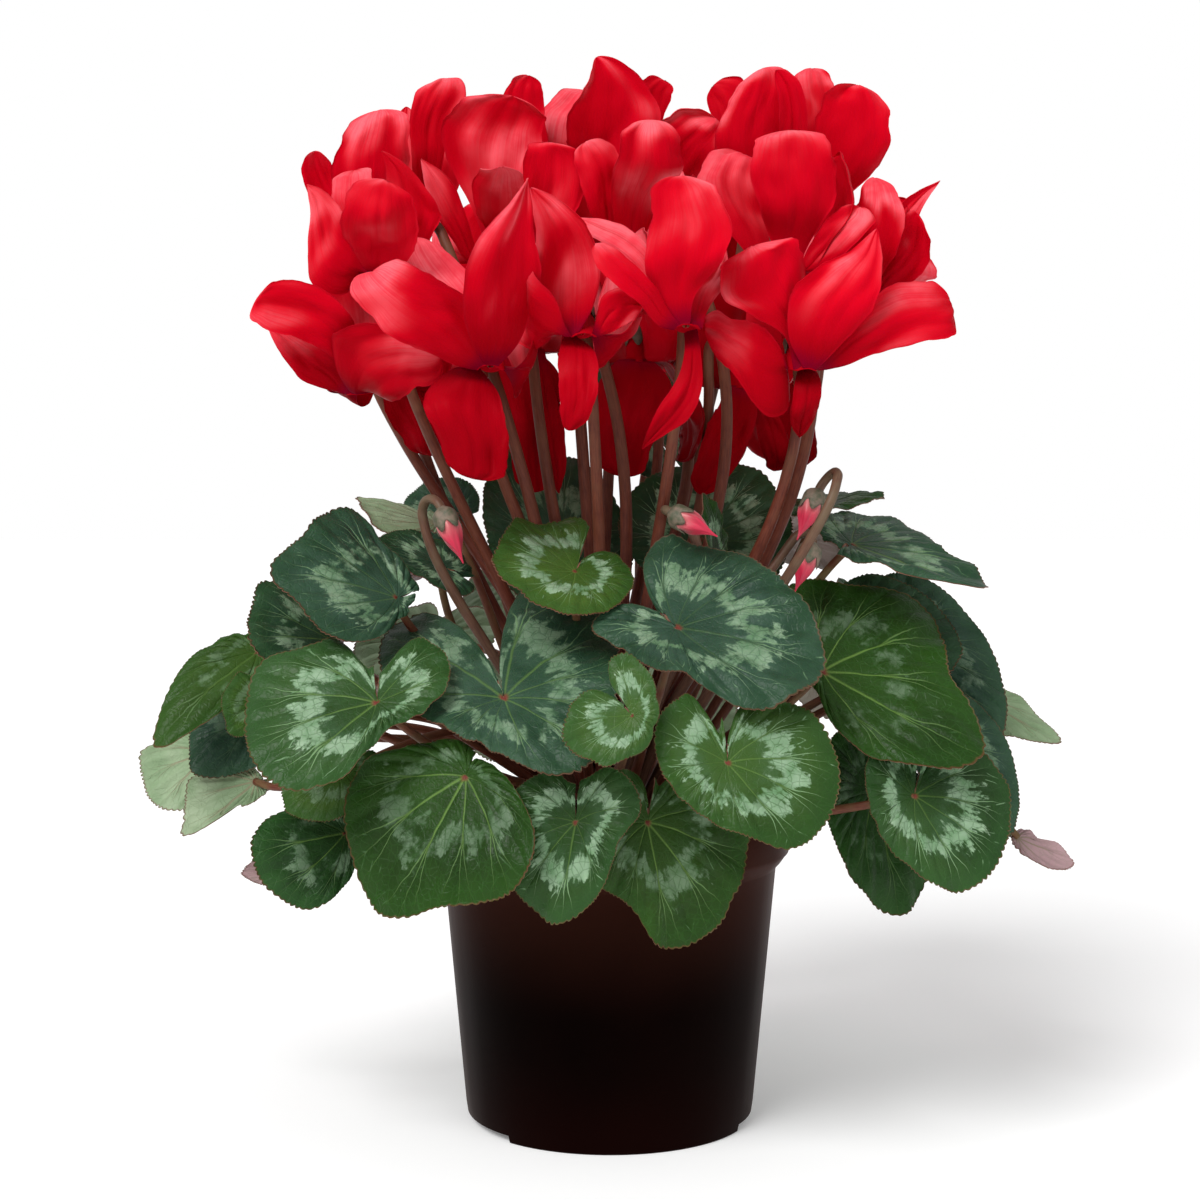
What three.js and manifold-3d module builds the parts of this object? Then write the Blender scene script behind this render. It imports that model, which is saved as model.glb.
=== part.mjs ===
// Potted cyclamen: a nursery pot with compost, a half-buried tuber, leaves on
// petioles, nodding flowers with five swept-back petals, and nodding buds.
// Millimetres, +Z up, origin at the centre of the pot's resting face.
import * as THREE from 'three';
import { mergeVertices } from 'three/addons/utils/BufferGeometryUtils.js';
import Module from 'manifold-3d';
const wasm = await Module();
wasm.setup();
const { Manifold, Mesh: SolidMesh } = wasm;

// ---- driving dimensions (mm) ----
const POT_HEIGHT = 110;        // top of the rim above the resting face
const RIM_R = 65;              // rim, outer radius (130 mm across)
const RIM_BAND_Z = 98.5;       // lower edge of the rim band
const NECK_R = 60.2;           // wall under the rim band, outer radius
const NECK_Z = 92.5;
const WALL_FOOT_R = 52.3;      // wall just above the foot, outer radius
const WALL_FOOT_Z = 6.6;
const FOOT_R = 51.4;           // lower edge of the wall, which the pot also stands on
const POT_WALL = 1.3;
const FLOOR_Z = 3;             // underside of the floor between pad and lower edge
const FLOOR_T = 1.4;
const PAD_R = 9;               // flat pad in the middle of the base
const DRAIN_R = 4.5, DRAIN_AT = 28, DRAIN_COUNT = 6;
const FOOT_SLOT_AT = [-156, -5, 62, 128], FOOT_SLOT_W = 40, FOOT_SLOT_H = 2.7; // drainage slots in the lower edge, degrees round the pot
const POT_SIDES = 32, SOIL_SIDES = 20;
const SOIL_Z = 98;             // compost level at the wall
const GAP = 0.35;              // clearance between neighbouring pieces
const TUBER_R = 23, TUBER_H = 9.9, TUBER_Z = 96; // half axes and centre height
const LEAF_T = 0.92;            // blade thickness
const PETAL_T = 0.8;
const TUBE_L = 9.3;            // corolla tube, calyx to mouth
const MOUTH_R = 5.8;
const CALYX_R = 4.3;
const PETIOLE_R = [2.0, 1.25], PEDUNCLE_R = [2.3, 1.7]; // at the crown and at the top

// ---- vectors ----
const add = (a, b) => [a[0] + b[0], a[1] + b[1], a[2] + b[2]];
const sub = (a, b) => [a[0] - b[0], a[1] - b[1], a[2] - b[2]];
const mul = (a, k) => [a[0] * k, a[1] * k, a[2] * k];
const dot = (a, b) => a[0] * b[0] + a[1] * b[1] + a[2] * b[2];
const cross = (a, b) => [a[1] * b[2] - a[2] * b[1], a[2] * b[0] - a[0] * b[2], a[0] * b[1] - a[1] * b[0]];
const len = (a) => Math.hypot(a[0], a[1], a[2]);
const nrm = (a) => { const l = len(a) || 1; return [a[0] / l, a[1] / l, a[2] / l]; };
const mix = (a, b, t) => [a[0] + (b[0] - a[0]) * t, a[1] + (b[1] - a[1]) * t, a[2] + (b[2] - a[2]) * t];
const rad = (d) => (d * Math.PI) / 180;

// smooth curve through a table of values
function table(xs, ys, x) {
  const n = xs.length;
  if (x <= xs[0]) return ys[0];
  if (x >= xs[n - 1]) return ys[n - 1];
  let i = 0;
  while (x > xs[i + 1]) i++;
  const h = xs[i + 1] - xs[i], t = (x - xs[i]) / h;
  const m0 = i > 0 ? (ys[i + 1] - ys[i - 1]) / (xs[i + 1] - xs[i - 1]) : (ys[1] - ys[0]) / (xs[1] - xs[0]);
  const m1 = i < n - 2 ? (ys[i + 2] - ys[i]) / (xs[i + 2] - xs[i]) : (ys[n - 1] - ys[n - 2]) / (xs[n - 1] - xs[n - 2]);
  const t2 = t * t, t3 = t2 * t;
  return (2 * t3 - 3 * t2 + 1) * ys[i] + (t3 - 2 * t2 + t) * h * m0 + (-2 * t3 + 3 * t2) * ys[i + 1] + (t3 - t2) * h * m1;
}

// ---- data: every blade, petal and stalk ----
// blade: A petiole joint, X towards the tip, N upper face, L scale,
// S = [droop, back, across, funnel, ruffle, ruffles, phase, width], R = outline radii every 11 degrees from -176
const BLADES = {"10":{A:[-34.74,-80,160.31],X:[0.1924,-0.7993,-0.5692],N:[-0.1407,-0.5966,0.7902],L:33.2,S:[0.14,0.05,-0.03,0.04,0.03,5,0.5,1],R:[0.285,1.872,1.981,1.753,1.515,1.298,1.088,0.897,0.77,0.663,0.645,0.626,0.607,0.588,0.656,0.726,0.879,1.05,1.176,1.217,1.189,1.137,1.119,1.116,1.156,1.229,1.301,1.427,1.569,1.632,1.71,1.704,0.471],v:6.9,f:1},
  "11":{A:[71.49,-52,166.49],X:[0.554,0.5673,0.6093],N:[0.1364,-0.7839,0.6058],L:54.26,S:[0.12,0.05,0.05,0.06,0.03,6,0.5,1],R:[0.134,0.148,0.21,0.363,0.524,0.671,0.828,0.999,1.104,1.052,0.926,0.82,0.826,0.884,0.95,0.944,0.843,0.754,0.712,0.718,0.684,0.613,0.526,0.443,0.359,0.312,0.27,0.228,0.196,0.167,0.139,0.121,0.109],v:-86.8,f:1},
  "12":{A:[100.94,-66,126.4],X:[-0.1824,-0.4457,-0.8764],N:[0.2946,-0.8752,0.3837],L:35.11,S:[0.1,0.05,-0.04,0.06,0.03,6,0.5,1],R:[0.664,0.441,0.669,0.634,0.609,0.586,0.555,0.524,0.503,0.488,0.474,0.492,0.511,0.53,0.565,0.616,0.671,0.748,0.839,0.948,1.01,1.027,1.02,1.021,1.031,1.036,1.041,0.959,0.902,0.857,0.782,0.671,0.45],v:41,f:1},
  "13":{A:[89.99,-41.4,124.08],X:[-0.4043,-0.4689,-0.7853],N:[0.4711,-0.8427,0.2606],L:43.9,S:[0.12,0.05,-0.04,0.06,0.03,6,0.5,1],R:[0.205,0.45,0.533,0.559,0.571,0.56,0.543,0.502,0.461,0.443,0.458,0.474,0.489,0.504,0.53,0.569,0.63,0.708,0.796,0.901,0.982,0.917,0.818,0.735,0.689,0.643,0.596,0.549,0.501,0.453,0.392,0.3,0.268],v:44.8,f:1},
  "14":{A:[83.67,-31.28,208.64],X:[0.5752,0.7835,0.2351],N:[0.1058,-0.3563,0.9284],L:48.8,S:[0.1,0.05,0.03,0.06,0.03,6,0.5,1],R:[0.246,0.27,0.295,0.311,0.323,0.451,0.637,1.096,1.015,0.904,0.783,0.648,0.665,0.683,0.701,0.718,0.734,0.723,0.687,0.699,0.617,0.513,0.445,0.377,0.326,0.278,0.23,0.207,0.192,0.178,0.163,0.149,0.135],v:-97.4,f:1},
  "15":{A:[-90.49,-48,110.98],X:[-0.8172,-0.5728,0.0633],N:[0.5548,-0.7522,0.3555],L:34.58,S:[0.16,0.05,-0.04,0.05,0.03,6,0.5,1],R:[0.143,0.16,0.177,0.191,0.196,0.201,0.205,0.21,0.231,0.255,0.279,0.345,0.434,0.523,0.67,0.838,0.951,1.005,1.001,0.974,0.936,0.893,0.748,0.572,0.452,0.336,0.297,0.257,0.218,0.187,0.169,0.151,0.145],v:7.4,f:1},
  "31":{A:[87.05,73.04,157.29],X:[0.5126,0.4301,-0.7431],N:[0.499,0.5551,0.6655],L:36,S:[0.14,0.05,-0.04,0.06,0.03,6,0,1.035],R:[0.357,0.613,0.67,0.705,0.751,0.792,0.823,0.845,0.853,0.849,0.854,0.872,0.892,0.907,0.925,0.959,1,0.959,0.925,0.907,0.892,0.872,0.854,0.849,0.853,0.845,0.823,0.792,0.751,0.705,0.67,0.613,0.357],v:0,f:1},
  "33":{A:[7.86,112.37,169.03],X:[0.0502,0.7176,-0.6947],N:[0.1525,0.6819,0.7154],L:37.44,S:[0.14,0.05,-0.04,0.06,0.03,6,2,1.035],R:[0.357,0.613,0.67,0.705,0.751,0.792,0.823,0.845,0.853,0.849,0.854,0.872,0.892,0.907,0.925,0.959,1,0.959,0.925,0.907,0.892,0.872,0.854,0.849,0.853,0.845,0.823,0.792,0.751,0.705,0.67,0.613,0.357],v:0,f:1},
  "35":{A:[-72.84,86.81,164.99],X:[-0.4465,0.5321,-0.7193],N:[-0.4078,0.5945,0.693],L:36,S:[0.14,0.05,-0.04,0.06,0.03,6,4,1.058],R:[0.357,0.613,0.67,0.705,0.751,0.792,0.823,0.845,0.853,0.849,0.854,0.872,0.892,0.907,0.925,0.959,1,0.959,0.925,0.907,0.892,0.872,0.854,0.849,0.853,0.845,0.823,0.792,0.751,0.705,0.67,0.613,0.357],v:0,f:1},
  "01":{A:[-11.82,-61.45,200.77],X:[-0.22,-0.8751,-0.431],N:[0.2358,-0.4764,0.847],L:29.06,S:[0.05,0.02,0.1,0.1,0.03,6,0.5,1],R:[0.938,1.109,0.972,0.93,0.958,1.004,0.95,0.921,0.923,0.927,0.992,1.056,1.058,0.975,0.93,0.919,0.919,0.925,0.884,0.84,0.796,0.754,0.712,0.691,0.682,0.673,0.664,0.653,0.645,0.65,0.655,0.554,0.273],v:-52.2,f:1},
  "02":{A:[21.51,-80,183.47],X:[0.6221,-0.623,-0.4743],N:[-0.0559,-0.6395,0.7667],L:49.18,S:[0.16,0.05,0.06,0.1,0.05,5,1,1],R:[0.18,0.377,0.459,0.51,0.559,0.542,0.462,0.425,0.425,0.425,0.455,0.469,0.452,0.454,0.54,0.778,0.894,0.977,0.996,1.004,0.946,0.894,0.824,0.78,0.749,0.769,0.782,0.763,0.756,0.827,0.753,0.534,0.206],v:32.9,f:1},
  "03":{A:[6.8,-109.47,158.12],X:[0.6132,-0.333,-0.7163],N:[-0.1187,-0.9353,0.3332],L:18.62,S:[0.1,0,0.16,0.1,0.03,5,0.5,1],R:[0.307,0.749,0.914,1.012,1.063,1.129,1.21,1.191,1.116,1.013,1.004,0.849,0.721,0.671,0.62,0.567,0.507,0.448,0.396,0.413,0.429,0.445,0.462,0.478,0.495,0.587,0.683,0.783,0.884,1.034,1.071,0.997,0.623],v:-65.1,f:1},
  "04":{A:[36.58,-103,142.47],X:[0.0279,-0.4192,-0.9074],N:[0.1316,-0.8984,0.4191],L:33.58,S:[0.12,0.06,-0.04,0.1,0.02,5,0.5,1],R:[0.448,0.304,0.73,0.761,0.775,0.762,0.727,0.684,0.652,0.624,0.602,0.583,0.566,0.575,0.583,0.614,0.655,0.717,0.821,0.972,1.044,1.071,1.086,1.081,1.062,1.043,1.021,0.985,0.902,0.784,0.683,0.566,0.198],v:36.4,f:1},
  "05":{A:[-11.21,-91.48,121.83],X:[-0.0545,-0.0935,-0.9941],N:[-0.2972,-0.949,0.1056],L:33.6,S:[0.1,0.06,-0.04,0.08,0.02,6,0.5,1],R:[0.364,0.4,0.518,0.565,0.606,0.647,0.693,0.739,0.779,0.819,0.857,0.873,0.897,0.933,0.972,1.01,0.929,0.817,0.719,0.627,0.549,0.503,0.469,0.484,0.536,0.628,0.67,0.679,0.676,0.65,0.602,0.466,0.397],v:-5.8,f:1},
  "06":{A:[11.85,-79.88,119.94],X:[-0.0962,-0.1956,-0.976],N:[0.3186,-0.935,0.1559],L:41.95,S:[0.12,0.05,0.05,0.06,0.04,7,0.5,1],R:[0.163,0.349,0.426,0.471,0.479,0.482,0.478,0.475,0.486,0.506,0.525,0.558,0.603,0.633,0.623,0.638,0.715,0.949,1.018,1.02,0.997,0.913,0.884,0.863,0.848,0.815,0.778,0.732,0.668,0.598,0.521,0.306,0.353],v:17.8,f:1},
  "07":{A:[-46.97,-83.81,135.62],X:[-0.422,-0.1823,-0.8881],N:[-0.3536,-0.8689,0.3464],L:51.54,S:[0.14,0.05,-0.05,0.05,0.03,6,0.5,1],R:[0.158,0.175,0.202,0.234,0.267,0.299,0.332,0.407,0.504,0.727,0.812,0.851,0.888,0.932,1.001,1.032,0.952,0.85,0.808,0.799,0.806,0.781,0.715,0.595,0.46,0.356,0.285,0.227,0.197,0.166,0.148,0.133,0.119],v:-5.4,f:1},
  "08":{A:[-75.67,-84,159.43],X:[0.0573,-0.7031,-0.7087],N:[-0.0724,-0.711,0.6995],L:39.24,S:[0.2,0.06,-0.05,0.08,0.03,5,0.5,1],R:[0.37,0.426,0.804,0.875,0.962,1.109,1.132,1.109,1.101,1.106,1.112,1.104,1.049,0.874,0.694,0.501,0.388,0.328,0.307,0.287,0.31,0.357,0.404,0.451,0.53,0.596,0.648,0.7,0.743,0.759,0.73,0.435,0.307],v:-45.8,f:1},
  "09":{A:[-72.3,-48,191.29],X:[-0.7074,-0.7,-0.0979],N:[0.4612,-0.562,0.6866],L:43.14,S:[0.14,0.05,0.04,0.06,0.03,5,0.5,1],R:[0.223,0.249,0.275,0.316,0.363,0.43,0.526,0.867,0.925,0.904,0.894,0.884,0.947,1.021,0.947,0.835,0.818,0.813,0.747,0.614,0.441,0.271,0.23,0.203,0.175,0.148,0.12,0.113,0.123,0.133,0.143,0.153,0.159],v:-30.3,f:1},
  "20a":{A:[-96.82,-34,175.9],X:[-0.6542,-0.7518,0.0825],N:[0.6299,-0.4812,0.6096],L:30.89,S:[0.12,0.03,0.04,0.06,0.04,6,0.5,1],R:[0.208,0.228,0.254,0.279,0.301,0.322,0.344,0.366,0.428,0.502,0.614,0.887,1.022,0.981,0.999,1.045,1.094,1.067,0.788,0.579,0.415,0.375,0.335,0.295,0.255,0.216,0.177,0.161,0.145,0.134,0.134,0.134,0.134],v:-30.2,f:1},
  "20b":{A:[-122.05,-32,171.56],X:[-0.435,-0.664,-0.6081],N:[0.1218,-0.7126,0.691],L:48.51,S:[0.14,0.03,-0.06,0.05,0.03,5,0.5,1],R:[0.099,0.109,0.126,0.144,0.163,0.181,0.21,0.242,0.275,0.307,0.376,0.457,0.556,0.678,0.849,1.013,0.716,0.47,0.355,0.273,0.193,0.168,0.145,0.122,0.099,0.076,0.069,0.062,0.058,0.058,0.058,0.058,0.058],v:-12.1,f:1},
  "20c":{A:[-118.81,-54,156.52],X:[-0.8525,-0.5193,0.0595],N:[0.5196,-0.8296,0.2043],L:12.63,S:[0.1,0.03,0.06,0.06,0.03,5,0.5,1],R:[0.273,0.273,0.273,0.29,0.323,0.357,0.43,0.515,0.6,0.685,0.826,0.961,0.94,0.921,0.95,0.978,1.003,1.023,1.043,1.083,1.182,1.126,0.982,0.834,0.684,0.542,0.491,0.441,0.39,0.342,0.31,0.278,0.26],v:-0.1,f:1},
  "21a":{A:[-123.19,-26,148.58],X:[-0.8299,-0.3478,-0.4363],N:[0.0397,-0.8168,0.5756],L:28.91,S:[0.14,0.03,-0.05,0.05,0.03,6,0.5,1],R:[0.165,0.165,0.18,0.2,0.221,0.276,0.33,0.385,0.461,0.541,0.605,0.65,0.7,0.765,0.822,0.872,0.941,1.036,0.965,0.866,0.758,0.693,0.628,0.54,0.452,0.385,0.325,0.265,0.227,0.205,0.183,0.179,0.179],v:22.3,f:1},
  "21b":{A:[-122.55,-36,126.76],X:[-0.9437,-0.0397,-0.3285],N:[0.1154,0.8909,-0.4393],L:30.04,S:[0.1,0.03,0.05,0.05,0.03,6,0.5,1],R:[0.138,0.142,0.159,0.175,0.185,0.187,0.189,0.191,0.193,0.209,0.246,0.283,0.319,0.373,0.99,0.921,0.853,0.831,0.781,0.612,0.465,0.317,0.265,0.234,0.202,0.17,0.138,0.117,0.106,0.094,0.092,0.092,0.092],v:-23.6,f:-1},
  "21c":{A:[-142.95,-14,134.34],X:[-0.8163,0.1432,-0.5596],N:[0.2845,0.9428,-0.1737],L:27.21,S:[0.1,0.03,-0.04,0.05,0.03,6,0.5,1],R:[0.155,0.155,0.17,0.189,0.21,0.247,0.284,0.322,0.359,0.45,0.543,0.652,0.76,0.836,0.928,0.984,0.991,0.986,0.968,0.926,0.703,0.56,0.467,0.376,0.314,0.252,0.19,0.171,0.154,0.141,0.141,0.141,0.141],v:-16.8,f:-1},
  "22a":{A:[-91.53,-58.01,134.68],X:[-0.7467,-0.2662,-0.6096],N:[-0.0609,-0.8852,0.4612],L:22.29,S:[0.1,0.03,0.04,0.06,0.03,6,0.5,0.866],R:[0.336,0.577,0.629,0.665,0.719,0.77,0.811,0.843,0.854,0.849,0.854,0.872,0.892,0.907,0.925,0.959,1,0.959,0.925,0.907,0.892,0.872,0.854,0.849,0.854,0.843,0.811,0.77,0.719,0.665,0.629,0.577,0.336],v:0,f:1},
  "22b":{A:[-111.32,-34,96.35],X:[-0.9502,-0.304,-0.0692],N:[-0.232,0.8376,-0.4946],L:16.82,S:[0.1,0.03,0.05,0.05,0.02,5,0.5,0.45],R:[0.294,0.505,0.548,0.584,0.654,0.725,0.787,0.838,0.858,0.85,0.854,0.872,0.892,0.907,0.925,0.959,1,0.959,0.925,0.907,0.892,0.872,0.854,0.85,0.858,0.838,0.787,0.725,0.654,0.584,0.548,0.505,0.294],v:0,f:-1},
  "23a":{A:[-62.95,6,214.88],X:[-0.7066,-0.6966,-0.1242],N:[-0.2162,0.3797,-0.8995],L:32.93,S:[0.1,0.03,0.08,0.05,0.03,6,0.5,1],R:[0.098,0.098,0.098,0.098,0.098,0.098,0.098,0.1,0.112,0.124,0.145,0.179,0.214,0.248,0.286,0.531,0.718,0.787,0.762,0.752,0.813,0.874,0.935,1.079,0.732,0.415,0.318,0.296,0.275,0.252,0.229,0.205,0.194],v:84.9,f:-1},
  "23b":{A:[-58.46,26,218.79],X:[-0.8604,0.4808,0.1687],N:[-0.438,-0.8671,0.2372],L:22.59,S:[0.1,0.03,0.05,0.05,0.03,6,0.5,0.661],R:[0.294,0.505,0.548,0.584,0.654,0.725,0.787,0.838,0.858,0.85,0.854,0.872,0.892,0.907,0.925,0.959,1,0.959,0.925,0.907,0.892,0.872,0.854,0.85,0.858,0.838,0.787,0.725,0.654,0.584,0.548,0.505,0.294],v:0,f:1},
  "23c":{A:[-60.13,-14,200.57],X:[-0.8313,-0.3526,0.4297],N:[0.5518,-0.431,0.7139],L:24.42,S:[0.1,0.03,0.05,0.05,0.03,6,0.5,0.703],R:[0.336,0.577,0.629,0.665,0.719,0.77,0.811,0.843,0.854,0.849,0.854,0.872,0.892,0.907,0.925,0.959,1,0.959,0.925,0.907,0.892,0.872,0.854,0.849,0.854,0.843,0.811,0.77,0.719,0.665,0.629,0.577,0.336],v:0,f:1},
  "24a":{A:[76.17,13.03,221.27],X:[0.859,0.4824,0.1712],N:[-0.1087,-0.1549,0.9819],L:28.76,S:[0.05,0.03,0.06,0.05,0.02,6,0.5,0.685],R:[0.336,0.577,0.629,0.665,0.719,0.77,0.811,0.843,0.854,0.849,0.854,0.872,0.892,0.907,0.925,0.959,1,0.959,0.925,0.907,0.892,0.872,0.854,0.849,0.854,0.843,0.811,0.77,0.719,0.665,0.629,0.577,0.336],v:0,f:1},
  "24b":{A:[89.18,-16,174.46],X:[0.9743,-0.2143,-0.0687],N:[-0.1179,-0.7462,0.6552],L:35.1,S:[0.1,0.03,0.06,0.05,0.03,6,0.5,0.917],R:[0.294,0.505,0.548,0.584,0.654,0.725,0.787,0.838,0.858,0.85,0.854,0.872,0.892,0.907,0.925,0.959,1,0.959,0.925,0.907,0.892,0.872,0.854,0.85,0.858,0.838,0.787,0.725,0.654,0.584,0.548,0.505,0.294],v:0,f:1},
  "24c":{A:[106.01,-4.25,173.52],X:[0.7095,-0.2305,-0.6659],N:[0.0558,-0.9236,0.3792],L:47.97,S:[0.12,0.03,-0.04,0.05,0.03,6,0.5,0.593],R:[0.294,0.505,0.548,0.584,0.654,0.725,0.787,0.838,0.858,0.85,0.854,0.872,0.892,0.907,0.925,0.959,1,0.959,0.925,0.907,0.892,0.872,0.854,0.85,0.858,0.838,0.787,0.725,0.654,0.584,0.548,0.505,0.294],v:0,f:1},
  "25a":{A:[138.83,18,149.5],X:[0.6479,-0.3932,-0.6524],N:[-0.3263,0.6306,-0.7042],L:34.4,S:[0.08,0.03,0.1,0.05,0.03,6,0.5,1],R:[0.111,0.119,0.132,0.146,0.247,0.359,0.398,0.413,0.434,0.483,0.531,0.581,0.671,0.761,0.917,0.77,0.615,0.493,0.455,0.417,0.376,0.323,0.271,0.238,0.207,0.175,0.146,0.133,0.119,0.111,0.111,0.111,0.111],v:-17.6,f:-1},
  "25b":{A:[121.16,-24,138.12],X:[0.5345,-0.1567,-0.8305],N:[0.3803,-0.833,0.4019],L:36.95,S:[0.1,0.03,-0.04,0.05,0.03,6,0.5,0.627],R:[0.294,0.505,0.548,0.584,0.654,0.725,0.787,0.838,0.858,0.85,0.854,0.872,0.892,0.907,0.925,0.959,1,0.959,0.925,0.907,0.892,0.872,0.854,0.85,0.858,0.838,0.787,0.725,0.654,0.584,0.548,0.505,0.294],v:0,f:1},
  "25c":{A:[145.58,-12,103.14],X:[0.8939,0.0829,-0.4404],N:[-0.3962,0.6055,-0.6902],L:23.18,S:[0.08,0.03,0.1,0.05,0.02,6,0.5,1],R:[0.029,0.029,0.029,0.031,0.035,0.039,0.085,0.139,0.192,0.246,0.3,0.354,0.407,0.461,0.691,0.839,0.977,0.893,0.743,0.587,0.456,0.337,0.244,0.217,0.19,0.163,0.143,0.129,0.115,0.113,0.113,0.113,0.113],v:-2,f:-1},
  "26a":{A:[36.05,-36,205.03],X:[-0.1692,-0.3481,0.9221],N:[0.952,-0.3,0.0614],L:23.24,S:[0.05,0.03,0.2,0.05,0.02,6,0.5,0.612],R:[0.336,0.577,0.629,0.665,0.719,0.77,0.811,0.843,0.854,0.849,0.854,0.872,0.892,0.907,0.925,0.959,1,0.959,0.925,0.907,0.892,0.872,0.854,0.849,0.854,0.843,0.811,0.77,0.719,0.665,0.629,0.577,0.336],v:0,f:1},
  "26b":{A:[17.87,66,249.74],X:[-0.4215,0.1714,0.8905],N:[0.5026,-0.7732,0.3867],L:36.99,S:[0.1,0.03,0.04,0.05,0.03,6,0.5,0.693],R:[0.336,0.577,0.629,0.665,0.719,0.77,0.811,0.843,0.854,0.849,0.854,0.872,0.892,0.907,0.925,0.959,1,0.959,0.925,0.907,0.892,0.872,0.854,0.849,0.854,0.843,0.811,0.77,0.719,0.665,0.629,0.577,0.336],v:0,f:1},
  "26c":{A:[33.4,20,208.6],X:[0.5833,0.4515,0.6752],N:[-0.0343,-0.8168,0.5759],L:40.08,S:[0.1,0.03,0.04,0.05,0.03,6,0.5,0.947],R:[0.336,0.577,0.629,0.665,0.719,0.77,0.811,0.843,0.854,0.849,0.854,0.872,0.892,0.907,0.925,0.959,1,0.959,0.925,0.907,0.892,0.872,0.854,0.849,0.854,0.843,0.811,0.77,0.719,0.665,0.629,0.577,0.336],v:0,f:1},
  "27a":{A:[-18.3,22,206.68],X:[-0.322,0.3459,0.8813],N:[0.2694,-0.8589,0.4356],L:45.48,S:[0.1,0.03,0.04,0.05,0.03,6,0.5,0.718],R:[0.336,0.577,0.629,0.665,0.719,0.77,0.811,0.843,0.854,0.849,0.854,0.872,0.892,0.907,0.925,0.959,1,0.959,0.925,0.907,0.892,0.872,0.854,0.849,0.854,0.843,0.811,0.77,0.719,0.665,0.629,0.577,0.336],v:0,f:1},
  "30a":{A:[103.61,33.66,179.08],X:[0.7494,0.2435,-0.6157],N:[0.6303,0.0222,0.776],L:33.12,S:[0.14,0.05,-0.04,0.06,0.03,6,6,1.035],R:[0.357,0.613,0.67,0.705,0.751,0.792,0.823,0.845,0.853,0.849,0.854,0.872,0.892,0.907,0.925,0.959,1,0.959,0.925,0.907,0.892,0.872,0.854,0.849,0.853,0.845,0.823,0.792,0.751,0.705,0.67,0.613,0.357],v:0,f:1},
  "30b":{A:[61.78,55.03,209.6],X:[0.7024,0.6256,-0.3394],N:[0.1544,0.3316,0.9307],L:31.68,S:[0.14,0.05,-0.04,0.06,0.03,6,6,1.092],R:[0.357,0.613,0.67,0.705,0.751,0.792,0.823,0.845,0.853,0.849,0.854,0.872,0.892,0.907,0.925,0.959,1,0.959,0.925,0.907,0.892,0.872,0.854,0.849,0.853,0.845,0.823,0.792,0.751,0.705,0.67,0.613,0.357],v:0,f:1},
  "32a":{A:[50.84,95.62,183.05],X:[0.3798,0.7143,-0.5878],N:[0.4814,0.39,0.785],L:34.56,S:[0.14,0.05,-0.04,0.06,0.03,6,1,1.058],R:[0.357,0.613,0.67,0.705,0.751,0.792,0.823,0.845,0.853,0.849,0.854,0.872,0.892,0.907,0.925,0.959,1,0.959,0.925,0.907,0.892,0.872,0.854,0.849,0.853,0.845,0.823,0.792,0.751,0.705,0.67,0.613,0.357],v:0,f:1},
  "32b":{A:[23.03,80.3,140.27],X:[0.1697,0.5918,-0.788],N:[0.0813,0.7885,0.6097],L:30.24,S:[0.14,0.05,-0.04,0.06,0.03,6,1,1.092],R:[0.357,0.613,0.67,0.705,0.751,0.792,0.823,0.845,0.853,0.849,0.854,0.872,0.892,0.907,0.925,0.959,1,0.959,0.925,0.907,0.892,0.872,0.854,0.849,0.853,0.845,0.823,0.792,0.751,0.705,0.67,0.613,0.357],v:0,f:1},
  "34a":{A:[-29.29,102.14,190.57],X:[-0.2285,0.7969,-0.5592],N:[-0.3187,0.4815,0.8164],L:33.84,S:[0.14,0.05,-0.04,0.06,0.03,6,3,1.092],R:[0.357,0.613,0.67,0.705,0.751,0.792,0.823,0.845,0.853,0.849,0.854,0.872,0.892,0.907,0.925,0.959,1,0.959,0.925,0.907,0.892,0.872,0.854,0.849,0.853,0.845,0.823,0.792,0.751,0.705,0.67,0.613,0.357],v:0,f:1},
  "34b":{A:[-37.5,76.88,144.9],X:[-0.2577,0.5283,-0.809],N:[-0.1932,0.7922,0.5789],L:31.68,S:[0.14,0.05,-0.04,0.06,0.03,6,3,1.035],R:[0.357,0.613,0.67,0.705,0.751,0.792,0.823,0.845,0.853,0.849,0.854,0.872,0.892,0.907,0.925,0.959,1,0.959,0.925,0.907,0.892,0.872,0.854,0.849,0.853,0.845,0.823,0.792,0.751,0.705,0.67,0.613,0.357],v:0,f:1},
  "36a":{A:[-90.49,52.25,184.91],X:[-0.7006,0.4045,-0.5878],N:[-0.5737,0.1705,0.8011],L:33.84,S:[0.14,0.05,-0.04,0.06,0.03,6,5,1.058],R:[0.357,0.613,0.67,0.705,0.751,0.792,0.823,0.845,0.853,0.849,0.854,0.872,0.892,0.907,0.925,0.959,1,0.959,0.925,0.907,0.892,0.872,0.854,0.849,0.853,0.845,0.823,0.792,0.751,0.705,0.67,0.613,0.357],v:0,f:1},
  "36b":{A:[-104.24,37.94,142.43],X:[-0.604,0.2198,-0.766],N:[-0.6802,0.3588,0.6393],L:31.68,S:[0.14,0.05,-0.04,0.06,0.03,6,5,1.035],R:[0.357,0.613,0.67,0.705,0.751,0.792,0.823,0.845,0.853,0.849,0.854,0.872,0.892,0.907,0.925,0.959,1,0.959,0.925,0.907,0.892,0.872,0.854,0.849,0.853,0.845,0.823,0.792,0.751,0.705,0.67,0.613,0.357],v:0,f:1},
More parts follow.
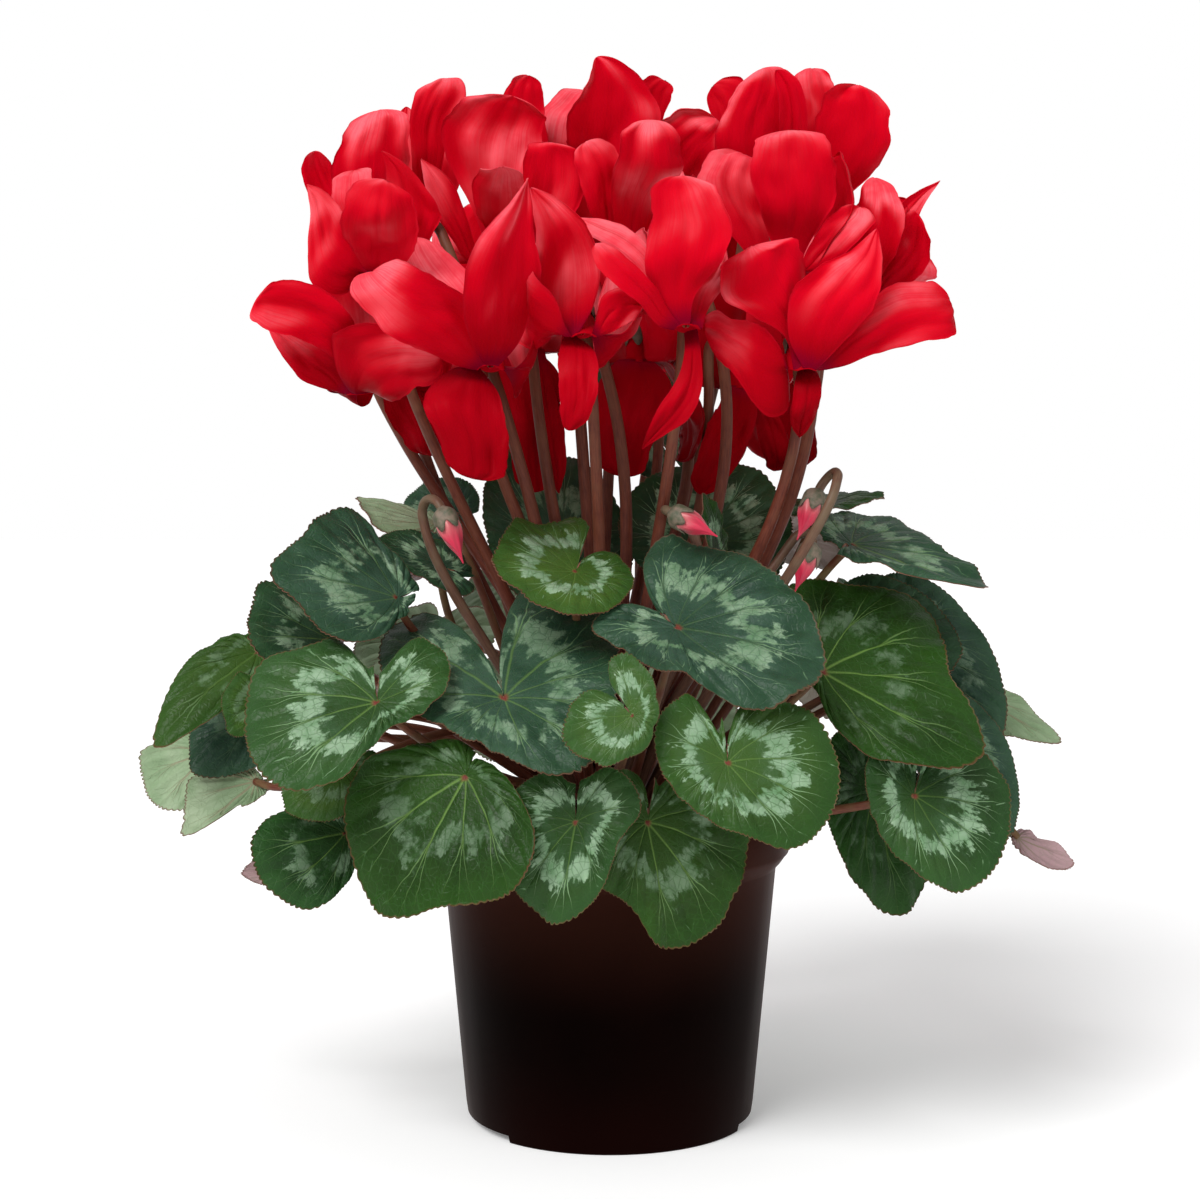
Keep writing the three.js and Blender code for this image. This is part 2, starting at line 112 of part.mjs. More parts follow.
  "36c":{A:[105.28,7.36,140.27],X:[0.6142,0.0429,-0.788],N:[0.7881,-0.0844,0.6097],L:30.24,S:[0.14,0.05,-0.04,0.06,0.03,6,5,1.035],R:[0.357,0.613,0.67,0.705,0.751,0.792,0.823,0.845,0.853,0.849,0.854,0.872,0.892,0.907,0.925,0.959,1,0.959,0.925,0.907,0.892,0.872,0.854,0.849,0.853,0.845,0.823,0.792,0.751,0.705,0.67,0.613,0.357],v:0,f:1}};
// petals: l and r are the two margins from mouth to tip, b the cupping
const FLOWERS = [{n:"01",M:[-39.36,-72,267.87],a:[0,-0.7557,-0.6549],q:[{l:[[-44.4,-72.6,268.6],[-54.5,-76.7,263.4],[-59.6,-80.6,255.8],[-55,-83.1,245.9],[-50.6,-84.1,237.8],[-46.2,-84.1,233.7],[-43.7,-84,231.8]],
  r:[[-43.2,-69.8,265.3],[-37.9,-76.5,259.3],[-35.3,-80.4,250.8],[-34,-83,241.6],[-36.5,-84.1,234.5],[-41.2,-84.1,232.5],[-43.7,-84,231.8]],
  b:-0.1},
  {l:[[-43.8,-73.7,269.8],[-50.3,-77.8,270.3],[-61,-82.5,275.1],[-72,-85.6,280.5],[-77.5,-85.9,288.8],[-78.7,-84.9,295.5],[-76.4,-84,297.9]],
  r:[[-40.1,-75.3,271.7],[-41,-79.3,279.1],[-46.7,-85.4,288.4],[-56.6,-88,295.1],[-66.5,-87.1,298],[-73.1,-85.1,298.1],[-76.4,-84,297.9]],
  b:0.18},
  {l:[[-40.8,-75.2,271.6],[-44,-86.4,276.9],[-46.6,-100.4,288.8],[-41.1,-102.7,305.7],[-32.6,-96.8,316.9],[-28.4,-90.8,323.9],[-26.4,-87.5,327.2]],
  r:[[-36.4,-74.7,271],[-29.9,-78.8,277.9],[-26.3,-84.8,290.7],[-24.9,-90,304],[-24.7,-90.6,315.8],[-25.8,-88.5,323.4],[-26.4,-87.5,327.2]],
  b:0.2},
  {l:[[-44.4,-72.7,268.7],[-48.8,-65.9,278.9],[-57.1,-59.2,288.2],[-66,-52.4,296.7],[-70.6,-47.3,305.6],[-68.7,-44.2,311],[-65.7,-42.8,312.8]],
  r:[[-41.6,-75,271.4],[-41.8,-63.9,281.7],[-45.3,-55.1,290.4],[-50.6,-48.2,299.6],[-57,-44.6,307],[-62.8,-43.4,310.9],[-65.7,-42.8,312.8]],
  b:0.12},
  {l:[[-35.5,-69.8,265.3],[-31.3,-64.5,260.7],[-32.1,-52.9,264.9],[-35.1,-38.4,276],[-37.2,-28.2,288.1],[-36.9,-24,297.9],[-34.1,-25.9,305.8]],
  r:[[-34.3,-72.6,268.6],[-27.1,-74.3,272.1],[-25.5,-68.3,282.8],[-27.5,-56.3,296.5],[-30.5,-43.7,306],[-32.7,-33.8,309.2],[-34.1,-25.9,305.8]],
  b:-0.14}]},
  {n:"02",M:[-8.98,-80,278.11],a:[0.0504,-0.7062,-0.7062],q:[{l:[[-13.9,-79.3,277.1],[-15.9,-83.7,272.1],[-16.2,-87.2,265.8],[-16,-89.6,258.9],[-15,-90.2,253.2],[-14.1,-90.1,249.4],[-13.7,-90,247.4]],
  r:[[-11.1,-76.8,274.7],[-5.8,-83.9,271.4],[-4.8,-87.4,264.4],[-5.6,-89.7,257],[-8.5,-90.4,251.4],[-11.9,-90.1,248.7],[-13.7,-90,247.4]],
  b:-0.15},
  {l:[[-13.7,-81.6,279.4],[-24.2,-79.1,284.7],[-26,-78.9,295.7],[-23.3,-79.6,306.7],[-23.8,-80.1,315.8],[-25.1,-80.3,321.9],[-25.6,-80.3,325]],
  r:[[-10.3,-83.5,281.6],[-6.4,-82.9,289.1],[-5.6,-84.3,301.5],[-9.5,-83.5,313.1],[-16.8,-82.2,320.1],[-22.6,-81,323.5],[-25.6,-80.3,325]],
  b:-0.28},
  {l:[[-6.2,-82.9,281.3],[-4.5,-80.9,285.4],[-1.6,-81.1,290.7],[3.7,-79.3,292.5],[8.2,-77.1,291],[10.1,-75,288.9],[11.1,-74,287.8]],
  r:[[-3.9,-80.2,278.6],[-1.4,-81.2,279.2],[3,-80.8,281.1],[7,-79,283.3],[9.6,-76.8,285.3],[10.6,-74.9,287],[11.1,-74,287.8]],
  b:0.15},
  {l:[[-12.7,-82.6,280.5],[-16.7,-86.8,284.8],[-20.4,-86.5,292.2],[-24.3,-82.4,300.3],[-28.1,-76.5,305.4],[-31.4,-70.9,306.5],[-35,-65.7,303.5]],
  r:[[-14,-79.7,277.4],[-20.8,-77.9,275.6],[-26.7,-72.6,277.8],[-31.7,-66.3,283.7],[-34.4,-62.5,290.9],[-35.4,-62.1,297.4],[-35,-65.7,303.5]],
  b:-0.14},
  {l:[[-6.2,-76.9,275.2],[-3.6,-70.4,270.2],[-3.7,-59.6,273.5],[-4.4,-47.1,282.9],[-3.8,-38.5,293.4],[-1.4,-35.1,301.9],[3.5,-37,308.5]],
  r:[[-3.9,-79.5,278],[4.4,-79.7,280.1],[8.8,-74.1,288.8],[10,-63.8,300.6],[8.7,-53,308.8],[6.5,-44.3,311.6],[3.5,-37,308.5]],
  b:-0.14}]},
  {n:"03",M:[24.12,-82,280.23],a:[0,-0.7557,-0.6549],q:[{l:[[23.8,-78.7,276.4],[23.7,-85.8,270.6],[21.2,-89,262.5],[16,-90.5,255],[12.5,-90.8,248.4],[10.6,-90.4,243.8],[9.9,-90,241.4]],
  r:[[28,-79.8,277.7],[28.6,-85.8,270.5],[28.4,-89,260.6],[24.1,-90.7,251.2],[17.1,-90.9,246.1],[12.3,-90.3,243],[9.9,-90,241.4]],
  b:-0.12},
  {l:[[20.8,-84.6,283.2],[16.6,-85.5,289.5],[12.2,-88.5,299.7],[13.1,-90.6,310.9],[16.3,-91.3,319.8],[19.6,-91.2,325.1],[21.8,-91.1,327.4]],
  r:[[25.2,-85.3,284],[26.4,-87.1,291.5],[34,-90.9,301.2],[36.9,-92.5,312.9],[30.3,-92.3,321],[24.6,-91.6,325.3],[21.8,-91.1,327.4]],
  b:0.16},
  {l:[[25.5,-85.2,284],[25.7,-80.9,287.8],[27.8,-78.3,294.6],[32.6,-74.1,299],[35.4,-70.2,303],[37,-67.4,305.9],[37.8,-66,307.3]],
  r:[[28.8,-83.3,281.7],[30.7,-81,286.9],[34.8,-78,292.3],[37.4,-74.1,298],[38,-70.2,302.8],[37.9,-67.4,305.8],[37.8,-66,307.3]],
  b:-0.2},
  {l:[[22.2,-85.1,283.8],[17.2,-87.1,288],[12.6,-92,293.4],[7.3,-95.6,298.8],[1.6,-97,302.8],[-2.6,-96.5,304.7],[-4.8,-96.2,305.6]],
  r:[[19.2,-82.9,281.3],[13.9,-88.3,283.1],[8.2,-94,287.8],[1.5,-97.4,293.1],[-3.6,-98,298.6],[-4.9,-97,303.2],[-4.8,-96.2,305.6]],
  b:-0.25},
  {l:[[22.2,-85.1,283.8],[18,-78,294],[13.3,-73.1,304.7],[5.6,-67.7,312.8],[-2.5,-62.7,316.7],[-8.2,-59,317.8],[-11.1,-57.2,318.3]],
  r:[[19.2,-82.9,281.3],[14.1,-79.1,291.8],[8.3,-74.4,301.1],[0.4,-68.5,307.6],[-6.5,-63,311.9],[-9.6,-59.1,316.1],[-11.1,-57.2,318.3]],
  b:-0.25}]},
  {n:"04",M:[62.17,-74,267.78],a:[0.1011,-0.6066,-0.7886],q:[{l:[[62.2,-69.9,264.7],[60.5,-74.3,261.6],[59.5,-74,256.4],[59.1,-71.5,251.5],[60.1,-69,248.2],[61.4,-67,246.4],[62,-66,245.5]],
  r:[[66.2,-71.3,266.2],[68.1,-74.9,262.1],[67.5,-74.1,256.6],[66,-71.8,251.6],[64.3,-69.2,248.2],[62.8,-67.1,246.4],[62,-66,245.5]],
  b:-0.2},
  {l:[[57.4,-75.7,268.5],[54.7,-75.3,274.7],[48.7,-75.9,279.3],[41.8,-75,282.6],[35.8,-72.8,283.2],[32.3,-71,282.3],[30.8,-70,281.3]],
  r:[[57.8,-72.1,265.8],[57.9,-75.7,254.9],[49.6,-76.1,254.8],[41.7,-74.9,264.6],[35.9,-72.9,272.8],[32.3,-71.1,278.4],[30.8,-70,281.3]],
  b:-0.1},
  {l:[[58.6,-77.1,269.7],[56.2,-77.1,279],[45.8,-79.4,283.9],[36.4,-79.8,290],[38.9,-80.3,299.3],[42.8,-80.6,304.4],[45.3,-80.8,306.5]],
  r:[[62.9,-78,270.9],[61.3,-71.5,280.5],[61,-71.5,291.9],[59.6,-74.2,302.9],[53.9,-77.3,307.8],[48.1,-79.6,307.1],[45.3,-80.8,306.5]],
  b:0.15},
  {l:[[61.4,-78.1,270.8],[57.7,-78.3,279.2],[59.8,-81.9,291.5],[67.7,-84,299.6],[77.2,-84.5,304.3],[82.4,-84.2,309.1],[85,-84,311.6]],
  r:[[65.7,-76.7,270.3],[71.4,-78.4,274.7],[79.4,-81.9,282.5],[84.7,-84,292.6],[85.8,-84.5,302],[85.3,-84.3,308.4],[85,-84,311.6]],
  b:0.2},
  {l:[[65.7,-76.7,270.3],[72.4,-74.9,278.1],[82.1,-74.4,287.6],[93.2,-72.3,294.6],[103.6,-69.6,294.6],[109.2,-67.2,290.8],[111.7,-66,288.4]],
  r:[[67.2,-73.3,267.9],[75.5,-74.9,270],[87.6,-74.4,273.6],[99.7,-72.3,276.7],[108.8,-69.6,279.2],[111.1,-67.3,285.2],[111.7,-66,288.4]],
  b:0.16}]},
  {n:"05",M:[-84.77,-38,261.15],a:[-0.2498,-0.4997,-0.8294],q:[{l:[[-84.5,-42.4,263.7],[-84.9,-43.6,274.9],[-88.7,-49,286.7],[-98.5,-53,295.1],[-108.8,-55,296.9],[-115.1,-55.7,293.5],[-117.9,-56,291.1]],
  r:[[-88.5,-40.4,263.7],[-90.1,-43.5,269.8],[-97,-48.9,276.1],[-106.5,-52.9,280.4],[-114.9,-55,283.3],[-118.2,-55.8,288],[-117.9,-56,291.1]],
  b:-0.12},
  {l:[[-89.7,-37.6,262.4],[-94.6,-40.9,262.6],[-103,-42.7,264.8],[-109,-42.8,271.5],[-113.2,-41.8,277.4],[-115.5,-40.7,281.6],[-116.4,-40,283.8]],
  r:[[-87.6,-41.2,263.9],[-90.5,-40.5,268.5],[-96.2,-42.5,274.3],[-103.6,-42.8,278.7],[-109.9,-41.9,281.8],[-114.2,-40.6,283.1],[-116.4,-40,283.8]],
  b:0.1},
  {l:[[-86.7,-41.8,264],[-91.3,-46.2,270.7],[-88.9,-53.5,280.6],[-76.3,-58.4,282.6],[-65.6,-60.7,279.3],[-59.5,-61.2,274.6],[-56.4,-61.5,272.3]],
  r:[[-82.4,-42.2,262.9],[-77.6,-43.6,259.1],[-71.3,-49.7,260.4],[-65.1,-55.2,263.6],[-59.6,-59,266.3],[-57.4,-60.7,270.2],[-56.4,-61.5,272.3]],
  b:0.16},
  {l:[[-89.4,-39,263.1],[-89,-33.6,274.1],[-92.4,-29.2,285.4],[-97,-26.5,296.9],[-99.3,-25.3,306.9],[-96.3,-25.2,312.6],[-94.1,-25.3,315.3]],
  r:[[-86.2,-42,264],[-79.6,-33.7,275.6],[-77,-29.6,288.8],[-77.3,-26.8,302.5],[-83.5,-25.6,311.7],[-90.3,-25.3,314.6],[-94.1,-25.3,315.3]],
  b:0.14},
  {l:[[-89.7,-37,262],[-96.4,-37,265.1],[-97.6,-34.4,274.6],[-94.8,-28.7,287.2],[-90.4,-21.8,296.4],[-86.5,-15.2,300.2],[-83.1,-8.4,298.5]],
  r:[[-87.5,-34,259.5],[-89.2,-27.3,257.1],[-86.3,-19.1,262.1],[-81.8,-11.1,272.7],[-79.1,-6.5,283.7],[-79.4,-5.6,292.3],[-83.1,-8.4,298.5]],
  b:-0.14}]},
  {n:"06",M:[-70.2,-8,265.64],a:[0.1005,0.2009,-0.9744],q:[{l:[[-73.1,-12.1,264.5],[-78.4,-11.4,261.3],[-77.7,-14,254.9],[-73.9,-15.2,248.1],[-69.6,-15.2,243.3],[-66,-14.4,241],[-64.2,-14,239.8]],
  r:[[-68.6,-12.8,264.8],[-62.4,-11.2,260.8],[-58.7,-13.9,255.4],[-57.5,-15.3,248.5],[-59.1,-15.3,242.6],[-62.4,-14.4,240.6],[-64.2,-14,239.8]],
  b:-0.12},
  {l:[[-75.2,-8.6,265],[-82.4,-11.5,264.1],[-88.8,-15.1,269],[-94.2,-17.3,278],[-97.4,-16.6,286.7],[-98.5,-13.1,292.8],[-98.1,-6.3,296.2]],
  r:[[-73.9,-4.5,266],[-78,2,267.3],[-82,6,274],[-86.4,7,283.8],[-90.5,4.6,291.8],[-94.2,0.2,296],[-98.1,-6.3,296.2]],
  b:-0.14},
  {l:[[-67.3,-12.2,265.1],[-61.8,-16.1,265.7],[-58.6,-17.5,274.5],[-58.5,-17.9,288.3],[-61.7,-18.6,300],[-66.7,-19.9,306.6],[-73.9,-22.2,308.3]],
  r:[[-71.7,-12.7,264.5],[-76.1,-17.9,263.8],[-81,-20.3,271.6],[-84.4,-21.2,285],[-84.2,-21.4,297],[-80.8,-21.7,304.8],[-73.9,-22.2,308.3]],
  b:-0.14},
  {l:[[-69.6,-3,266.7],[-69.4,6.3,268],[-68.6,14.7,274.2],[-66.2,21,283.6],[-62.2,23.6,292],[-57.1,23.4,297.4],[-50,20.9,299.2]],
  r:[[-65.8,-5.5,266.6],[-57.2,-1.7,267.6],[-49.6,2.2,273.5],[-44.3,6.5,282.8],[-43.1,11,291.3],[-45.1,15.4,297],[-50,20.9,299.2]],
  b:-0.14},
  {l:[[-65.4,-6.5,266.4],[-60.7,-2.8,267.7],[-56.7,-0.2,271.1],[-53.2,0,275.5],[-50.9,-2.7,278.8],[-49.6,-7.2,280.2],[-49.1,-14,279.5]],
  r:[[-66,-10.9,265.5],[-62.5,-15.8,264.9],[-59.5,-20.5,266.6],[-56.4,-23.4,270.3],[-53.7,-23.1,274.3],[-51.4,-20,277.4],[-49.1,-14,279.5]],
  b:-0.14}]},
  {n:"07",M:[-28.96,-10,276.13],a:[0,0.0995,-0.995],q:[{l:[[-33.8,-11.7,276],[-41.4,-12.4,267.9],[-38.6,-13.1,255.8],[-35.6,-11.7,243.7],[-32.7,-9.6,234.1],[-28.5,-7.8,229.1],[-26.3,-6.8,226.6]],
  r:[[-30.6,-14.8,275.6],[-19.7,-9,267.7],[-19.4,-8.2,256],[-20.6,-8.1,244.3],[-21.8,-7.6,234.8],[-24.5,-7.1,229.2],[-26.3,-6.8,226.6]],
  b:-0.15},
  {l:[[-27.5,-14.9,275.6],[-26,-15,264.3],[-25.4,-19.8,254],[-24.1,-23.5,243.3],[-22.2,-25.2,234.4],[-19.8,-25.9,228.8],[-18.1,-26,226.2]],
  r:[[-24.2,-11.9,275.9],[-20.7,-15,264.5],[-18,-19.9,254.6],[-15.8,-23.4,244.2],[-15.6,-25.3,235.1],[-17.3,-25.8,229.2],[-18.1,-26,226.2]],
  b:-0.15},
  {l:[[-34,-10.7,276.1],[-40.1,-14.1,276.3],[-44.3,-17.6,281.7],[-47.2,-19.4,290.6],[-48.2,-18.1,298.7],[-48.2,-14.2,304],[-47.4,-7.1,306.5]],
  r:[[-32.7,-6.5,276.5],[-35.6,-0.3,277.7],[-37.4,3.9,283.9],[-39.1,5.4,293.1],[-41.3,3.6,300.9],[-43.8,-0.5,305.4],[-47.4,-7.1,306.5]],
  b:-0.14},
  {l:[[-26,-5.9,276.5],[-24.3,0.7,277.9],[-23.6,5.1,284.2],[-22.5,6.8,293.6],[-20.3,5.2,301.6],[-17.2,1.6,306.3],[-12.6,-4.2,307.5]],
  r:[[-23.8,-9.8,276.2],[-17.3,-12,276.6],[-12.8,-14.8,282.2],[-10,-16.2,291.3],[-9.5,-14.8,299.6],[-10.4,-11,305],[-12.6,-4.2,307.5]],
  b:-0.14},
  {l:[[-31.7,-5.7,276.6],[-37.7,3.1,276.9],[-42.8,11.7,284.4],[-45.5,19.7,296.6],[-44.5,25.4,307.6],[-40.7,29.1,314.7],[-33.8,31.9,317.5]],
  r:[[-27.2,-5.2,276.6],[-23.2,4.6,277.1],[-20.2,14.1,284.7],[-19.4,22.4,296.8],[-21.8,27.8,307.8],[-26.4,30.6,314.9],[-33.8,31.9,317.5]],
  b:-0.14}]},
  {n:"08",M:[10.58,-14,272.43],a:[0.099,0.099,-0.9901],q:[{l:[[6.6,-17.1,271.7],[-1.5,-17.8,265.3],[-5.1,-21,256.2],[-5,-22.7,246.1],[-2.6,-22.9,238],[1.2,-22.3,234.1],[3.5,-22,232.4]],
  r:[[10.6,-19.1,271.9],[19.6,-17.9,265],[18.5,-21,254.7],[14,-22.8,245.1],[10.5,-22.8,237],[6.2,-22.4,233.6],[3.5,-22,232.4]],
  b:-0.15},
  {l:[[14.5,-10.8,273.1],[19.4,-5.9,269.4],[22.1,-1.4,262.2],[23.4,0.9,253.2],[23.8,0.3,245.4],[24,-2.6,240.1],[24.3,-8.1,237.7]],
  r:[[15.5,-15.1,272.8],[22,-16.7,268.6],[26.2,-18.4,260.9],[28.1,-18.6,251.7],[27.9,-16.8,244.1],[26.6,-13.4,239.3],[24.3,-8.1,237.7]],
  b:0.14},
  {l:[[6.2,-11.3,272.3],[-0.7,-9.8,272],[-7,-8.7,275.6],[-11.4,-6.7,282],[-12.2,-3.7,288.2],[-10.2,-0.1,292.5],[-5.2,5.1,294.7]],
  r:[[10,-8.9,272.9],[11.4,-2.1,273.9],[12,3.5,278.7],[10.5,7.3,285.6],[6.9,8.4,291.3],[1.8,7.6,294.4],[-5.2,5.1,294.7]],
  b:-0.14},
  {l:[[15.7,-14.4,272.9],[21.4,-12.1,274.5],[23.5,-9.6,281.6],[22.9,-8.9,292.1],[20.6,-10.9,300.8],[18,-15.1,305.7],[15.2,-22.1,306.9]],
  r:[[13.4,-18.2,272.3],[14.2,-24.6,272.5],[12.3,-29.2,278.5],[9.9,-31.4,288.5],[9.3,-30.6,297.7],[10.9,-27.5,303.8],[15.2,-22.1,306.9]],
  b:-0.14},
  {l:[[10.4,-8.9,272.9],[10.7,3.4,271.6],[12.2,16.8,275.1],[15.5,29,282.5],[20.5,36.6,290.2],[26.4,39.8,295.9],[33.9,39.4,298.3]],
  r:[[14.5,-10.8,273.1],[23.8,-2.7,272.4],[32.8,7.2,276.3],[39.3,18,283.8],[41.2,27,291.3],[39.4,33.8,296.6],[33.9,39.4,298.3]],
  b:-0.14}]},
  {n:"09",M:[46.76,-10,263.45],a:[0,0.0995,-0.995],q:[{l:[[42.9,-13.3,263.1],[38.9,-13.4,257.1],[34.7,-16,249.3],[31.8,-17.2,240.8],[30.3,-17.3,233.4],[31.3,-16.4,228.5],[31.7,-16,226.1]],
  r:[[47,-15.1,262.9],[51.2,-13.5,255.9],[48.7,-16.2,246.2],[44.5,-17.4,236.9],[38.8,-17.3,230.6],[34.1,-16.4,227.6],[31.7,-16,226.1]],
  b:-0.15},
  {l:[[51.3,-7.7,263.7],[50.5,-9.1,256.2],[52.6,-7.1,249.3],[54.2,-3.6,242.6],[56.8,0.1,238.4],[58.7,2.7,235.7],[59.7,4,234.4]],
  r:[[51.4,-12.2,263.2],[56.5,-9.4,257.9],[60.8,-7.2,251],[63.7,-4,243.6],[64,-0.4,237.6],[61.2,2.5,235.4],[59.7,4,234.4]],
  b:-0.15},
  {l:[[41.9,-8.3,263.6],[34.6,-8.2,264.5],[30,-10.2,272.6],[28.1,-12.1,285.5],[29.1,-11.9,296.9],[31.8,-9.2,304.1],[36,-3.6,307.3]],
  r:[[45.1,-5.2,263.9],[44.9,2.1,265.5],[46,5.8,274.2],[46.7,6.3,287.3],[45.3,4.2,298.5],[41.9,0.9,305.1],[36,-3.6,307.3]],
  b:-0.14},
  {l:[[50.8,-6.8,263.8],[55.4,-0.7,265.1],[57.9,3.2,273.6],[59.7,4.2,286.3],[61.4,1.8,297.1],[63.4,-2.8,303.5],[66.4,-9.7,305.3]],
  r:[[51.7,-11.2,263.3],[58.6,-14.8,263.7],[62.9,-18.8,271.4],[65.5,-21.3,283.8],[66.5,-20.4,294.9],[66.6,-16.7,302.1],[66.4,-9.7,305.3]],
  b:-0.14},
  {l:[[45.7,-5,263.9],[43.6,7.4,263.9],[42.7,20.1,271.6],[44,31.4,284.5],[47.8,38.5,296.4],[53.2,41.9,304.2],[60.9,42.5,307]],
  r:[[50.1,-6.1,263.8],[57.7,3.9,263.6],[64.8,14.6,271.1],[69.5,25.1,283.8],[70,33,295.8],[67.2,38.4,303.8],[60.9,42.5,307]],
  b:-0.14}]},
  {n:"10",M:[-76.48,-40,301.67],a:[-0.2005,-0.3008,-0.9324],q:[{l:[[-81.3,-38.5,302.2],[-89.9,-42.5,293.1],[-100,-43.8,298.6],[-101.5,-43.6,310.8],[-100.6,-42.3,321],[-102,-40.8,327.6],[-102.7,-40,330.9]],
  r:[[-80.4,-42.8,303.4],[-83.6,-42.1,309.9],[-88.8,-43.7,315.8],[-92.3,-43.5,323.3],[-97,-42.2,327.9],[-100.8,-40.7,329.9],[-102.7,-40,330.9]],
  b:0.14},
  {l:[[-77.3,-44.8,303.4],[-78.4,-43.9,304.6],[-83,-48.4,308.9],[-87.1,-53,313.5],[-87.2,-56,318.3],[-84.1,-57.5,320.5],[-82.2,-58.1,321.1]],
  r:[[-73.1,-43.8,302.2],[-70.1,-45.9,306.3],[-70.2,-52.4,310.7],[-72.3,-56.4,317],[-76.1,-58.3,321.5],[-80.1,-58.3,321.5],[-82.2,-58.1,321.1]],
  b:0.15},
  {l:[[-81.5,-39.7,302.6],[-83.1,-39.4,311.5],[-89.1,-38.4,318.7],[-94,-35.5,326.2],[-93,-32.2,333],[-89.7,-29.4,335.8],[-88.1,-28,337.2]],
  r:[[-79.6,-43.6,303.5],[-77.5,-39.6,313.1],[-79.2,-38.2,321.1],[-80.7,-35.1,328.8],[-83.1,-31.8,334.4],[-86.4,-29.3,336.2],[-88.1,-28,337.2]],
  b:0.15},
  {l:[[-74.2,-44.5,302.6],[-78.5,-40.4,312.6],[-77.3,-40.9,320.6],[-75.6,-41.8,328.7],[-75.1,-43,335.3],[-76.2,-44.2,339.5],[-76.8,-44.9,341.6]],
  r:[[-71.6,-41.2,301],[-63.5,-38.6,310.7],[-58.7,-38.2,320.3],[-63.6,-39.8,330.2],[-69.3,-42,337.1],[-74.1,-43.8,340.4],[-76.8,-44.9,341.6]],
  b:0.2},
  {l:[[-74.3,-44.5,302.7],[-71.8,-51.4,303.3],[-68.5,-57.9,307.6],[-66.3,-63.5,314.6],[-66.9,-67.1,321.4],[-69.8,-69,326.5],[-73.3,-69.9,328.9]],
  r:[[-78.7,-44.2,303.5],[-81.7,-50.7,305.2],[-84,-56.9,310.6],[-84.2,-62.3,318],[-81.6,-66.1,324.2],[-77.3,-68.5,327.9],[-73.3,-69.9,328.9]],
  b:-0.14}]},
  {n:"11",M:[-70.2,8,317.92],a:[-0.1505,-0.1004,-0.9835],q:[{l:[[-74.7,10.3,318.4],[-84.8,8.7,320.2],[-96,9.2,324.3],[-105.8,8.4,331.5],[-109.7,7,340.2],[-108.1,5.7,346.1],[-106,5,348.5]],
  r:[[-74.8,5.9,318.8],[-80.4,8.4,324.9],[-88.8,8.8,330.2],[-96.8,8.1,336.1],[-100.5,6.8,343.1],[-103.9,5.6,346.9],[-106,5,348.5]],
  b:0.1},
  {l:[[-75.1,6.9,318.8],[-84.2,1,323.6],[-95.1,-5.3,330.8],[-96.2,-8.9,344.1],[-90.2,-9.9,354.1],[-84,-9.7,358.9],[-80.5,-9.4,360.8]],
  r:[[-72.3,3.4,318.7],[-71.8,2.1,328.1],[-73.6,-3.5,337.4],[-72.1,-7.7,347.1],[-73.4,-9.3,355.4],[-77.8,-9.5,359.4],[-80.5,-9.4,360.8]],
  b:0.12},
  {l:[[-75.2,8.9,318.6],[-73.5,9.1,329.2],[-75.6,10.3,339.3],[-77.1,11.2,349.6],[-76.9,12.3,358.1],[-74.8,13,363.1],[-73.3,13.4,365.5]],
  r:[[-74,4.6,318.8],[-67.4,8,329.4],[-67.4,8.7,339.7],[-68.5,10.1,349.9],[-69.9,11.7,358.1],[-71.9,12.8,363.1],[-73.3,13.4,365.5]],
  b:0.1},
  {l:[[-71,3,318.6],[-70.2,5,332],[-70,2.6,345.3],[-70.8,1.8,358.7],[-67.7,2.4,368.8],[-61.6,3.4,372.6],[-58.2,4,373.9]],
  r:[[-66.8,4.2,317.8],[-63.5,5,331.5],[-60.3,2.6,344.3],[-57.4,1.8,357.5],[-52.2,2.4,366.8],[-54.7,3.4,372.6],[-58.2,4,373.9]],
  b:0.12},
  {l:[[-72,12.8,317.7],[-75.2,11.6,327.4],[-77.4,16.9,338.2],[-76.5,23.6,348.4],[-70.6,30.2,352.9],[-66.1,35,354.5],[-63.9,37.4,355.3]],
  r:[[-67.6,12.3,317.1],[-61.8,12.3,325.7],[-57.9,18.1,335.1],[-55.8,24.8,344.6],[-58.3,31,350.7],[-62,35.3,353.7],[-63.9,37.4,355.3]],
  b:0.12}]},
  {n:"12",M:[-35.46,-22,306.65],a:[0,-0.3011,-0.9536],q:[{l:[[-40.5,-21.1,306.4],[-48.3,-24.8,306.4],[-54.7,-27.1,314.8],[-60.3,-28.5,324],[-63.3,-29,332.4],[-64.4,-29,338.2],[-64.9,-29.1,341.1]],
  r:[[-39.3,-25.2,307.7],[-46.1,-24.4,311.5],[-49.7,-26.4,320.7],[-53.2,-28,330],[-58.2,-28.8,336.4],[-62.6,-29,339.7],[-64.9,-29.1,341.1]],
  b:0.15},
  {l:[[-38.8,-25.7,307.8],[-41.4,-24.8,316.7],[-45,-30.5,324.8],[-45.6,-38,332],[-41.5,-44.8,335.4],[-37.9,-49.4,335.6],[-36.2,-51.7,335.7]],
  r:[[-34.5,-26.8,308.2],[-32.8,-25.7,316.3],[-30.7,-31.4,324.3],[-29.3,-38.3,331.3],[-31.6,-44.9,334.5],[-34.6,-49.4,335.3],[-36.2,-51.7,335.7]],
  b:0.15},
  {l:[[-33.8,-26.6,308.1],[-33,-27,315.5],[-30,-32.1,324.2],[-28.9,-36.3,333.6],[-26.8,-38.5,341.5],[-22.5,-39.1,344.4],[-19.8,-39.3,345.1]],
  r:[[-30.6,-23.6,307.1],[-22.7,-28.6,311.9],[-14.7,-34.8,319.3],[-9.6,-38.5,330.5],[-10.6,-39.8,340.4],[-16.5,-39.5,343.7],[-19.8,-39.3,345.1]],
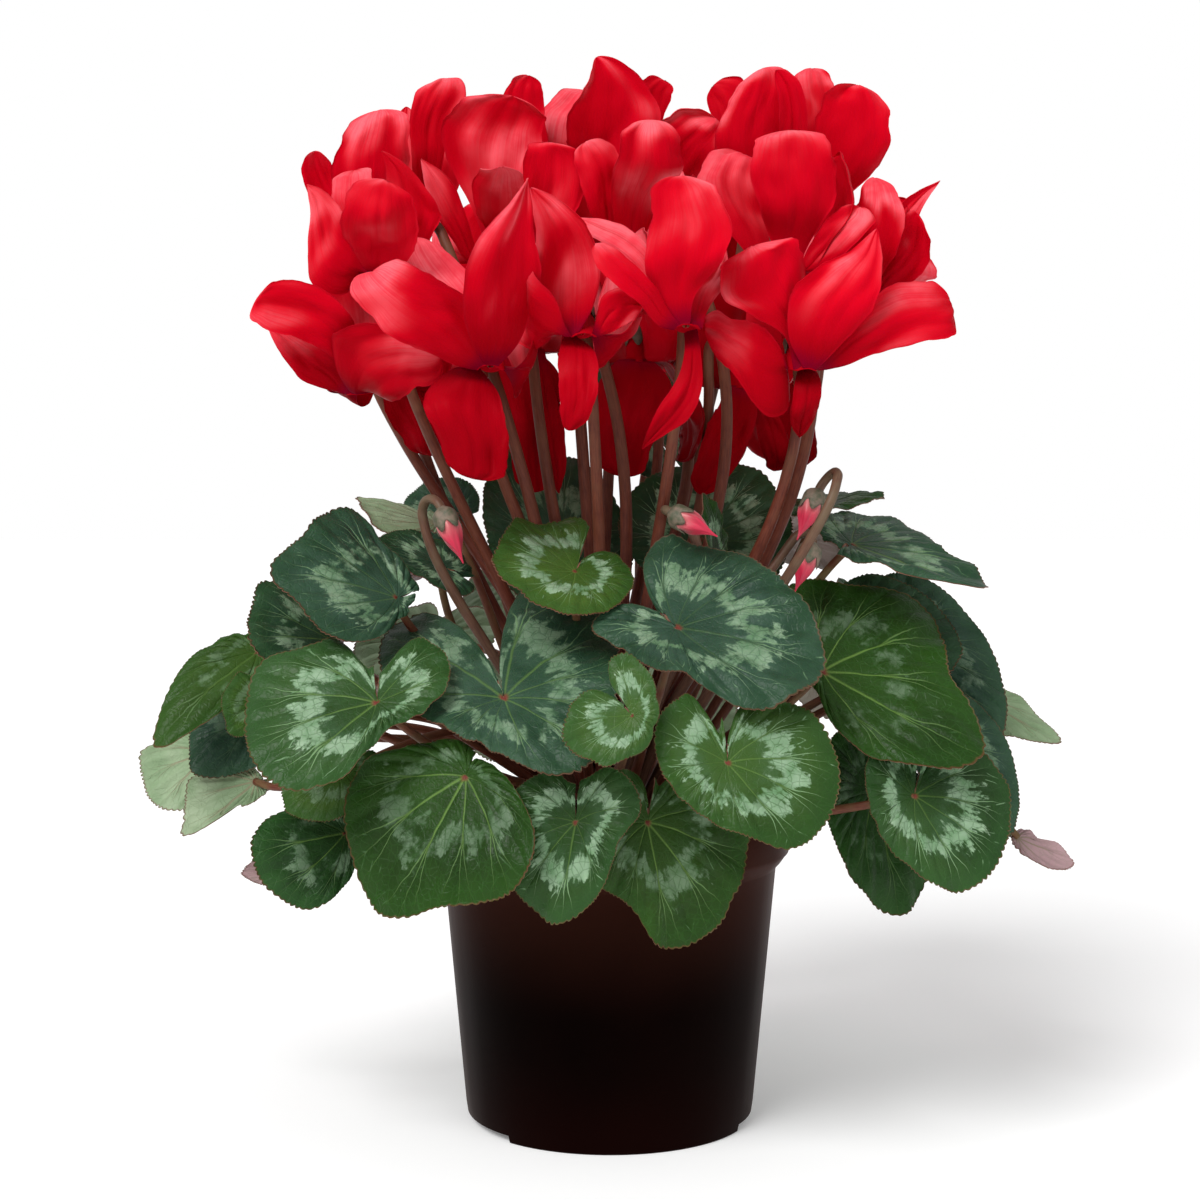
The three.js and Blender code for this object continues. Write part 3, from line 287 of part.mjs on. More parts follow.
  b:0.15},
  {l:[[-40.6,-21.7,306.5],[-45.2,-16.9,321.8],[-52.6,-13.4,336.8],[-56.3,-13.4,353.3],[-47.5,-15.6,362.1],[-38.5,-18,363.6],[-34,-19.2,364.1]],
  r:[[-38.9,-25.6,307.8],[-32,-20.6,320.6],[-30.1,-19,333.7],[-26.7,-17.8,346.4],[-26.7,-18,356.7],[-31.2,-18.8,361.9],[-34,-19.2,364.1]],
  b:0.12},
  {l:[[-39.1,-18.6,305.6],[-50.6,-16.7,306.7],[-59.6,-9.8,307.5],[-62.8,-2,316.1],[-62.9,4.8,323],[-62,9.6,327.5],[-61.1,12,329.5]],
  r:[[-40.5,-22.7,306.9],[-47.1,-16.2,312.3],[-53.7,-9.1,315.1],[-56.6,-1.3,320.6],[-58.7,5.3,325.2],[-60.3,9.8,328],[-61.1,12,329.5]],
  b:0.15}]},
  {n:"13",M:[-18.16,22,327.32],a:[0,0,-1],q:[{l:[[-23.1,20.8,327.3],[-26.2,17.9,338.3],[-31.7,14.3,349.1],[-36.5,12.1,360.7],[-37.2,11.5,370.2],[-32.5,11.8,374.9],[-29.5,12,376.6]],
  r:[[-20.3,17.3,327.3],[-19.9,18,338.6],[-22.3,14.3,348.9],[-24,12,359.8],[-24.7,11.5,369],[-27.6,11.8,374.2],[-29.5,12,376.6]],
  b:0.12},
  {l:[[-14.7,25.8,327.3],[-22.6,22.5,340.8],[-25.3,24.5,353.5],[-24.2,27.7,365.8],[-16.4,31.4,371.2],[-10.3,34.5,373.4],[-7.2,36,374.5]],
  r:[[-13.1,21.6,327.3],[-10.3,22.8,338.4],[-6.1,24.7,348.5],[-3.6,27.9,358.9],[-4.1,31.7,367.2],[-5.9,34.5,372.2],[-7.2,36,374.5]],
  b:0.12},
  {l:[[-15.4,17.7,327.3],[-15.7,16,339.7],[-13.8,10.3,351.2],[-12.3,5.8,363.4],[-6.2,3.4,371.7],[-4,2.4,377.7],[-4.6,2,381.3]],
  r:[[-13.1,21.5,327.3],[-1.3,16,336.6],[10.8,10.2,347.7],[16.3,5.7,363.1],[7.9,3.4,374.4],[-0.1,2.4,379.4],[-4.6,2,381.3]],
  b:0.14},
  {l:[[-15.7,26.5,327.3],[-13.8,33.3,327.2],[-11.6,39.6,330.8],[-8.3,43.9,336.8],[-4.3,44.9,342.3],[0.1,43.2,345.8],[5.3,38.8,346.9]],
  r:[[-13.1,22.9,327.3],[-6,22.4,327.2],[0.6,22.5,330.8],[5.8,24.2,336.8],[8,27.7,342.3],[7.8,32.4,345.8],[5.3,38.8,346.9]],
  b:-0.14},
  {l:[[-23.1,23.4,327.3],[-31.7,25.2,327.3],[-39.7,27.3,333.7],[-45.9,30.6,344.3],[-48.4,34.9,353.8],[-47.9,39.8,359.9],[-44.9,46,362]],
  r:[[-20.1,26.7,327.3],[-22.8,35.2,327.3],[-25.7,42.9,333.7],[-29.7,48.6,344.3],[-34.3,50.7,353.8],[-39.1,49.7,359.9],[-44.9,46,362]],
  b:-0.14}]},
  {n:"14",M:[4.04,-32,309.15],a:[0,-0.2019,-0.9794],q:[{l:[[-0.6,-34.1,309.6],[-2.9,-35.5,316.3],[-6.8,-38.9,323.2],[-9,-40.7,331.5],[-10.2,-40.9,338.5],[-9,-40.3,343.1],[-8.2,-40,345.3]],
  r:[[2.9,-36.9,310.2],[2.2,-35.8,319.1],[3.8,-39,328],[4.1,-40.7,337.4],[-0.7,-40.9,343.2],[-5.7,-40.3,344.8],[-8.2,-40,345.3]],
  b:0.15},
  {l:[[3.7,-37,310.2],[2.1,-39.7,318],[1.4,-47,326.5],[2.2,-51.7,336.6],[6.3,-53.2,344.6],[10.7,-53,348.8],[13.1,-52.8,350.7]],
  r:[[7.8,-35.4,309.8],[12.4,-36.9,318.3],[16.9,-42.2,327.9],[23.6,-47.4,335.9],[19.5,-50.6,344],[15.6,-52.2,348.8],[13.1,-52.8,350.7]],
  b:0.14},
  {l:[[-1.1,-31.8,309.1],[-7.3,-32.8,310],[-11.2,-33.1,317.4],[-13.1,-31.5,328.6],[-13,-28,337.8],[-11.9,-23.3,343],[-10,-17.1,344]],
  r:[[1,-27.9,308.3],[-1.5,-22.1,307.8],[-2.2,-16.5,314],[-2.6,-12.3,324.6],[-3.9,-11.3,334.4],[-6.2,-12.8,340.9],[-10,-17.1,344]],
  b:-0.14},
  {l:[[8.8,-30.1,308.8],[14.2,-26.5,308.3],[18.6,-22.3,312.6],[22.5,-19.5,320.2],[25.1,-19.6,327.5],[26.7,-22.3,332.6],[27.8,-28,335.3]],
  r:[[8.5,-34.5,309.7],[13.4,-38.5,310.8],[17.5,-41.1,316.5],[21.2,-41.2,324.7],[24,-38.5,331.4],[26,-34.2,335],[27.8,-28,335.3]],
  b:-0.14},
  {l:[[3.1,-27.1,308.1],[0.5,-19.6,307.2],[-1.8,-12.5,313.8],[-2.4,-6.1,325.2],[-0.2,-2,335.6],[4,-0.1,342.2],[10.7,0,344.7]],
  r:[[7.4,-28.2,308.4],[13.5,-23.1,307.9],[18.4,-18,314.9],[21,-12.4,326.5],[20.1,-7.5,336.8],[16.8,-3.6,342.9],[10.7,0,344.7]],
  b:-0.14}]},
  {n:"15",M:[14.35,34,329.38],a:[0,0.0995,-0.995],q:[{l:[[19.4,33.3,329.3],[12.1,30.5,342.5],[10.9,29.3,354.7],[10.4,31,367.2],[11.4,33.6,377.1],[17.1,35.8,379.7],[20.3,37.1,379.1]],
  r:[[18,37.5,329.7],[18.2,35.5,341.3],[19.5,36.7,351.9],[18.9,36.4,362.8],[21.4,36.6,371.2],[21.8,36.9,376.6],[20.3,37.1,379.1]],
  b:0.1},
  {l:[[15.2,29,328.9],[16,24.8,338.8],[16.6,15.7,347.7],[18.5,9.3,358.4],[27.8,7.5,361.3],[34.8,8.3,360.7],[38.2,8.7,360.5]],
  r:[[18.8,31.5,329.1],[23.2,26.7,335.1],[28.9,18.7,338.9],[34.8,12,344.5],[37.8,9,352],[38.2,8.7,357.6],[38.2,8.7,360.5]],
  b:0.12},
  {l:[[10.4,37.3,329.7],[3.3,42.2,330.4],[-2.9,45.9,338.2],[-6.8,49.4,350.4],[-7,52.6,361.3],[-4.5,55.8,368.3],[0.8,59.9,371.1]],
  r:[[14.5,39.1,329.9],[15.5,47.7,331],[16.2,54.5,339],[15.3,59.3,351.4],[12.2,61.3,362.2],[7.6,61.3,368.8],[0.8,59.9,371.1]],
  b:-0.14},
  {l:[[15.1,39,329.9],[15.3,47.5,330.3],[16.3,55.2,335.4],[19,61.4,343.6],[23.2,64.1,350.9],[28.3,64.2,355.5],[34.9,62,356.8]],
  r:[[18.8,36.6,329.6],[26.5,40,329.5],[33.7,43.6,334.3],[39.1,47.9,342.2],[40.7,52.4,349.7],[39.3,56.8,354.7],[34.9,62,356.8]],
  b:-0.14},
  {l:[[19.3,32.7,329.2],[24.1,32.9,329.2],[28.6,32.9,330.8],[31.9,31.6,333.4],[32.9,28.7,335.5],[32.1,25,336.7],[29.4,20,336.5]],
  r:[[16.3,29.3,328.9],[16.7,24.5,328.4],[17.1,19.9,329.5],[18.6,16.5,331.9],[21.3,15.6,334.2],[24.8,16.7,335.9],[29.4,20,336.5]],
  b:-0.14}]},
  {n:"16",M:[57.76,-38,301.84],a:[0.0501,-0.3008,-0.9524],q:[{l:[[57.5,-42.9,303.4],[54.7,-42.3,313.3],[51,-45.9,323.5],[47.7,-48,334.2],[51.8,-48.5,342.4],[56.7,-48.2,346.3],[59.4,-48,347.8]],
  r:[[61.6,-41.1,303],[66.4,-42.4,312.6],[72.8,-46,322.6],[73.5,-48,334.6],[68.3,-48.5,343.3],[62.6,-48.2,346.6],[59.4,-48,347.8]],
  b:0.15},
  {l:[[60.7,-42,303.2],[64.3,-42.1,305],[68.5,-45.2,311.1],[72.6,-46.5,317.5],[77.9,-46.1,321.2],[82,-45,322.4],[84.1,-44.5,323]],
  r:[[62.9,-38.2,302.2],[67.9,-43,301.3],[75.4,-46.6,305.4],[82.4,-47.7,311.4],[87.4,-46.8,317.2],[85.5,-45.3,321.1],[84.1,-44.5,323]],
  b:0.12},
  {l:[[52.7,-37.4,301.4],[45.2,-37.2,311.7],[35.3,-34.8,320.9],[30.1,-30.9,332.4],[36.2,-26.8,340.5],[42.4,-23.6,343.1],[45.7,-22,343.8]],
  r:[[54.1,-41.4,302.7],[54.3,-37,313.8],[52.1,-34.4,322.9],[50.7,-30.5,331.6],[49.2,-26.5,338.3],[46.9,-23.5,341.9],[45.7,-22,343.8]],
  b:0.12},
  {l:[[61.9,-35.1,301.2],[67,-29.2,300.3],[69.7,-22.3,306.7],[71.2,-16.5,318.3],[72.3,-14.5,329.3],[73.8,-16.2,337.1],[76.2,-22,341.7]],
  r:[[62.6,-39.4,302.5],[69.3,-42.9,304.8],[73.2,-43.7,313.7],[75.2,-41.1,326.3],[75.9,-36,336.3],[76.1,-29.7,341.5],[76.2,-22,341.7]],
  b:-0.14},
  {l:[[57.2,-33.2,300.3],[55.5,-24.8,297.8],[53.8,-15.2,302.5],[53.7,-5.6,312.1],[56.1,1,321.5],[60.3,4.1,327.8],[67,4.5,330.6]],
  r:[[61.4,-34.5,300.9],[68.1,-28.9,299.7],[73.6,-21.5,305.5],[76.6,-12.9,315.6],[75.9,-5.4,324.5],[72.8,0.1,329.7],[67,4.5,330.6]],
  b:-0.14}]},
  {n:"17",M:[65.28,12,329.81],a:[0.0499,0,-0.9988],q:[{l:[[60.2,11.4,329.6],[50.4,7,336.5],[39.6,2.4,345.1],[39.7,-0.7,358],[46.5,-2,367.8],[51.8,-2.2,373.8],[54.6,-2.2,376.6]],
  r:[[62.6,7.6,329.7],[63.9,7.1,340.8],[62.3,2.6,350.9],[61.5,-0.6,361.6],[60.5,-2,370.4],[57.4,-2.3,375.3],[54.6,-2.2,376.6]],
  b:0.12},
  {l:[[63.4,7.2,329.7],[62.4,5.7,338.9],[61.1,-0.8,347.7],[60.1,-6.4,357.2],[59.4,-9.7,365.6],[58.6,-11.3,371.4],[58.1,-12,374.2]],
  r:[[67.9,7.6,329.9],[68.2,5.4,340.1],[68.8,-1.1,350.2],[68.6,-6.6,361],[66,-9.9,369.7],[61.2,-11.4,373.4],[58.1,-12,374.2]],
  b:0.12},
  {l:[[60.2,11.9,329.6],[54,16.2,338.6],[45.7,20.7,346],[40.8,23.8,356.5],[38,25.7,365.7],[37.3,26.7,372],[38,27,375.2]],
  r:[[62,16,329.6],[57.8,15.9,343.6],[52.9,19.9,355.2],[50.1,23.3,367.7],[48.2,25.4,376.4],[41.4,26.6,376.5],[38,27,375.2]],
  b:-0.1},
  {l:[[69.6,14.7,330],[66.8,12.6,342.1],[68.3,14.7,353.8],[68.8,18,365.3],[68.1,21.7,374.4],[71.6,24.5,379],[73.5,26,381.2]],
  r:[[70.1,10.3,330.1],[74.3,12.6,341.6],[79.3,14.5,353.2],[81.8,17.8,365.1],[79.9,21.5,374.7],[76.2,24.4,379.6],[73.5,26,381.2]],
  b:0.12},
  {l:[[68.5,8.1,330],[71.1,7,337.4],[73.6,2.6,347.7],[74.5,-0.5,358.8],[79.9,-1.8,365.7],[85.3,-2,369.1],[88,-2,370.7]],
  r:[[70.4,12.1,330.1],[80.8,7,331.8],[91.2,2.5,339.6],[98.1,-0.6,351.3],[95.3,-1.8,362],[90.5,-2,367.8],[88,-2,370.7]],
  b:0.14}]},
  {n:"18",M:[85.7,-8,295.25],a:[0.2009,-0.1005,-0.9744],q:[{l:[[85.8,-13.1,295.8],[83.7,-13.5,305],[84.3,-18.5,313.7],[86.4,-20.3,323.6],[89,-17.1,330.9],[91.3,-14,334.9],[92.6,-12.4,336.8]],
  r:[[89.7,-11,296.4],[93.3,-17.9,302.5],[98.4,-26.4,310.3],[100.7,-25.9,322.8],[97.8,-20.3,331.4],[94.4,-15.1,335.1],[92.6,-12.4,336.8]],
  b:0.14},
  {l:[[89.9,-10.7,296.4],[91.9,-7.9,307],[96.5,-7.5,317.5],[102.2,-6.1,327.2],[109.4,-4.1,332.9],[114.7,-2.5,335.7],[117.4,-1.7,337.1]],
  r:[[90.4,-6.2,296],[97,-8.5,304.3],[103.3,-8.4,313.1],[108,-6.7,322.8],[112.3,-4.5,330.3],[115.7,-2.6,334.8],[117.4,-1.7,337.1]],
  b:0.1},
  {l:[[88.9,-11.9,296.3],[92.7,-11.1,303.4],[96.6,-14.6,309.3],[100.4,-17.8,315.4],[103.6,-20,320.4],[106.2,-21.1,322.9],[107.9,-21.5,321.9]],
  r:[[90.7,-7.8,296.3],[97.5,-13.2,298],[105,-18,300.4],[110,-20.7,307.2],[110,-21.6,314.6],[108.6,-21.6,319.4],[107.9,-21.5,321.9]],
  b:0.14},
  {l:[[88.2,-3.5,295.3],[89.8,3.2,295.6],[89,8.9,302],[87.6,12.6,312.7],[87.7,13.1,322.5],[89.5,11.2,329.2],[93.8,6.8,332.8]],
  r:[[90.7,-7.1,296.2],[97.3,-7.6,298.3],[100.6,-8,306.2],[101.1,-7,317.5],[99.4,-3.9,326.7],[96.9,0.5,331.8],[93.8,6.8,332.8]],
  b:-0.14},
  {l:[[85.7,-2.9,294.7],[87.3,9.2,291.4],[89.3,23.5,293.6],[92.4,37.5,300.5],[96.6,46.9,308.6],[101.5,51.3,315.1],[108.2,51.4,318.6]],
  r:[[89.7,-4.8,295.7],[99.1,3.5,294.4],[107.7,14.7,298.3],[113.7,27.3,306],[115.1,38,313.3],[113.2,45.7,318.1],[108.2,51.4,318.6]],
  b:-0.14}]},
  {n:"19",M:[-61.34,62,288.14],a:[-0.2004,0.5011,-0.8419],q:[{l:[[-65.1,58.7,287.1],[-72.1,52.3,284],[-78.9,43.6,286.1],[-85.3,35,292.5],[-90.4,30.2,300.4],[-94.3,29.7,307.3],[-97.9,33.8,312.8]],
  r:[[-66.3,62.3,289.5],[-75.8,64,291.8],[-84.7,61.9,298.3],[-92.1,56.1,306.7],[-96.3,48.6,312.7],[-97.9,41.2,315],[-97.9,33.8,312.8]],
  b:-0.14},
  {l:[[-66.1,62.9,289.8],[-76.3,64,292.4],[-84.5,62.8,301.1],[-89.9,60.9,313.9],[-91.1,60.6,325.7],[-89.4,62.6,334],[-85.3,68,338.9]],
  r:[[-63,66,290.9],[-65.5,74.8,296.2],[-67.7,79.6,307.1],[-70.5,80.2,320.8],[-74.2,77.4,331.7],[-78.8,73.2,337.8],[-85.3,68,338.9]],
  b:-0.14},
  {l:[[-62.5,66.1,290.9],[-65.9,77.3,296.2],[-66.5,86.9,307.2],[-63.7,94,321.3],[-58.2,97.7,332.8],[-51.4,99.2,339.5],[-42.9,100,340.5]],
  r:[[-58.2,65.8,289.6],[-50.9,76,291.8],[-43,84.9,300.4],[-36.7,91.6,313.5],[-34.6,95.6,326],[-36.5,97.9,335.2],[-42.9,100,340.5]],
  b:-0.14},
  {l:[[-57.7,65.4,289.3],[-54.1,71.2,292.1],[-49.8,74.2,297.6],[-44.6,73.9,304.1],[-39.6,70.8,308.2],[-35.4,66.4,309.1],[-31.4,60.7,306.2]],
  r:[[-56.4,61.9,286.9],[-49.9,59.7,284.2],[-43.2,56.2,285.4],[-36.9,53.2,290],[-32.9,52.7,295.9],[-31.2,55,301.3],[-31.4,60.7,306.2]],
  b:-0.14},
  {l:[[-61,57.6,285.5],[-60.3,54.6,276.7],[-59.6,56.9,266.4],[-60,62.9,256.7],[-62.4,69.8,250.5],[-66.2,75.5,248.1],[-71.9,79.5,249.6]],
  r:[[-65.1,58.7,287.1],[-72.5,57.7,281.5],[-78.6,61.7,273.8],[-82,68.5,265.3],[-81.5,74.7,258],[-78.2,78.6,252.8],[-71.9,79.5,249.6]],
  b:0.14}]},
  {n:"20",M:[4.37,80,297.03],a:[0,0.6,-0.8],q:[{l:[[-0.7,80.4,297.3],[-9.6,79.3,296.8],[-17.3,75,301.6],[-23.1,69.9,310.6],[-25.7,67.3,320.2],[-25.6,68,328],[-23.3,72.9,334.2]],
  r:[[1.6,83.4,299.6],[-1.5,90,304.8],[-4.6,91.8,314.2],[-8.6,89.3,325.2],[-13,84.2,332.9],[-17.6,78.6,336],[-23.3,72.9,334.2]],
  b:-0.14},
  {l:[[1.8,83.5,299.7],[-5.3,95.9,304.4],[-11.1,108,314.4],[-14.3,118.1,328.1],[-13.3,124.4,340.5],[-9,127.8,349.1],[-0.9,130.2,353.1]],
  r:[[6.3,83.8,299.9],[11.5,96.9,305.1],[15,109.5,315.6],[15.9,119.8,329.4],[13,125.9,341.6],[7.6,128.7,349.9],[-0.9,130.2,353.1]],
  b:-0.14},
  {l:[[6.7,83.6,299.8],[9.8,91.2,304.9],[13.8,95.2,313.7],[19.2,95.3,324.1],[25,92.3,331.4],[30.7,88.2,334.5],[37.1,83.2,332.9]],
  r:[[9.4,80.7,297.6],[19.1,81.1,297.3],[28.3,79.4,301.9],[36,77.1,310.4],[39.6,76.5,319.5],[39.9,78.2,327],[37.1,83.2,332.9]],
  b:-0.14},
  {l:[[1.1,76.9,294.7],[-1.7,73.7,288.7],[-4.1,72.3,282],[-7.2,72.6,276.4],[-10.8,74.8,273.7],[-14.4,78.3,273.5],[-17.7,83.9,275.7]],
  r:[[-0.7,80.2,297.1],[-7.1,83.6,296.1],[-12.5,87.7,293.5],[-17,90.3,289.7],[-19.3,90.2,285.3],[-19.7,88,280.8],[-17.7,83.9,275.7]],
  b:-0.14},
  {l:[[9.3,81.2,297.9],[17.8,87.8,294.2],[23.1,97.1,286.8],[25.3,106.2,276.7],[25.2,111.8,266.8],[23.7,113.2,258.6],[21.4,110,252.4]],
  r:[[8.5,77.6,295.3],[15.6,77.2,286.3],[19.6,80.5,274.4],[21.4,87.1,262.4],[21.7,95.1,254.3],[21.6,102.7,250.7],[21.4,110,252.4]],
  b:0.14}]},
  {n:"21",M:[65.75,60,288.02],a:[0.2519,0.5038,-0.8263],q:[{l:[[63.8,64.3,290],[58.5,70.1,292.9],[52.3,69.8,301.1],[47.2,65.6,313],[46.2,60.7,323.7],[48.8,57.3,331.1],[55.7,55.9,335.5]],
  r:[[68.1,63.5,290.9],[73.6,67.4,295.9],[76,65.6,305.7],[74.6,60.7,318.3],[70,56.4,328.4],[63.8,54.7,334],[55.7,55.9,335.5]],
  b:-0.14},
  {l:[[66.7,64.2,290.8],[69.2,75.4,295.6],[72.6,84.9,304.9],[77.3,91.1,317.1],[82.7,92.7,327.4],[88.5,91.2,333.9],[95.9,87.5,335.8]],
  r:[[70.1,61.4,290.2],[81.3,65.8,293.4],[91.7,69.8,301.6],[99.2,73.7,313.2],[101.8,77.6,324],[100.6,81.7,331.7],[95.9,87.5,335.8]],
  b:-0.14},
  {l:[[70.3,61,290],[79.7,64.9,292.2],[89.9,66.7,295.9],[99.7,65.3,300.3],[106.5,61,303.2],[110.6,55.3,303.8],[112.6,48.5,300.9]],
  r:[[70.1,57.3,287.7],[78.8,52.7,284.5],[88.5,47.5,283.8],[98,43.2,286.3],[105.1,41.7,291],[109.7,43.2,296.1],[112.6,48.5,300.9]],
  b:-0.14},
  {l:[[61.6,63,288.6],[53.8,69.4,287.3],[45.5,76.2,288.9],[38.5,82.8,293.5],[35.3,88,299.4],[35.9,92.1,305.1],[40.4,96.1,309.7]],
  r:[[65.4,64.4,290.6],[66,74,293.8],[64.6,83.4,299.1],[60.4,91.1,305.2],[54.5,95.2,309.7],[47.9,96.6,311.5],[40.4,96.1,309.7]],
  b:-0.14},
  {l:[[65.3,55.7,285.3],[67,51.7,275.4],[70.9,52.3,263.8],[74.7,57,252.2],[76.3,63.5,243.8],[75.4,69.9,239],[71.3,75.9,238]],
  r:[[61.6,58.2,285.6],[55.9,59.1,276.5],[53.4,63.9,265.5],[54.6,70.3,254.3],[58.8,75.1,245.5],[64.4,77.2,240.1],[71.3,75.9,238]],
  b:0.14}]}];
const BUDS = [{id:"B01",n:"01",name:"bud_01",C:[20.39,-62,220.4],a:[0.7856,-0.4703,-0.4021],len:10},
  {id:"B02",n:"02",name:"bud_02",C:[70.16,-48,227.17],a:[-0.4034,-0.321,-0.8569],len:10},
  {id:"B03",n:"03",name:"bud_03",C:[68.62,-44,209.11],a:[-0.3497,-0.3193,-0.8808],len:9},
  {id:"B04",n:"04",name:"bud_04",C:[-56.35,-56,221.26],a:[0.3737,-0.2405,-0.8958],len:11}];
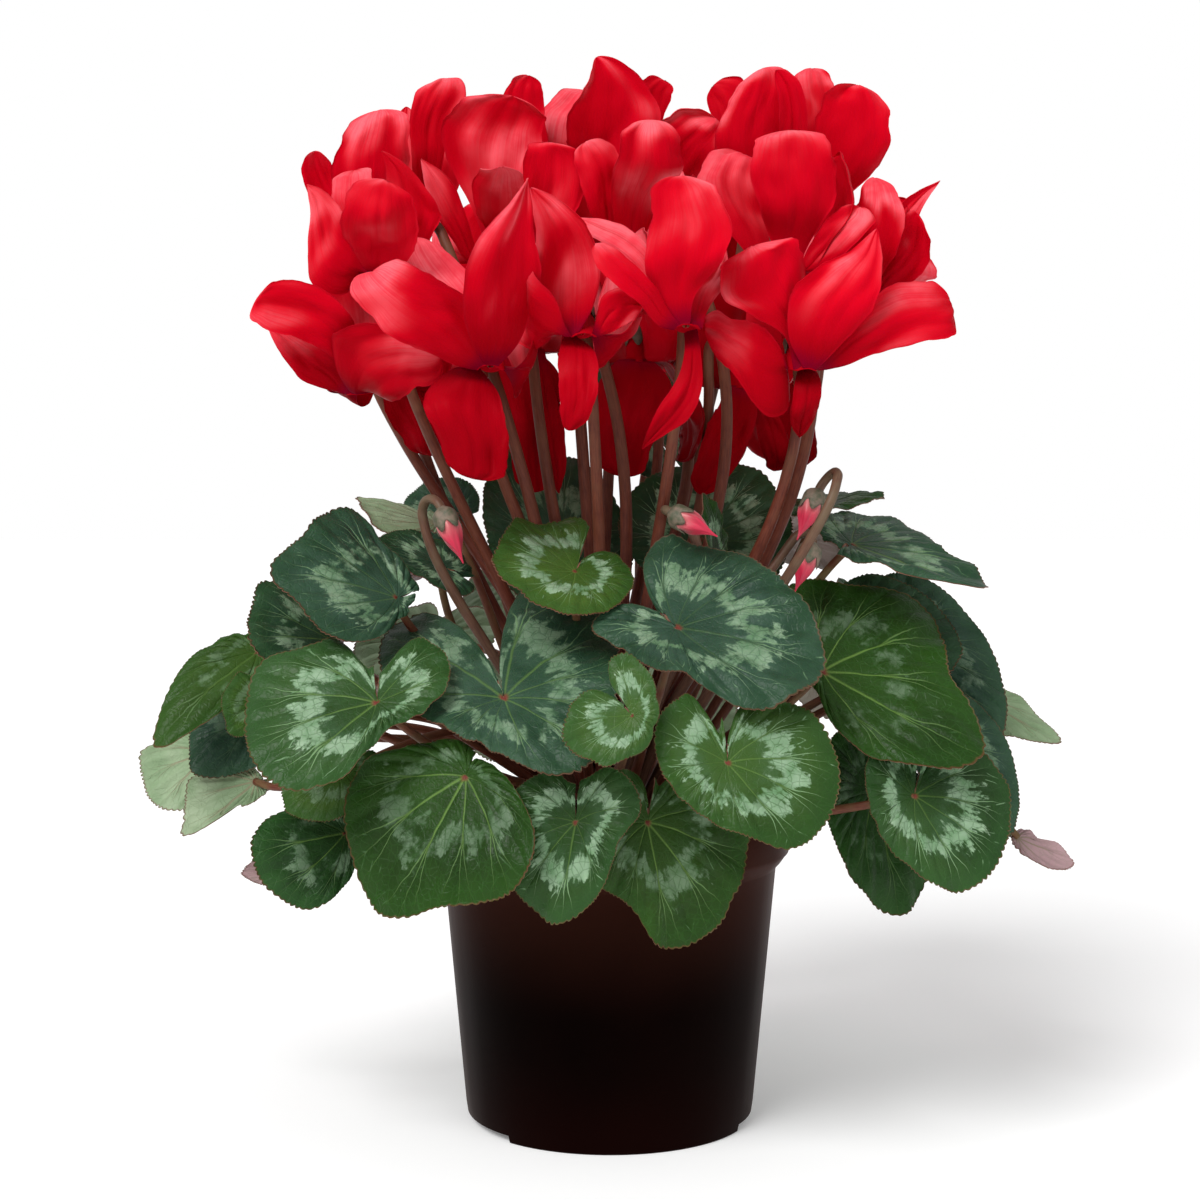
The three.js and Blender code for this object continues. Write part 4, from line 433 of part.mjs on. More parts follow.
// stalk centre lines from the crown outwards
const STALKS = {"Sa:05":[[-5.1,-0.9,107.2],[-8.2,-2.4,119.9],[-17.8,-7.8,147.8],[-51.2,-24.9,221.5],[-63.2,-28.2,247.8],[-72.6,-26.4,271.6],[-77.7,-28.2,274.5],[-81.6,-31.8,271.5]],
  "Sb:01":[[0,0,107.5],[-3.1,-2.5,127.7],[-7,-6.5,146.3],[-11.6,-11.8,163.4],[-21.8,-24.5,193.4],[-39.4,-47.2,240.3],[-41.9,-50,249.9],[-43.1,-50.9,259],[-42.4,-49.1,270.6],[-41.1,-51.5,275.9],[-40.4,-54,277.5],[-39.9,-56.9,278.1],[-39.4,-62.6,276.1]],
  "Sc:02":[[-1.8,-4.9,107.2],[-2.4,-10.2,129.8],[-3.7,-43,205.5],[-4.9,-54.5,237.5],[-5.7,-58,252.8],[-6.7,-59.5,267.1],[-8.4,-58.5,283],[-8.8,-59.4,285.6],[-9.4,-63.6,288.8],[-9.6,-66.3,289.1],[-9.6,-71.2,286.9]],
  "Sd:03":[[3.3,-4,107.2],[4,-6.3,119.3],[7,-16.6,147.9],[16.3,-46.4,213.2],[20.6,-58.4,244.4],[22.3,-61.9,258.4],[23.4,-63.3,270.9],[23.9,-62.3,286.3],[24,-65.7,289.5],[24.1,-72.6,288.4]],
  "Se:04":[[5.1,0.9,107.2],[7.7,-1.4,118.3],[12,-5.7,130.2],[46.3,-40.2,198.4],[57.8,-51.6,228],[61.4,-55.1,243],[63,-56.4,257.9],[61.8,-55.1,275.2],[60.8,-59.9,280],[60.9,-66.4,277.6]],
  "Se:09":[[8,-1.7,119.2],[10,-1.6,132.5],[30.3,-7.4,211.8],[34.3,-9.9,241.9],[35.2,-13.4,278.1],[39.2,-13.1,281.7],[41.9,-12.6,281.8],[46.1,-11.6,278.6],[46.8,-11.2,275.9]],
  "Sf:15":[[-3.3,4,107.2],[-3.3,7.4,156.4],[-1.1,9.3,219.3],[1.5,11.4,263.5],[5,15.1,305.7],[10,22.4,345.1],[11.8,26.3,347.5],[12.8,28.6,347.3],[13.6,30.6,346.1],[14.4,32.8,341.8]],
  "Sf:19":[[-3.5,5.2,119],[-17.8,16.3,162.4],[-37.1,29.6,213.2],[-48.4,37.6,247.8],[-54.9,43,280.4],[-55.5,44.8,297.7],[-56.9,50.1,301.6],[-58.8,55.7,298.7]],
  "Sf:20":[[-3.5,5.3,119.4],[15.5,44.7,214.6],[19.3,55.8,250.4],[19.2,59.1,268.3],[17.3,60.3,285.7],[12.1,59,305.7],[8.7,62,310],[7,64.6,310.9],[5.6,67.5,310.6],[4.4,72.5,307]],
  "Sg:17":[[1.8,4.9,107.2],[17.1,7.9,183.2],[44.2,11.4,292.9],[50.5,11.8,342.3],[53.3,11.9,347.6],[56.1,11.9,348.9],[61.9,12,347.6],[64.7,12,342.3]],
  "Sg:18":[[3.8,5.3,118.6],[45.2,-2.9,189.8],[62.3,-6.2,225.1],[68.9,-7.3,244],[73.3,-7.6,263.8],[75.1,-7.2,284.3],[73.9,-5.5,307.8],[74.9,-5.5,309.6],[78.7,-5.9,311.2],[82.3,-6.5,309.3],[83.2,-6.7,307.4]],
  "Sg:21":[[3.8,5.3,118.4],[29.5,33.6,188],[40.8,44.8,221.4],[45.8,48.5,239],[49.9,50.4,257],[52.9,50,275.6],[55,46.5,296.7],[58.9,49.2,300.9],[62.6,53.7,298.3]],
  "B01:01":[[1,-11,106.2],[6.6,-17,127.6],[22.4,-31.9,168.2],[29.7,-42.5,194],[30.1,-47.2,204.9],[27.6,-51,213.7],[20.1,-54.4,220.4],[18.3,-58.3,221.4],[20.4,-62,220.4]],
  "B02:02":[[10,-4.6,106.2],[13.3,-8,116.8],[19,-14.5,129.5],[43.8,-42.6,173.6],[61,-58.4,202.2],[68,-62.4,214.6],[73.1,-62.5,224.8],[75.8,-57.6,232.3],[75.5,-53.3,233.9],[72.5,-48.1,231.1],[70.2,-48,227.2]],
  "B03:03":[[6.3,-9,106.2],[14.4,-15.8,133.8],[23,-25.1,154.3],[33.3,-34,171.4],[46.3,-39.8,189],[54.1,-40.6,199.3],[64,-39.5,212.2],[67.8,-41.5,212.6],[68.6,-44,209.1]],
  "B04:04":[[-9,-6.3,106.2],[-11.9,-8.9,116.9],[-22.9,-17.2,140.3],[-57.3,-41.5,199.7],[-61.5,-44.5,209.8],[-63.6,-46.2,218.6],[-63,-48.1,223],[-61.9,-49.8,224.4],[-58.9,-53.6,224.5],[-56.3,-56,221.3]],
  "N10:10":[[-8.5,-14.7,103.9],[-34.7,-79.7,159.9]],
  "N11:11":[[13,-10.9,103.9],[71.4,-51.6,166.2]],
  "N13:13":[[17,0,103.9],[32.2,-8.4,110.5],[71.2,-30.5,118],[89.8,-41,124]],
  "N14:14":[[11,1,106.2],[28.3,-7.2,130],[67.3,-22.3,188.5],[76.3,-26.5,200.5],[83.6,-31.1,208.2]],
  "N01:01":[[-4.6,-10,106.2],[-9.7,-33,151.6],[-11.9,-61.2,200.3]],
  "N02:02":[[3,-16.7,103.9],[21.5,-79.7,183.1]],
  "N03:03":[[-3,-16.7,103.9],[-0.1,-48.7,123.6],[6.9,-109,157.9]],
  "N04:04":[[8.5,-14.7,103.9],[14.9,-28.6,120.2],[21.5,-47.3,134.1],[26.1,-64.7,139.4],[36.5,-102.6,142.3]],
  "N05:05":[[-13,-10.9,103.9],[-16.6,-19.3,109.5],[-17.3,-35.9,114.7],[-11.3,-80.3,120.1],[-11.1,-91,121.8]],
  "N06:06":[[-17,0,103.9],[-16.2,-8.8,113.5],[-15.3,-13.5,116.4],[-12.6,-23.6,119.4],[1.6,-58.9,118],[11.7,-79.4,119.9]],
  "N07:07":[[-16,5.8,103.9],[-18.7,-1.6,111.9],[-25.3,-21.3,121.5],[-35.9,-53.8,130.3],[-46.8,-83.4,135.4]],
  "N08:08":[[-13,10.9,103.9],[-20.8,3.8,112.4],[-29.1,-6.6,119.3],[-61.3,-58.5,143.1],[-75.6,-83.6,159.1]],
  "N09:09":[[-11,-1,106.2],[-18.2,-5.3,119.4],[-28.3,-11.8,133.2],[-61.9,-35.8,172.5],[-69.4,-42.7,182.9],[-72.5,-47.7,190.9]],
  "NA:20a":[[-8.5,14.7,103.9],[-24.9,10.2,118.2],[-56.4,-4.7,141.1],[-85.6,-22.7,163.1],[-97.1,-33.8,175.6]],
  "NA:20b":[[-18.6,12.4,113.2],[-42.8,8.6,123.1],[-79.8,-4.3,138.3],[-106.8,-19.1,155.2],[-122.1,-31.6,171.2]],
  "NA:20c":[[-19.5,12.1,113.9],[-29.1,12.6,124.1],[-38.3,10.6,131.3],[-46.8,8.1,136.8],[-62.5,1.1,143.8],[-76.8,-8.4,147.3],[-90.5,-20.7,149.2],[-119.1,-53.6,156.4]],
  "NA:22a":[[-16.5,13,111.4],[-38.4,-7.1,120.6],[-71.3,-40.3,129],[-91.5,-57.6,134.4]],
  "NB:21a":[[-3,16.7,103.9],[-20.7,17.6,120],[-29.4,16.9,125.4],[-46.5,13.5,132.4],[-71.9,4,136.7],[-97.3,-9.4,139.7],[-123.2,-25.6,148.3]],
  "ND:23a":[[-10,4.6,106.2],[-24.1,5.7,133.1],[-52.2,2,204.6],[-58.1,2.8,214.8],[-60.6,4,216.4],[-62.8,5.8,215.3]],
  "ND:23b":[[-17.4,5.6,119],[-20,9.3,127.8],[-42.7,25.3,196.8],[-50.1,27.2,211],[-58.2,26.4,218.7]],
  "ND:23c":[[-15.6,5.5,115.6],[-34.7,3.1,138.8],[-48.3,-1.4,160.4],[-57.9,-8.1,184],[-60.4,-13.8,200.2]],
  "NE:24a":[[9,6.3,106.2],[23.2,8,124.9],[46.2,10.2,161.5],[66.8,12,199.3],[76.2,13.1,220.8]],
  "NE:24b":[[17.9,7.4,117.4],[58.6,-2.7,150.8],[89.2,-15.6,174.1]],
  "NE:24c":[[13.2,6.9,111.2],[43,8.8,130.7],[77.6,7.4,151.1],[98.2,2.3,165.1],[106,-3.8,173.3]],
  "NF:25a":[[16,5.8,103.9],[61.5,6.3,137],[80.7,6.1,147.9],[97.7,6.5,154.9],[120,9.6,157.4],[133,14.3,153.5],[139,17.7,149.9]],
  "NG:26b":[[4.6,10,106.2],[9.5,24.2,138.5],[12,60.4,215.8],[13.8,65.7,234.3],[17.6,66.4,249.6]],
  "NG:26c":[[7,14.7,117.8],[21.2,22.9,149.6],[30.4,26.9,175.4],[35,25.5,197.7],[33.4,20.4,208.3]],
  "NG:27a":[[6.8,14.2,116.8],[-9,25.3,175.2],[-15.8,25.5,197],[-18.4,22.4,206.5]],
  "NI:30a":[[13,10.9,103.9],[34.3,17.7,122.7],[103.3,33.7,178.7]],
  "NI:30b":[[16.9,12.5,107.7],[61.7,54.9,209.1]],
  "NI:36c":[[20.3,13.7,110.8],[104.9,7.4,140]],
  "NJ:31":[[8.5,14.7,103.9],[26.2,30.7,119.2],[86.8,72.8,157]],
  "NJ:32a":[[11.5,18.5,107.6],[37.4,66.2,156.6],[50.6,95.4,182.7]],
  "NJ:32b":[[12.6,19.4,108.6],[23,79.9,140]],
  "NK:33":[[3,16.7,103.9],[-1.3,55.5,138.1],[-1.6,72.4,150.4],[1.1,89.8,159.7],[7.8,112,168.7]],
  "NK:34a":[[1.8,26.9,113.1],[-6.3,45.8,141.1],[-14.3,63.4,162.9],[-23.2,84.8,181.5],[-29.1,101.9,190.2]],
  "NK:34b":[[2.3,23.1,109.7],[-37.4,76.5,144.6]],
  "Sa:06":[[-7.5,-2,117.2],[-19.1,3.5,141.3],[-42.8,13.1,185],[-58.7,16.8,217.1],[-65.4,16.6,233.5],[-70.7,14.4,250],[-74.2,9.8,266.4],[-75.6,2.5,282.4],[-75,-2,286],[-74.3,-4.8,286.2],[-72.6,-9.4,283.3],[-71.5,-10.5,277.8]],
  "Sa:10":[[-8,-2.2,119],[-20.4,-31,193.9],[-29.1,-41,230.7],[-34.6,-43.6,250.4],[-41,-44,271],[-48.6,-41.7,292.5],[-57.3,-36,314.7],[-61.5,-34.5,319.1],[-64.6,-34.2,320],[-70.6,-34.6,318.3],[-74,-36.2,313.3]],
  "Sb:11":[[-3.1,-2.5,127.9],[-23.8,0.9,168.1],[-75.1,11,245.5],[-84.9,13.5,264.2],[-91.7,15.5,282.6],[-94.5,16.8,300.8],[-92.2,17.1,318.6],[-84,16.2,336.2],[-78.5,14.7,340.2],[-72.1,12.1,339.2],[-69.7,10.9,336.8],[-68.3,9.3,330.2]],
  "Sb:12":[[-2,-1.6,120.5],[5.5,-26.1,202.3],[5.5,-30.2,221.1],[4,-33,240.5],[0.6,-33.8,260.4],[-5.3,-32.2,280.7],[-14,-27.6,301.2],[-27.2,-18.8,323.2],[-32.6,-17.5,323.3],[-35.5,-18.2,318.6]],
  "Sc:07":[[-2.5,-10.7,131.2],[-6.3,-12.1,145.9],[-17.6,-27.6,208.4],[-23,-31.2,241.6],[-25.2,-30.7,258.2],[-26.9,-28.3,274.4],[-27.9,-23.4,290.3],[-28.2,-20.2,293.7],[-28.6,-15.5,293.9],[-29,-11.2,288.6]],
  "Sc:13":[[-1.8,-4.9,107.2],[-4.1,-9.9,154.3],[-8.9,-23.6,231.8],[-10.1,-24.9,249.5],[-11.4,-24.4,267.3],[-12.7,-21.5,285.4],[-14,-15.8,304.1],[-15.3,-6.7,323.8],[-16.7,6.2,344.8],[-17.2,11.3,348.3],[-17.7,17.4,347.5],[-18.1,21.4,342.9],[-18.2,22,339.8]],
  "Sd:08":[[3.3,-4,107.2],[7.2,-5.9,145.3],[14.6,-4.4,178.1],[25.7,-0.6,221.1],[28.8,-0.3,247.8],[27.9,-1.6,261.2],[24.9,-4.2,274.9],[19.3,-8.5,289],[16.1,-10.8,292],[14,-12.3,292.1],[10.4,-14.6,289.6],[9.3,-15.2,284.8]],
  "Sd:14":[[4,-6.5,119.9],[8.9,-8.5,134.3],[32.9,-23,202.5],[37.4,-26.2,221.8],[40,-28.9,241.7],[39.9,-30.6,262.1],[36.4,-31.2,282.9],[28.8,-30.4,303.9],[14.7,-27.7,326.8],[7.7,-28,327.3],[4,-29.5,321.4]],
  "Se:16":[[7.9,-1.7,119.1],[14.1,-2.4,132.3],[49.7,-11.5,192.5],[58.1,-14.1,210],[65,-16.7,228.5],[69.6,-19.3,248.1],[71.2,-21.9,268.9],[69.1,-24.5,290.9],[61.9,-27.3,315.6],[58.7,-30.9,317.3],[57.1,-34.2,313.7]],
  "N12:12":[[16,-5.8,103.9],[19.4,-7.3,105.7],[26,-13.7,108.7],[41.7,-35,113.5],[60.1,-51.9,117.6],[77.7,-60.7,121.3],[100.8,-65.6,126.2]],
  "N15:15":[[-16,-5.8,103.9],[-29.3,-10.2,110.3],[-50.8,-19.4,114.2],[-76.2,-33.5,113],[-88.2,-43,111.1],[-90.8,-47.6,110.8]],
  "NB:21b":[[-3,16.7,103.9],[-11.4,18.8,117.9],[-20.1,17.4,128.2],[-28.9,13.2,135.3],[-37.8,6.7,139.6],[-46.8,-1.4,141.5],[-64.7,-19.6,140.2],[-90.9,-42.2,131.7],[-99.3,-45.9,128.9],[-107.4,-46.6,126.9],[-115.2,-43.7,126.1],[-122.6,-36.4,127]],
  "NB:21c":[[-3,16.7,103.9],[-19.1,20.4,115.7],[-34.3,21.2,125],[-61.9,16.5,137],[-85.7,6.4,141.9],[-105.8,-5.6,141.9],[-122.1,-15.5,139.3],[-134.6,-19.7,136.1],[-139.3,-18.5,134.9],[-143.1,-14.5,134.4]],
  "NB:22b":[[-3,16.7,103.9],[-14,21.6,118.8],[-25.1,24.5,128],[-36.1,25.6,132.4],[-46.9,24.9,132.8],[-57.3,22.8,129.9],[-76.4,14.8,118],[-98.9,-4.1,96.7],[-108,-19.1,89.9],[-110.4,-26.8,91.1],[-111.2,-34.4,96.6]],
  "NF:25b":[[20.6,6,107.5],[27,2.3,110.3],[59.6,-8.3,121.1],[103.2,-20.8,132],[121,-23.6,137.9]],
  "NF:25c":[[22.3,6,108.8],[64.9,0.3,116],[100.4,-5.9,116.2],[130.2,-11,111.8],[142.7,-12.5,106.7],[145.8,-12.3,103.5]],
  "NG:26a":[[6.9,14.5,117.3],[7,16.2,137.9],[7.2,14.8,146.8],[8.1,3.6,169.4],[10.8,-7.6,181.6],[17,-19.8,191.9],[27.9,-31.1,200.9],[35.6,-35.8,205]],
  "NL:35":[[-6.3,9,106.2],[-19.4,19.3,140],[-29.5,30.1,155.8],[-43.2,47.4,164.2],[-55.9,64.2,165.9],[-72.6,86.5,164.6]],
  "NL:36a":[[-8.4,10.5,112],[-43.5,15.8,142],[-56.9,20.2,153],[-77.3,34.8,171.1],[-90.2,52.2,184.5]],
  "NL:36b":[[-17.2,12.3,118.9],[-30.8,20.6,132.7],[-47,27.8,140.1],[-69.9,33.9,142.8],[-103.9,37.8,142.1]]};
const LEAF_NODES = [{id:"N01",name:"leaf_01",m:["01"]},
  {id:"N02",name:"leaf_02",m:["02"]},
  {id:"N03",name:"leaf_03",m:["03"]},
  {id:"N04",name:"leaf_04",m:["04"]},
  {id:"N05",name:"leaf_05",m:["05"]},
  {id:"N06",name:"leaf_06",m:["06"]},
  {id:"N07",name:"leaf_07",m:["07"]},
  {id:"N08",name:"leaf_08",m:["08"]},
  {id:"N09",name:"leaf_09",m:["09"]},
  {id:"N10",name:"leaf_10",m:["10"]},
  {id:"N11",name:"leaf_11",m:["11"]},
  {id:"N12",name:"leaf_12",m:["12"]},
  {id:"N13",name:"leaf_13",m:["13"]},
  {id:"N14",name:"leaf_14",m:["14"]},
  {id:"N15",name:"leaf_15",m:["15"]},
  {id:"ND",name:"leaf_group_a",m:["23a","23b","23c"]},
  {id:"NE",name:"leaf_group_b",m:["24a","24b","24c"]},
  {id:"NF",name:"leaf_group_c",m:["25a","25b","25c"]},
  {id:"NI",name:"leaf_group_d",m:["30a","30b","36c"]},
  {id:"NJ",name:"leaf_group_e",m:["31","32a","32b"]},
  {id:"NK",name:"leaf_group_f",m:["33","34a","34b"]},
  {id:"NL",name:"leaf_group_g",m:["35","36a","36b"]},
  {id:"NA",name:"leaf_group_h",m:["20a","20b","20c","22a"]},
  {id:"NB",name:"leaf_group_i",m:["21a","21b","21c","22b"]},
  {id:"NG",name:"leaf_group_j",m:["26a","26b","26c","27a"]}];
const STEM_NODES = [{id:"Sa",name:"flower_stems_a",m:["05","06","10"]},
  {id:"Sb",name:"flower_stems_b",m:["01","11","12"]},
  {id:"Sc",name:"flower_stems_c",m:["02","07","13"]},
  {id:"Sd",name:"flower_stems_d",m:["03","08","14"]},
  {id:"Se",name:"flower_stems_e",m:["04","09","16"]},
  {id:"Sf",name:"flower_stems_f",m:["15","19","20"]},
  {id:"Sg",name:"flower_stems_g",m:["17","18","21"]}];
// stalks that pass close by a piece, which is hollowed a little to clear them
const PASSES = {'11':['Sb:01','Sb:11','Sb:12'],'12':['Sb:01','Sb:11','Sb:12'],'13':['Sc:02','Sc:07','Sc:13'],'14':['Sd:03','Sd:08','Sd:14'],'15':['Sf:15','Sf:19','Sf:20'],'16':['Se:04','Se:09','Se:16'],'17':['Sg:17','Sg:18','Sg:21'],'05':['Sa:05','Sa:06','Sa:10'],'flower_stems_c':['Sb:01','Sb:11','Sb:12'],'leaf_10':['N01:01']};

// ---- leaf blade: a fan of rings round the petiole joint, open at the sinus ----
function bladeRadius(lf, th) {
  const q = (th + 176) / 11, i = Math.max(0, Math.min(31, Math.floor(q))), f = Math.max(0, Math.min(1, q - i));
  const g = (k) => lf.R[Math.max(0, Math.min(32, k))], m0 = (g(i + 1) - g(i - 1)) / 2, m1 = (g(i + 2) - g(i)) / 2, f2 = f * f, f3 = f2 * f;
  return (2 * f3 - 3 * f2 + 1) * g(i) + (f3 - 2 * f2 + f) * m0 + (3 * f2 - 2 * f3) * g(i + 1) + (f3 - f2) * m1;
}
function bladePoint(lf, rn, th) {
  const [droop, back, across, funnel, ruffle, ruffles, phase, width] = lf.S;
  const R = bladeRadius(lf, th) * rn, t = rad(th), X = R * Math.cos(t), Y = R * Math.sin(t) * width;
  const r2 = X * X + Y * Y, r = Math.sqrt(r2);
  const h = (X > 0 ? -droop * X * X : -back * X * X) + across * Y * Y + funnel * r * (1 - 0.45 * r) + ruffle * r2 * Math.sin(ruffles * t + phase);
  const Yv = cross(lf.N, lf.X);
  return [0, 1, 2].map((k) => lf.A[k] + (lf.X[k] * X + Yv[k] * Y + lf.N[k] * h) * lf.L);
}
function bladeGrid(lf, steps, rings) {
  const g = [[lf.A]];
  for (const r of rings) g.push(Array.from({ length: steps + 1 }, (_, i) => bladePoint(lf, r, -176 + (352 * i) / steps)));
  return g;
}

// ---- petal: a cupped sheet between two margin curves ----
const STATIONS = [0, 0.2, 0.42, 0.64, 0.82, 0.94, 1];
const curve = (P, s) => [0, 1, 2].map((k) => table(STATIONS, P.map((p) => p[k]), s));
function petalPoint(q, s, v) {
  const l = curve(q.l, s), r = curve(q.r, s), s0 = Math.max(0, s - 0.02), s1 = Math.min(0.995, s + 0.02);
  const along = sub(mix(curve(q.l, s1), curve(q.r, s1), 0.5), mix(curve(q.l, s0), curve(q.r, s0), 0.5)), w = sub(r, l);
  return add(mix(l, r, (v + 1) / 2), mul(nrm(cross(w, along)), q.b * (1 - v * v) * len(w) * Math.min(1, 4 * s)));
}
function petalGrid(q) {
  const g = [0, 0.3, 0.7].map((s) => [-1, 0, 1].map((v) => petalPoint(q, s, v)));
  g.push([q.l[6]]);
  return g;
}

// ---- closed shell of even thickness round a grid of mid points ----
function shell(g, thick) {
  const ni = g.length, nj = g[1].length, at = (i, j) => (g[i].length === 1 ? g[i][0] : g[i][j]), n = [];
  for (let i = 0; i < ni; i++) {
    const row = [];
    for (let j = 0; j < nj; j++) {
      const i0 = Math.max(0, i - 1), i1 = Math.min(ni - 1, i + 1), j0 = Math.max(0, j - 1), j1 = Math.min(nj - 1, j + 1);
      const k = g[i].length === 1 ? (i ? i - 1 : i + 1) : i;
      row.push(nrm(cross(sub(at(i1, j), at(i0, j)), sub(at(k, j1), at(k, j0)))));
    }
    n.push(g[i].length === 1 ? [nrm(row.reduce(add))] : row);
  }
  const v = [], id = [[], []], t = [];
  for (const s of [0, 1]) for (let i = 0; i < ni; i++) id[s].push(g[i].map((p, j) => v.push(add(p, mul(n[i][j], ((s ? 1 : -1) * thick) / 2))) - 1));
  const I = (s, i, j) => (id[s][i].length === 1 ? id[s][i][0] : id[s][i][j]);
  const tri = (a, b, c) => { if (a !== b && b !== c && a !== c) t.push([a, b, c]); };
  for (let i = 0; i + 1 < ni; i++) for (let j = 0; j + 1 < nj; j++) {
    tri(I(1, i, j), I(1, i + 1, j), I(1, i + 1, j + 1)); tri(I(1, i, j), I(1, i + 1, j + 1), I(1, i, j + 1));
    tri(I(0, i, j), I(0, i + 1, j + 1), I(0, i + 1, j)); tri(I(0, i, j), I(0, i, j + 1), I(0, i + 1, j + 1));
  }
  const loop = [];
  for (let i = 0; i < ni; i++) loop.push([i, 0]);
  if (g[ni - 1].length > 1) for (let j = 1; j < nj; j++) loop.push([ni - 1, j]);
  for (let i = ni - 2; i >= 0; i--) loop.push([i, nj - 1]);
  if (g[0].length > 1) for (let j = nj - 2; j > 0; j--) loop.push([0, j]); else loop.pop();
  loop.forEach(([a, b], k) => {
    const [c, d] = loop[(k + 1) % loop.length], p0 = I(0, a, b), p1 = I(1, a, b), q0 = I(0, c, d), q1 = I(1, c, d);
    tri(p1, p0, q0); tri(p1, q0, q1);
  });
  const geometry = new THREE.BufferGeometry();
  geometry.setAttribute('position', new THREE.BufferAttribute(Float32Array.from(v.flat()), 3));
  geometry.setIndex(t.flat());
  return solidOf(geometry);
}

// ---- a mesh with merged corners becomes a solid; one that faces inwards is turned ----
function solidOf(geometry) {
  geometry.deleteAttribute('normal');
  geometry.deleteAttribute('uv');
  const g = mergeVertices(geometry, 1e-4), p = g.getAttribute('position').array, ix = g.index.array, t = [];
  let volume = 0;
  for (let i = 0; i < ix.length; i += 3) {
    const [a, b, c] = [ix[i], ix[i + 1], ix[i + 2]];
    if (a === b || b === c || a === c) continue;
    t.push(a, b, c);
    const [A, B, C] = [a, b, c].map((k) => [p[3 * k], p[3 * k + 1], p[3 * k + 2]]);
    volume += dot(A, cross(B, C)) / 6;
  }
  if (volume < 0) for (let i = 0; i < t.length; i += 3) [t[i + 1], t[i + 2]] = [t[i + 2], t[i + 1]];
  return new Manifold(new SolidMesh({ numProp: 3, vertProperties: new Float32Array(p), triVerts: new Uint32Array(t) }));
}

// ---- stalk centre line: a ring at every knot, tapering from r0 to r1 ----
class StalkCurve extends THREE.Curve {
  constructor(points, r0, r1) { super(); this.p = points.map((q) => new THREE.Vector3(...q)); this.r0 = r0; this.r1 = r1; }
  getPoint(t, target = new THREE.Vector3()) {
    const n = this.p.length - 1, k = Math.min(n - 1, Math.floor(t * n + 1e-9));
    return target.lerpVectors(this.p[k], this.p[k + 1], t * n - k);
  }
  getPointAt(u, target) { return this.getPoint(u, target); }
  getTangentAt(u, target = new THREE.Vector3()) {
    const n = this.p.length - 1, k = Math.round(u * n);
    return target.subVectors(this.p[Math.min(n, k + 1)], this.p[Math.max(0, k - 1)]).normalize();
  }
  getTangent(u, target) { return this.getTangentAt(u, target); }
  computeFrenetFrames(n, closed) {
    const f = super.computeFrenetFrames(n, closed);
    for (let i = 0; i <= n; i++) {
      const r = this.r0 + ((this.r1 - this.r0) * i) / n;
      f.normals[i].multiplyScalar(r);
      f.binormals[i].multiplyScalar(r);
    }
    return f;
  }
}
function stalk(points, r0, r1, sides) {
  const section = new THREE.Shape(Array.from({ length: sides }, (_, i) => new THREE.Vector2(Math.cos((2 * Math.PI * i) / sides), Math.sin((2 * Math.PI * i) / sides))));
  return solidOf(new THREE.ExtrudeGeometry(section, { steps: points.length - 1, bevelEnabled: false, extrudePath: new StalkCurve(points, r0, r1) }));
}

// ---- body of revolution: [radius, height] pairs from the axis round and back to it ----
function turned(profile, sides, at = [0, 0, 0], axis = [0, 0, 1], spin = 0) {
  const g = new THREE.LatheGeometry(profile.map(([r, z]) => new THREE.Vector2(r, z)), sides);
  g.rotateY(spin).applyQuaternion(new THREE.Quaternion().setFromUnitVectors(new THREE.Vector3(0, 1, 0), new THREE.Vector3(...axis)));
  return solidOf(g.translate(...at));
}

const join = (list) => list.slice(1).reduce((a, b) => a.add(b), list[0]);

const group = new THREE.Group();
group.name = 'potted_cyclamen';
function place(name, body, colour, roughness, metalness = 0) {
  const m = body.getMesh(), n = m.numProp, pos = new Float32Array((m.vertProperties.length / n) * 3);
  for (let i = 0; i < pos.length / 3; i++) for (let k = 0; k < 3; k++) pos[3 * i + k] = m.vertProperties[n * i + k];
  const g = new THREE.BufferGeometry();
  g.setAttribute('position', new THREE.BufferAttribute(pos, 3));
  g.setIndex(Array.from(m.triVerts));
  g.computeVertexNormals();
  const mesh = new THREE.Mesh(g, new THREE.MeshStandardMaterial({ color: colour, roughness, metalness, side: THREE.DoubleSide }));
  mesh.name = name;
  group.add(mesh);
}

// ---- pot ----
const potProfile = [
  [0, 0], [PAD_R, 0], [PAD_R + 0.8, FLOOR_Z], [FOOT_R - 2.6, FLOOR_Z], [FOOT_R - 2.1, 0], [FOOT_R - 0.6, 0], [FOOT_R, 0.7], [WALL_FOOT_R, WALL_FOOT_Z], [NECK_R, NECK_Z], [RIM_R - 0.5, RIM_BAND_Z - 1.3], [RIM_R, RIM_BAND_Z], [RIM_R, POT_HEIGHT],
  [RIM_R - POT_WALL, POT_HEIGHT], [RIM_R - POT_WALL - 0.2, RIM_BAND_Z + 0.6], [NECK_R - POT_WALL, NECK_Z + 0.6],
  [WALL_FOOT_R - POT_WALL - 0.1, WALL_FOOT_Z + 1.2], [FOOT_R - 1.4, 6], [FOOT_R - 2.4, FLOOR_Z + FLOOR_T], [0, FLOOR_Z + FLOOR_T],
];
let pot = turned(potProfile, POT_SIDES);
for (let i = 0; i < DRAIN_COUNT; i++) {
  const a = (2 * Math.PI * (i + 0.5)) / DRAIN_COUNT;
  const hole = new THREE.CylinderGeometry(DRAIN_R, DRAIN_R, 8, 8).rotateX(Math.PI / 2).translate(DRAIN_AT * Math.cos(a), DRAIN_AT * Math.sin(a), FLOOR_Z);
  pot = pot.subtract(solidOf(hole));
}
for (const at of FOOT_SLOT_AT) {
  pot = pot.subtract(solidOf(new THREE.BoxGeometry(12, FOOT_SLOT_W, 2 * FOOT_SLOT_H).translate(FOOT_R - 2, 0, 0).rotateZ((Math.PI * at) / 180)));
}
place('pot', pot, 0x2a1a16, 0.45);

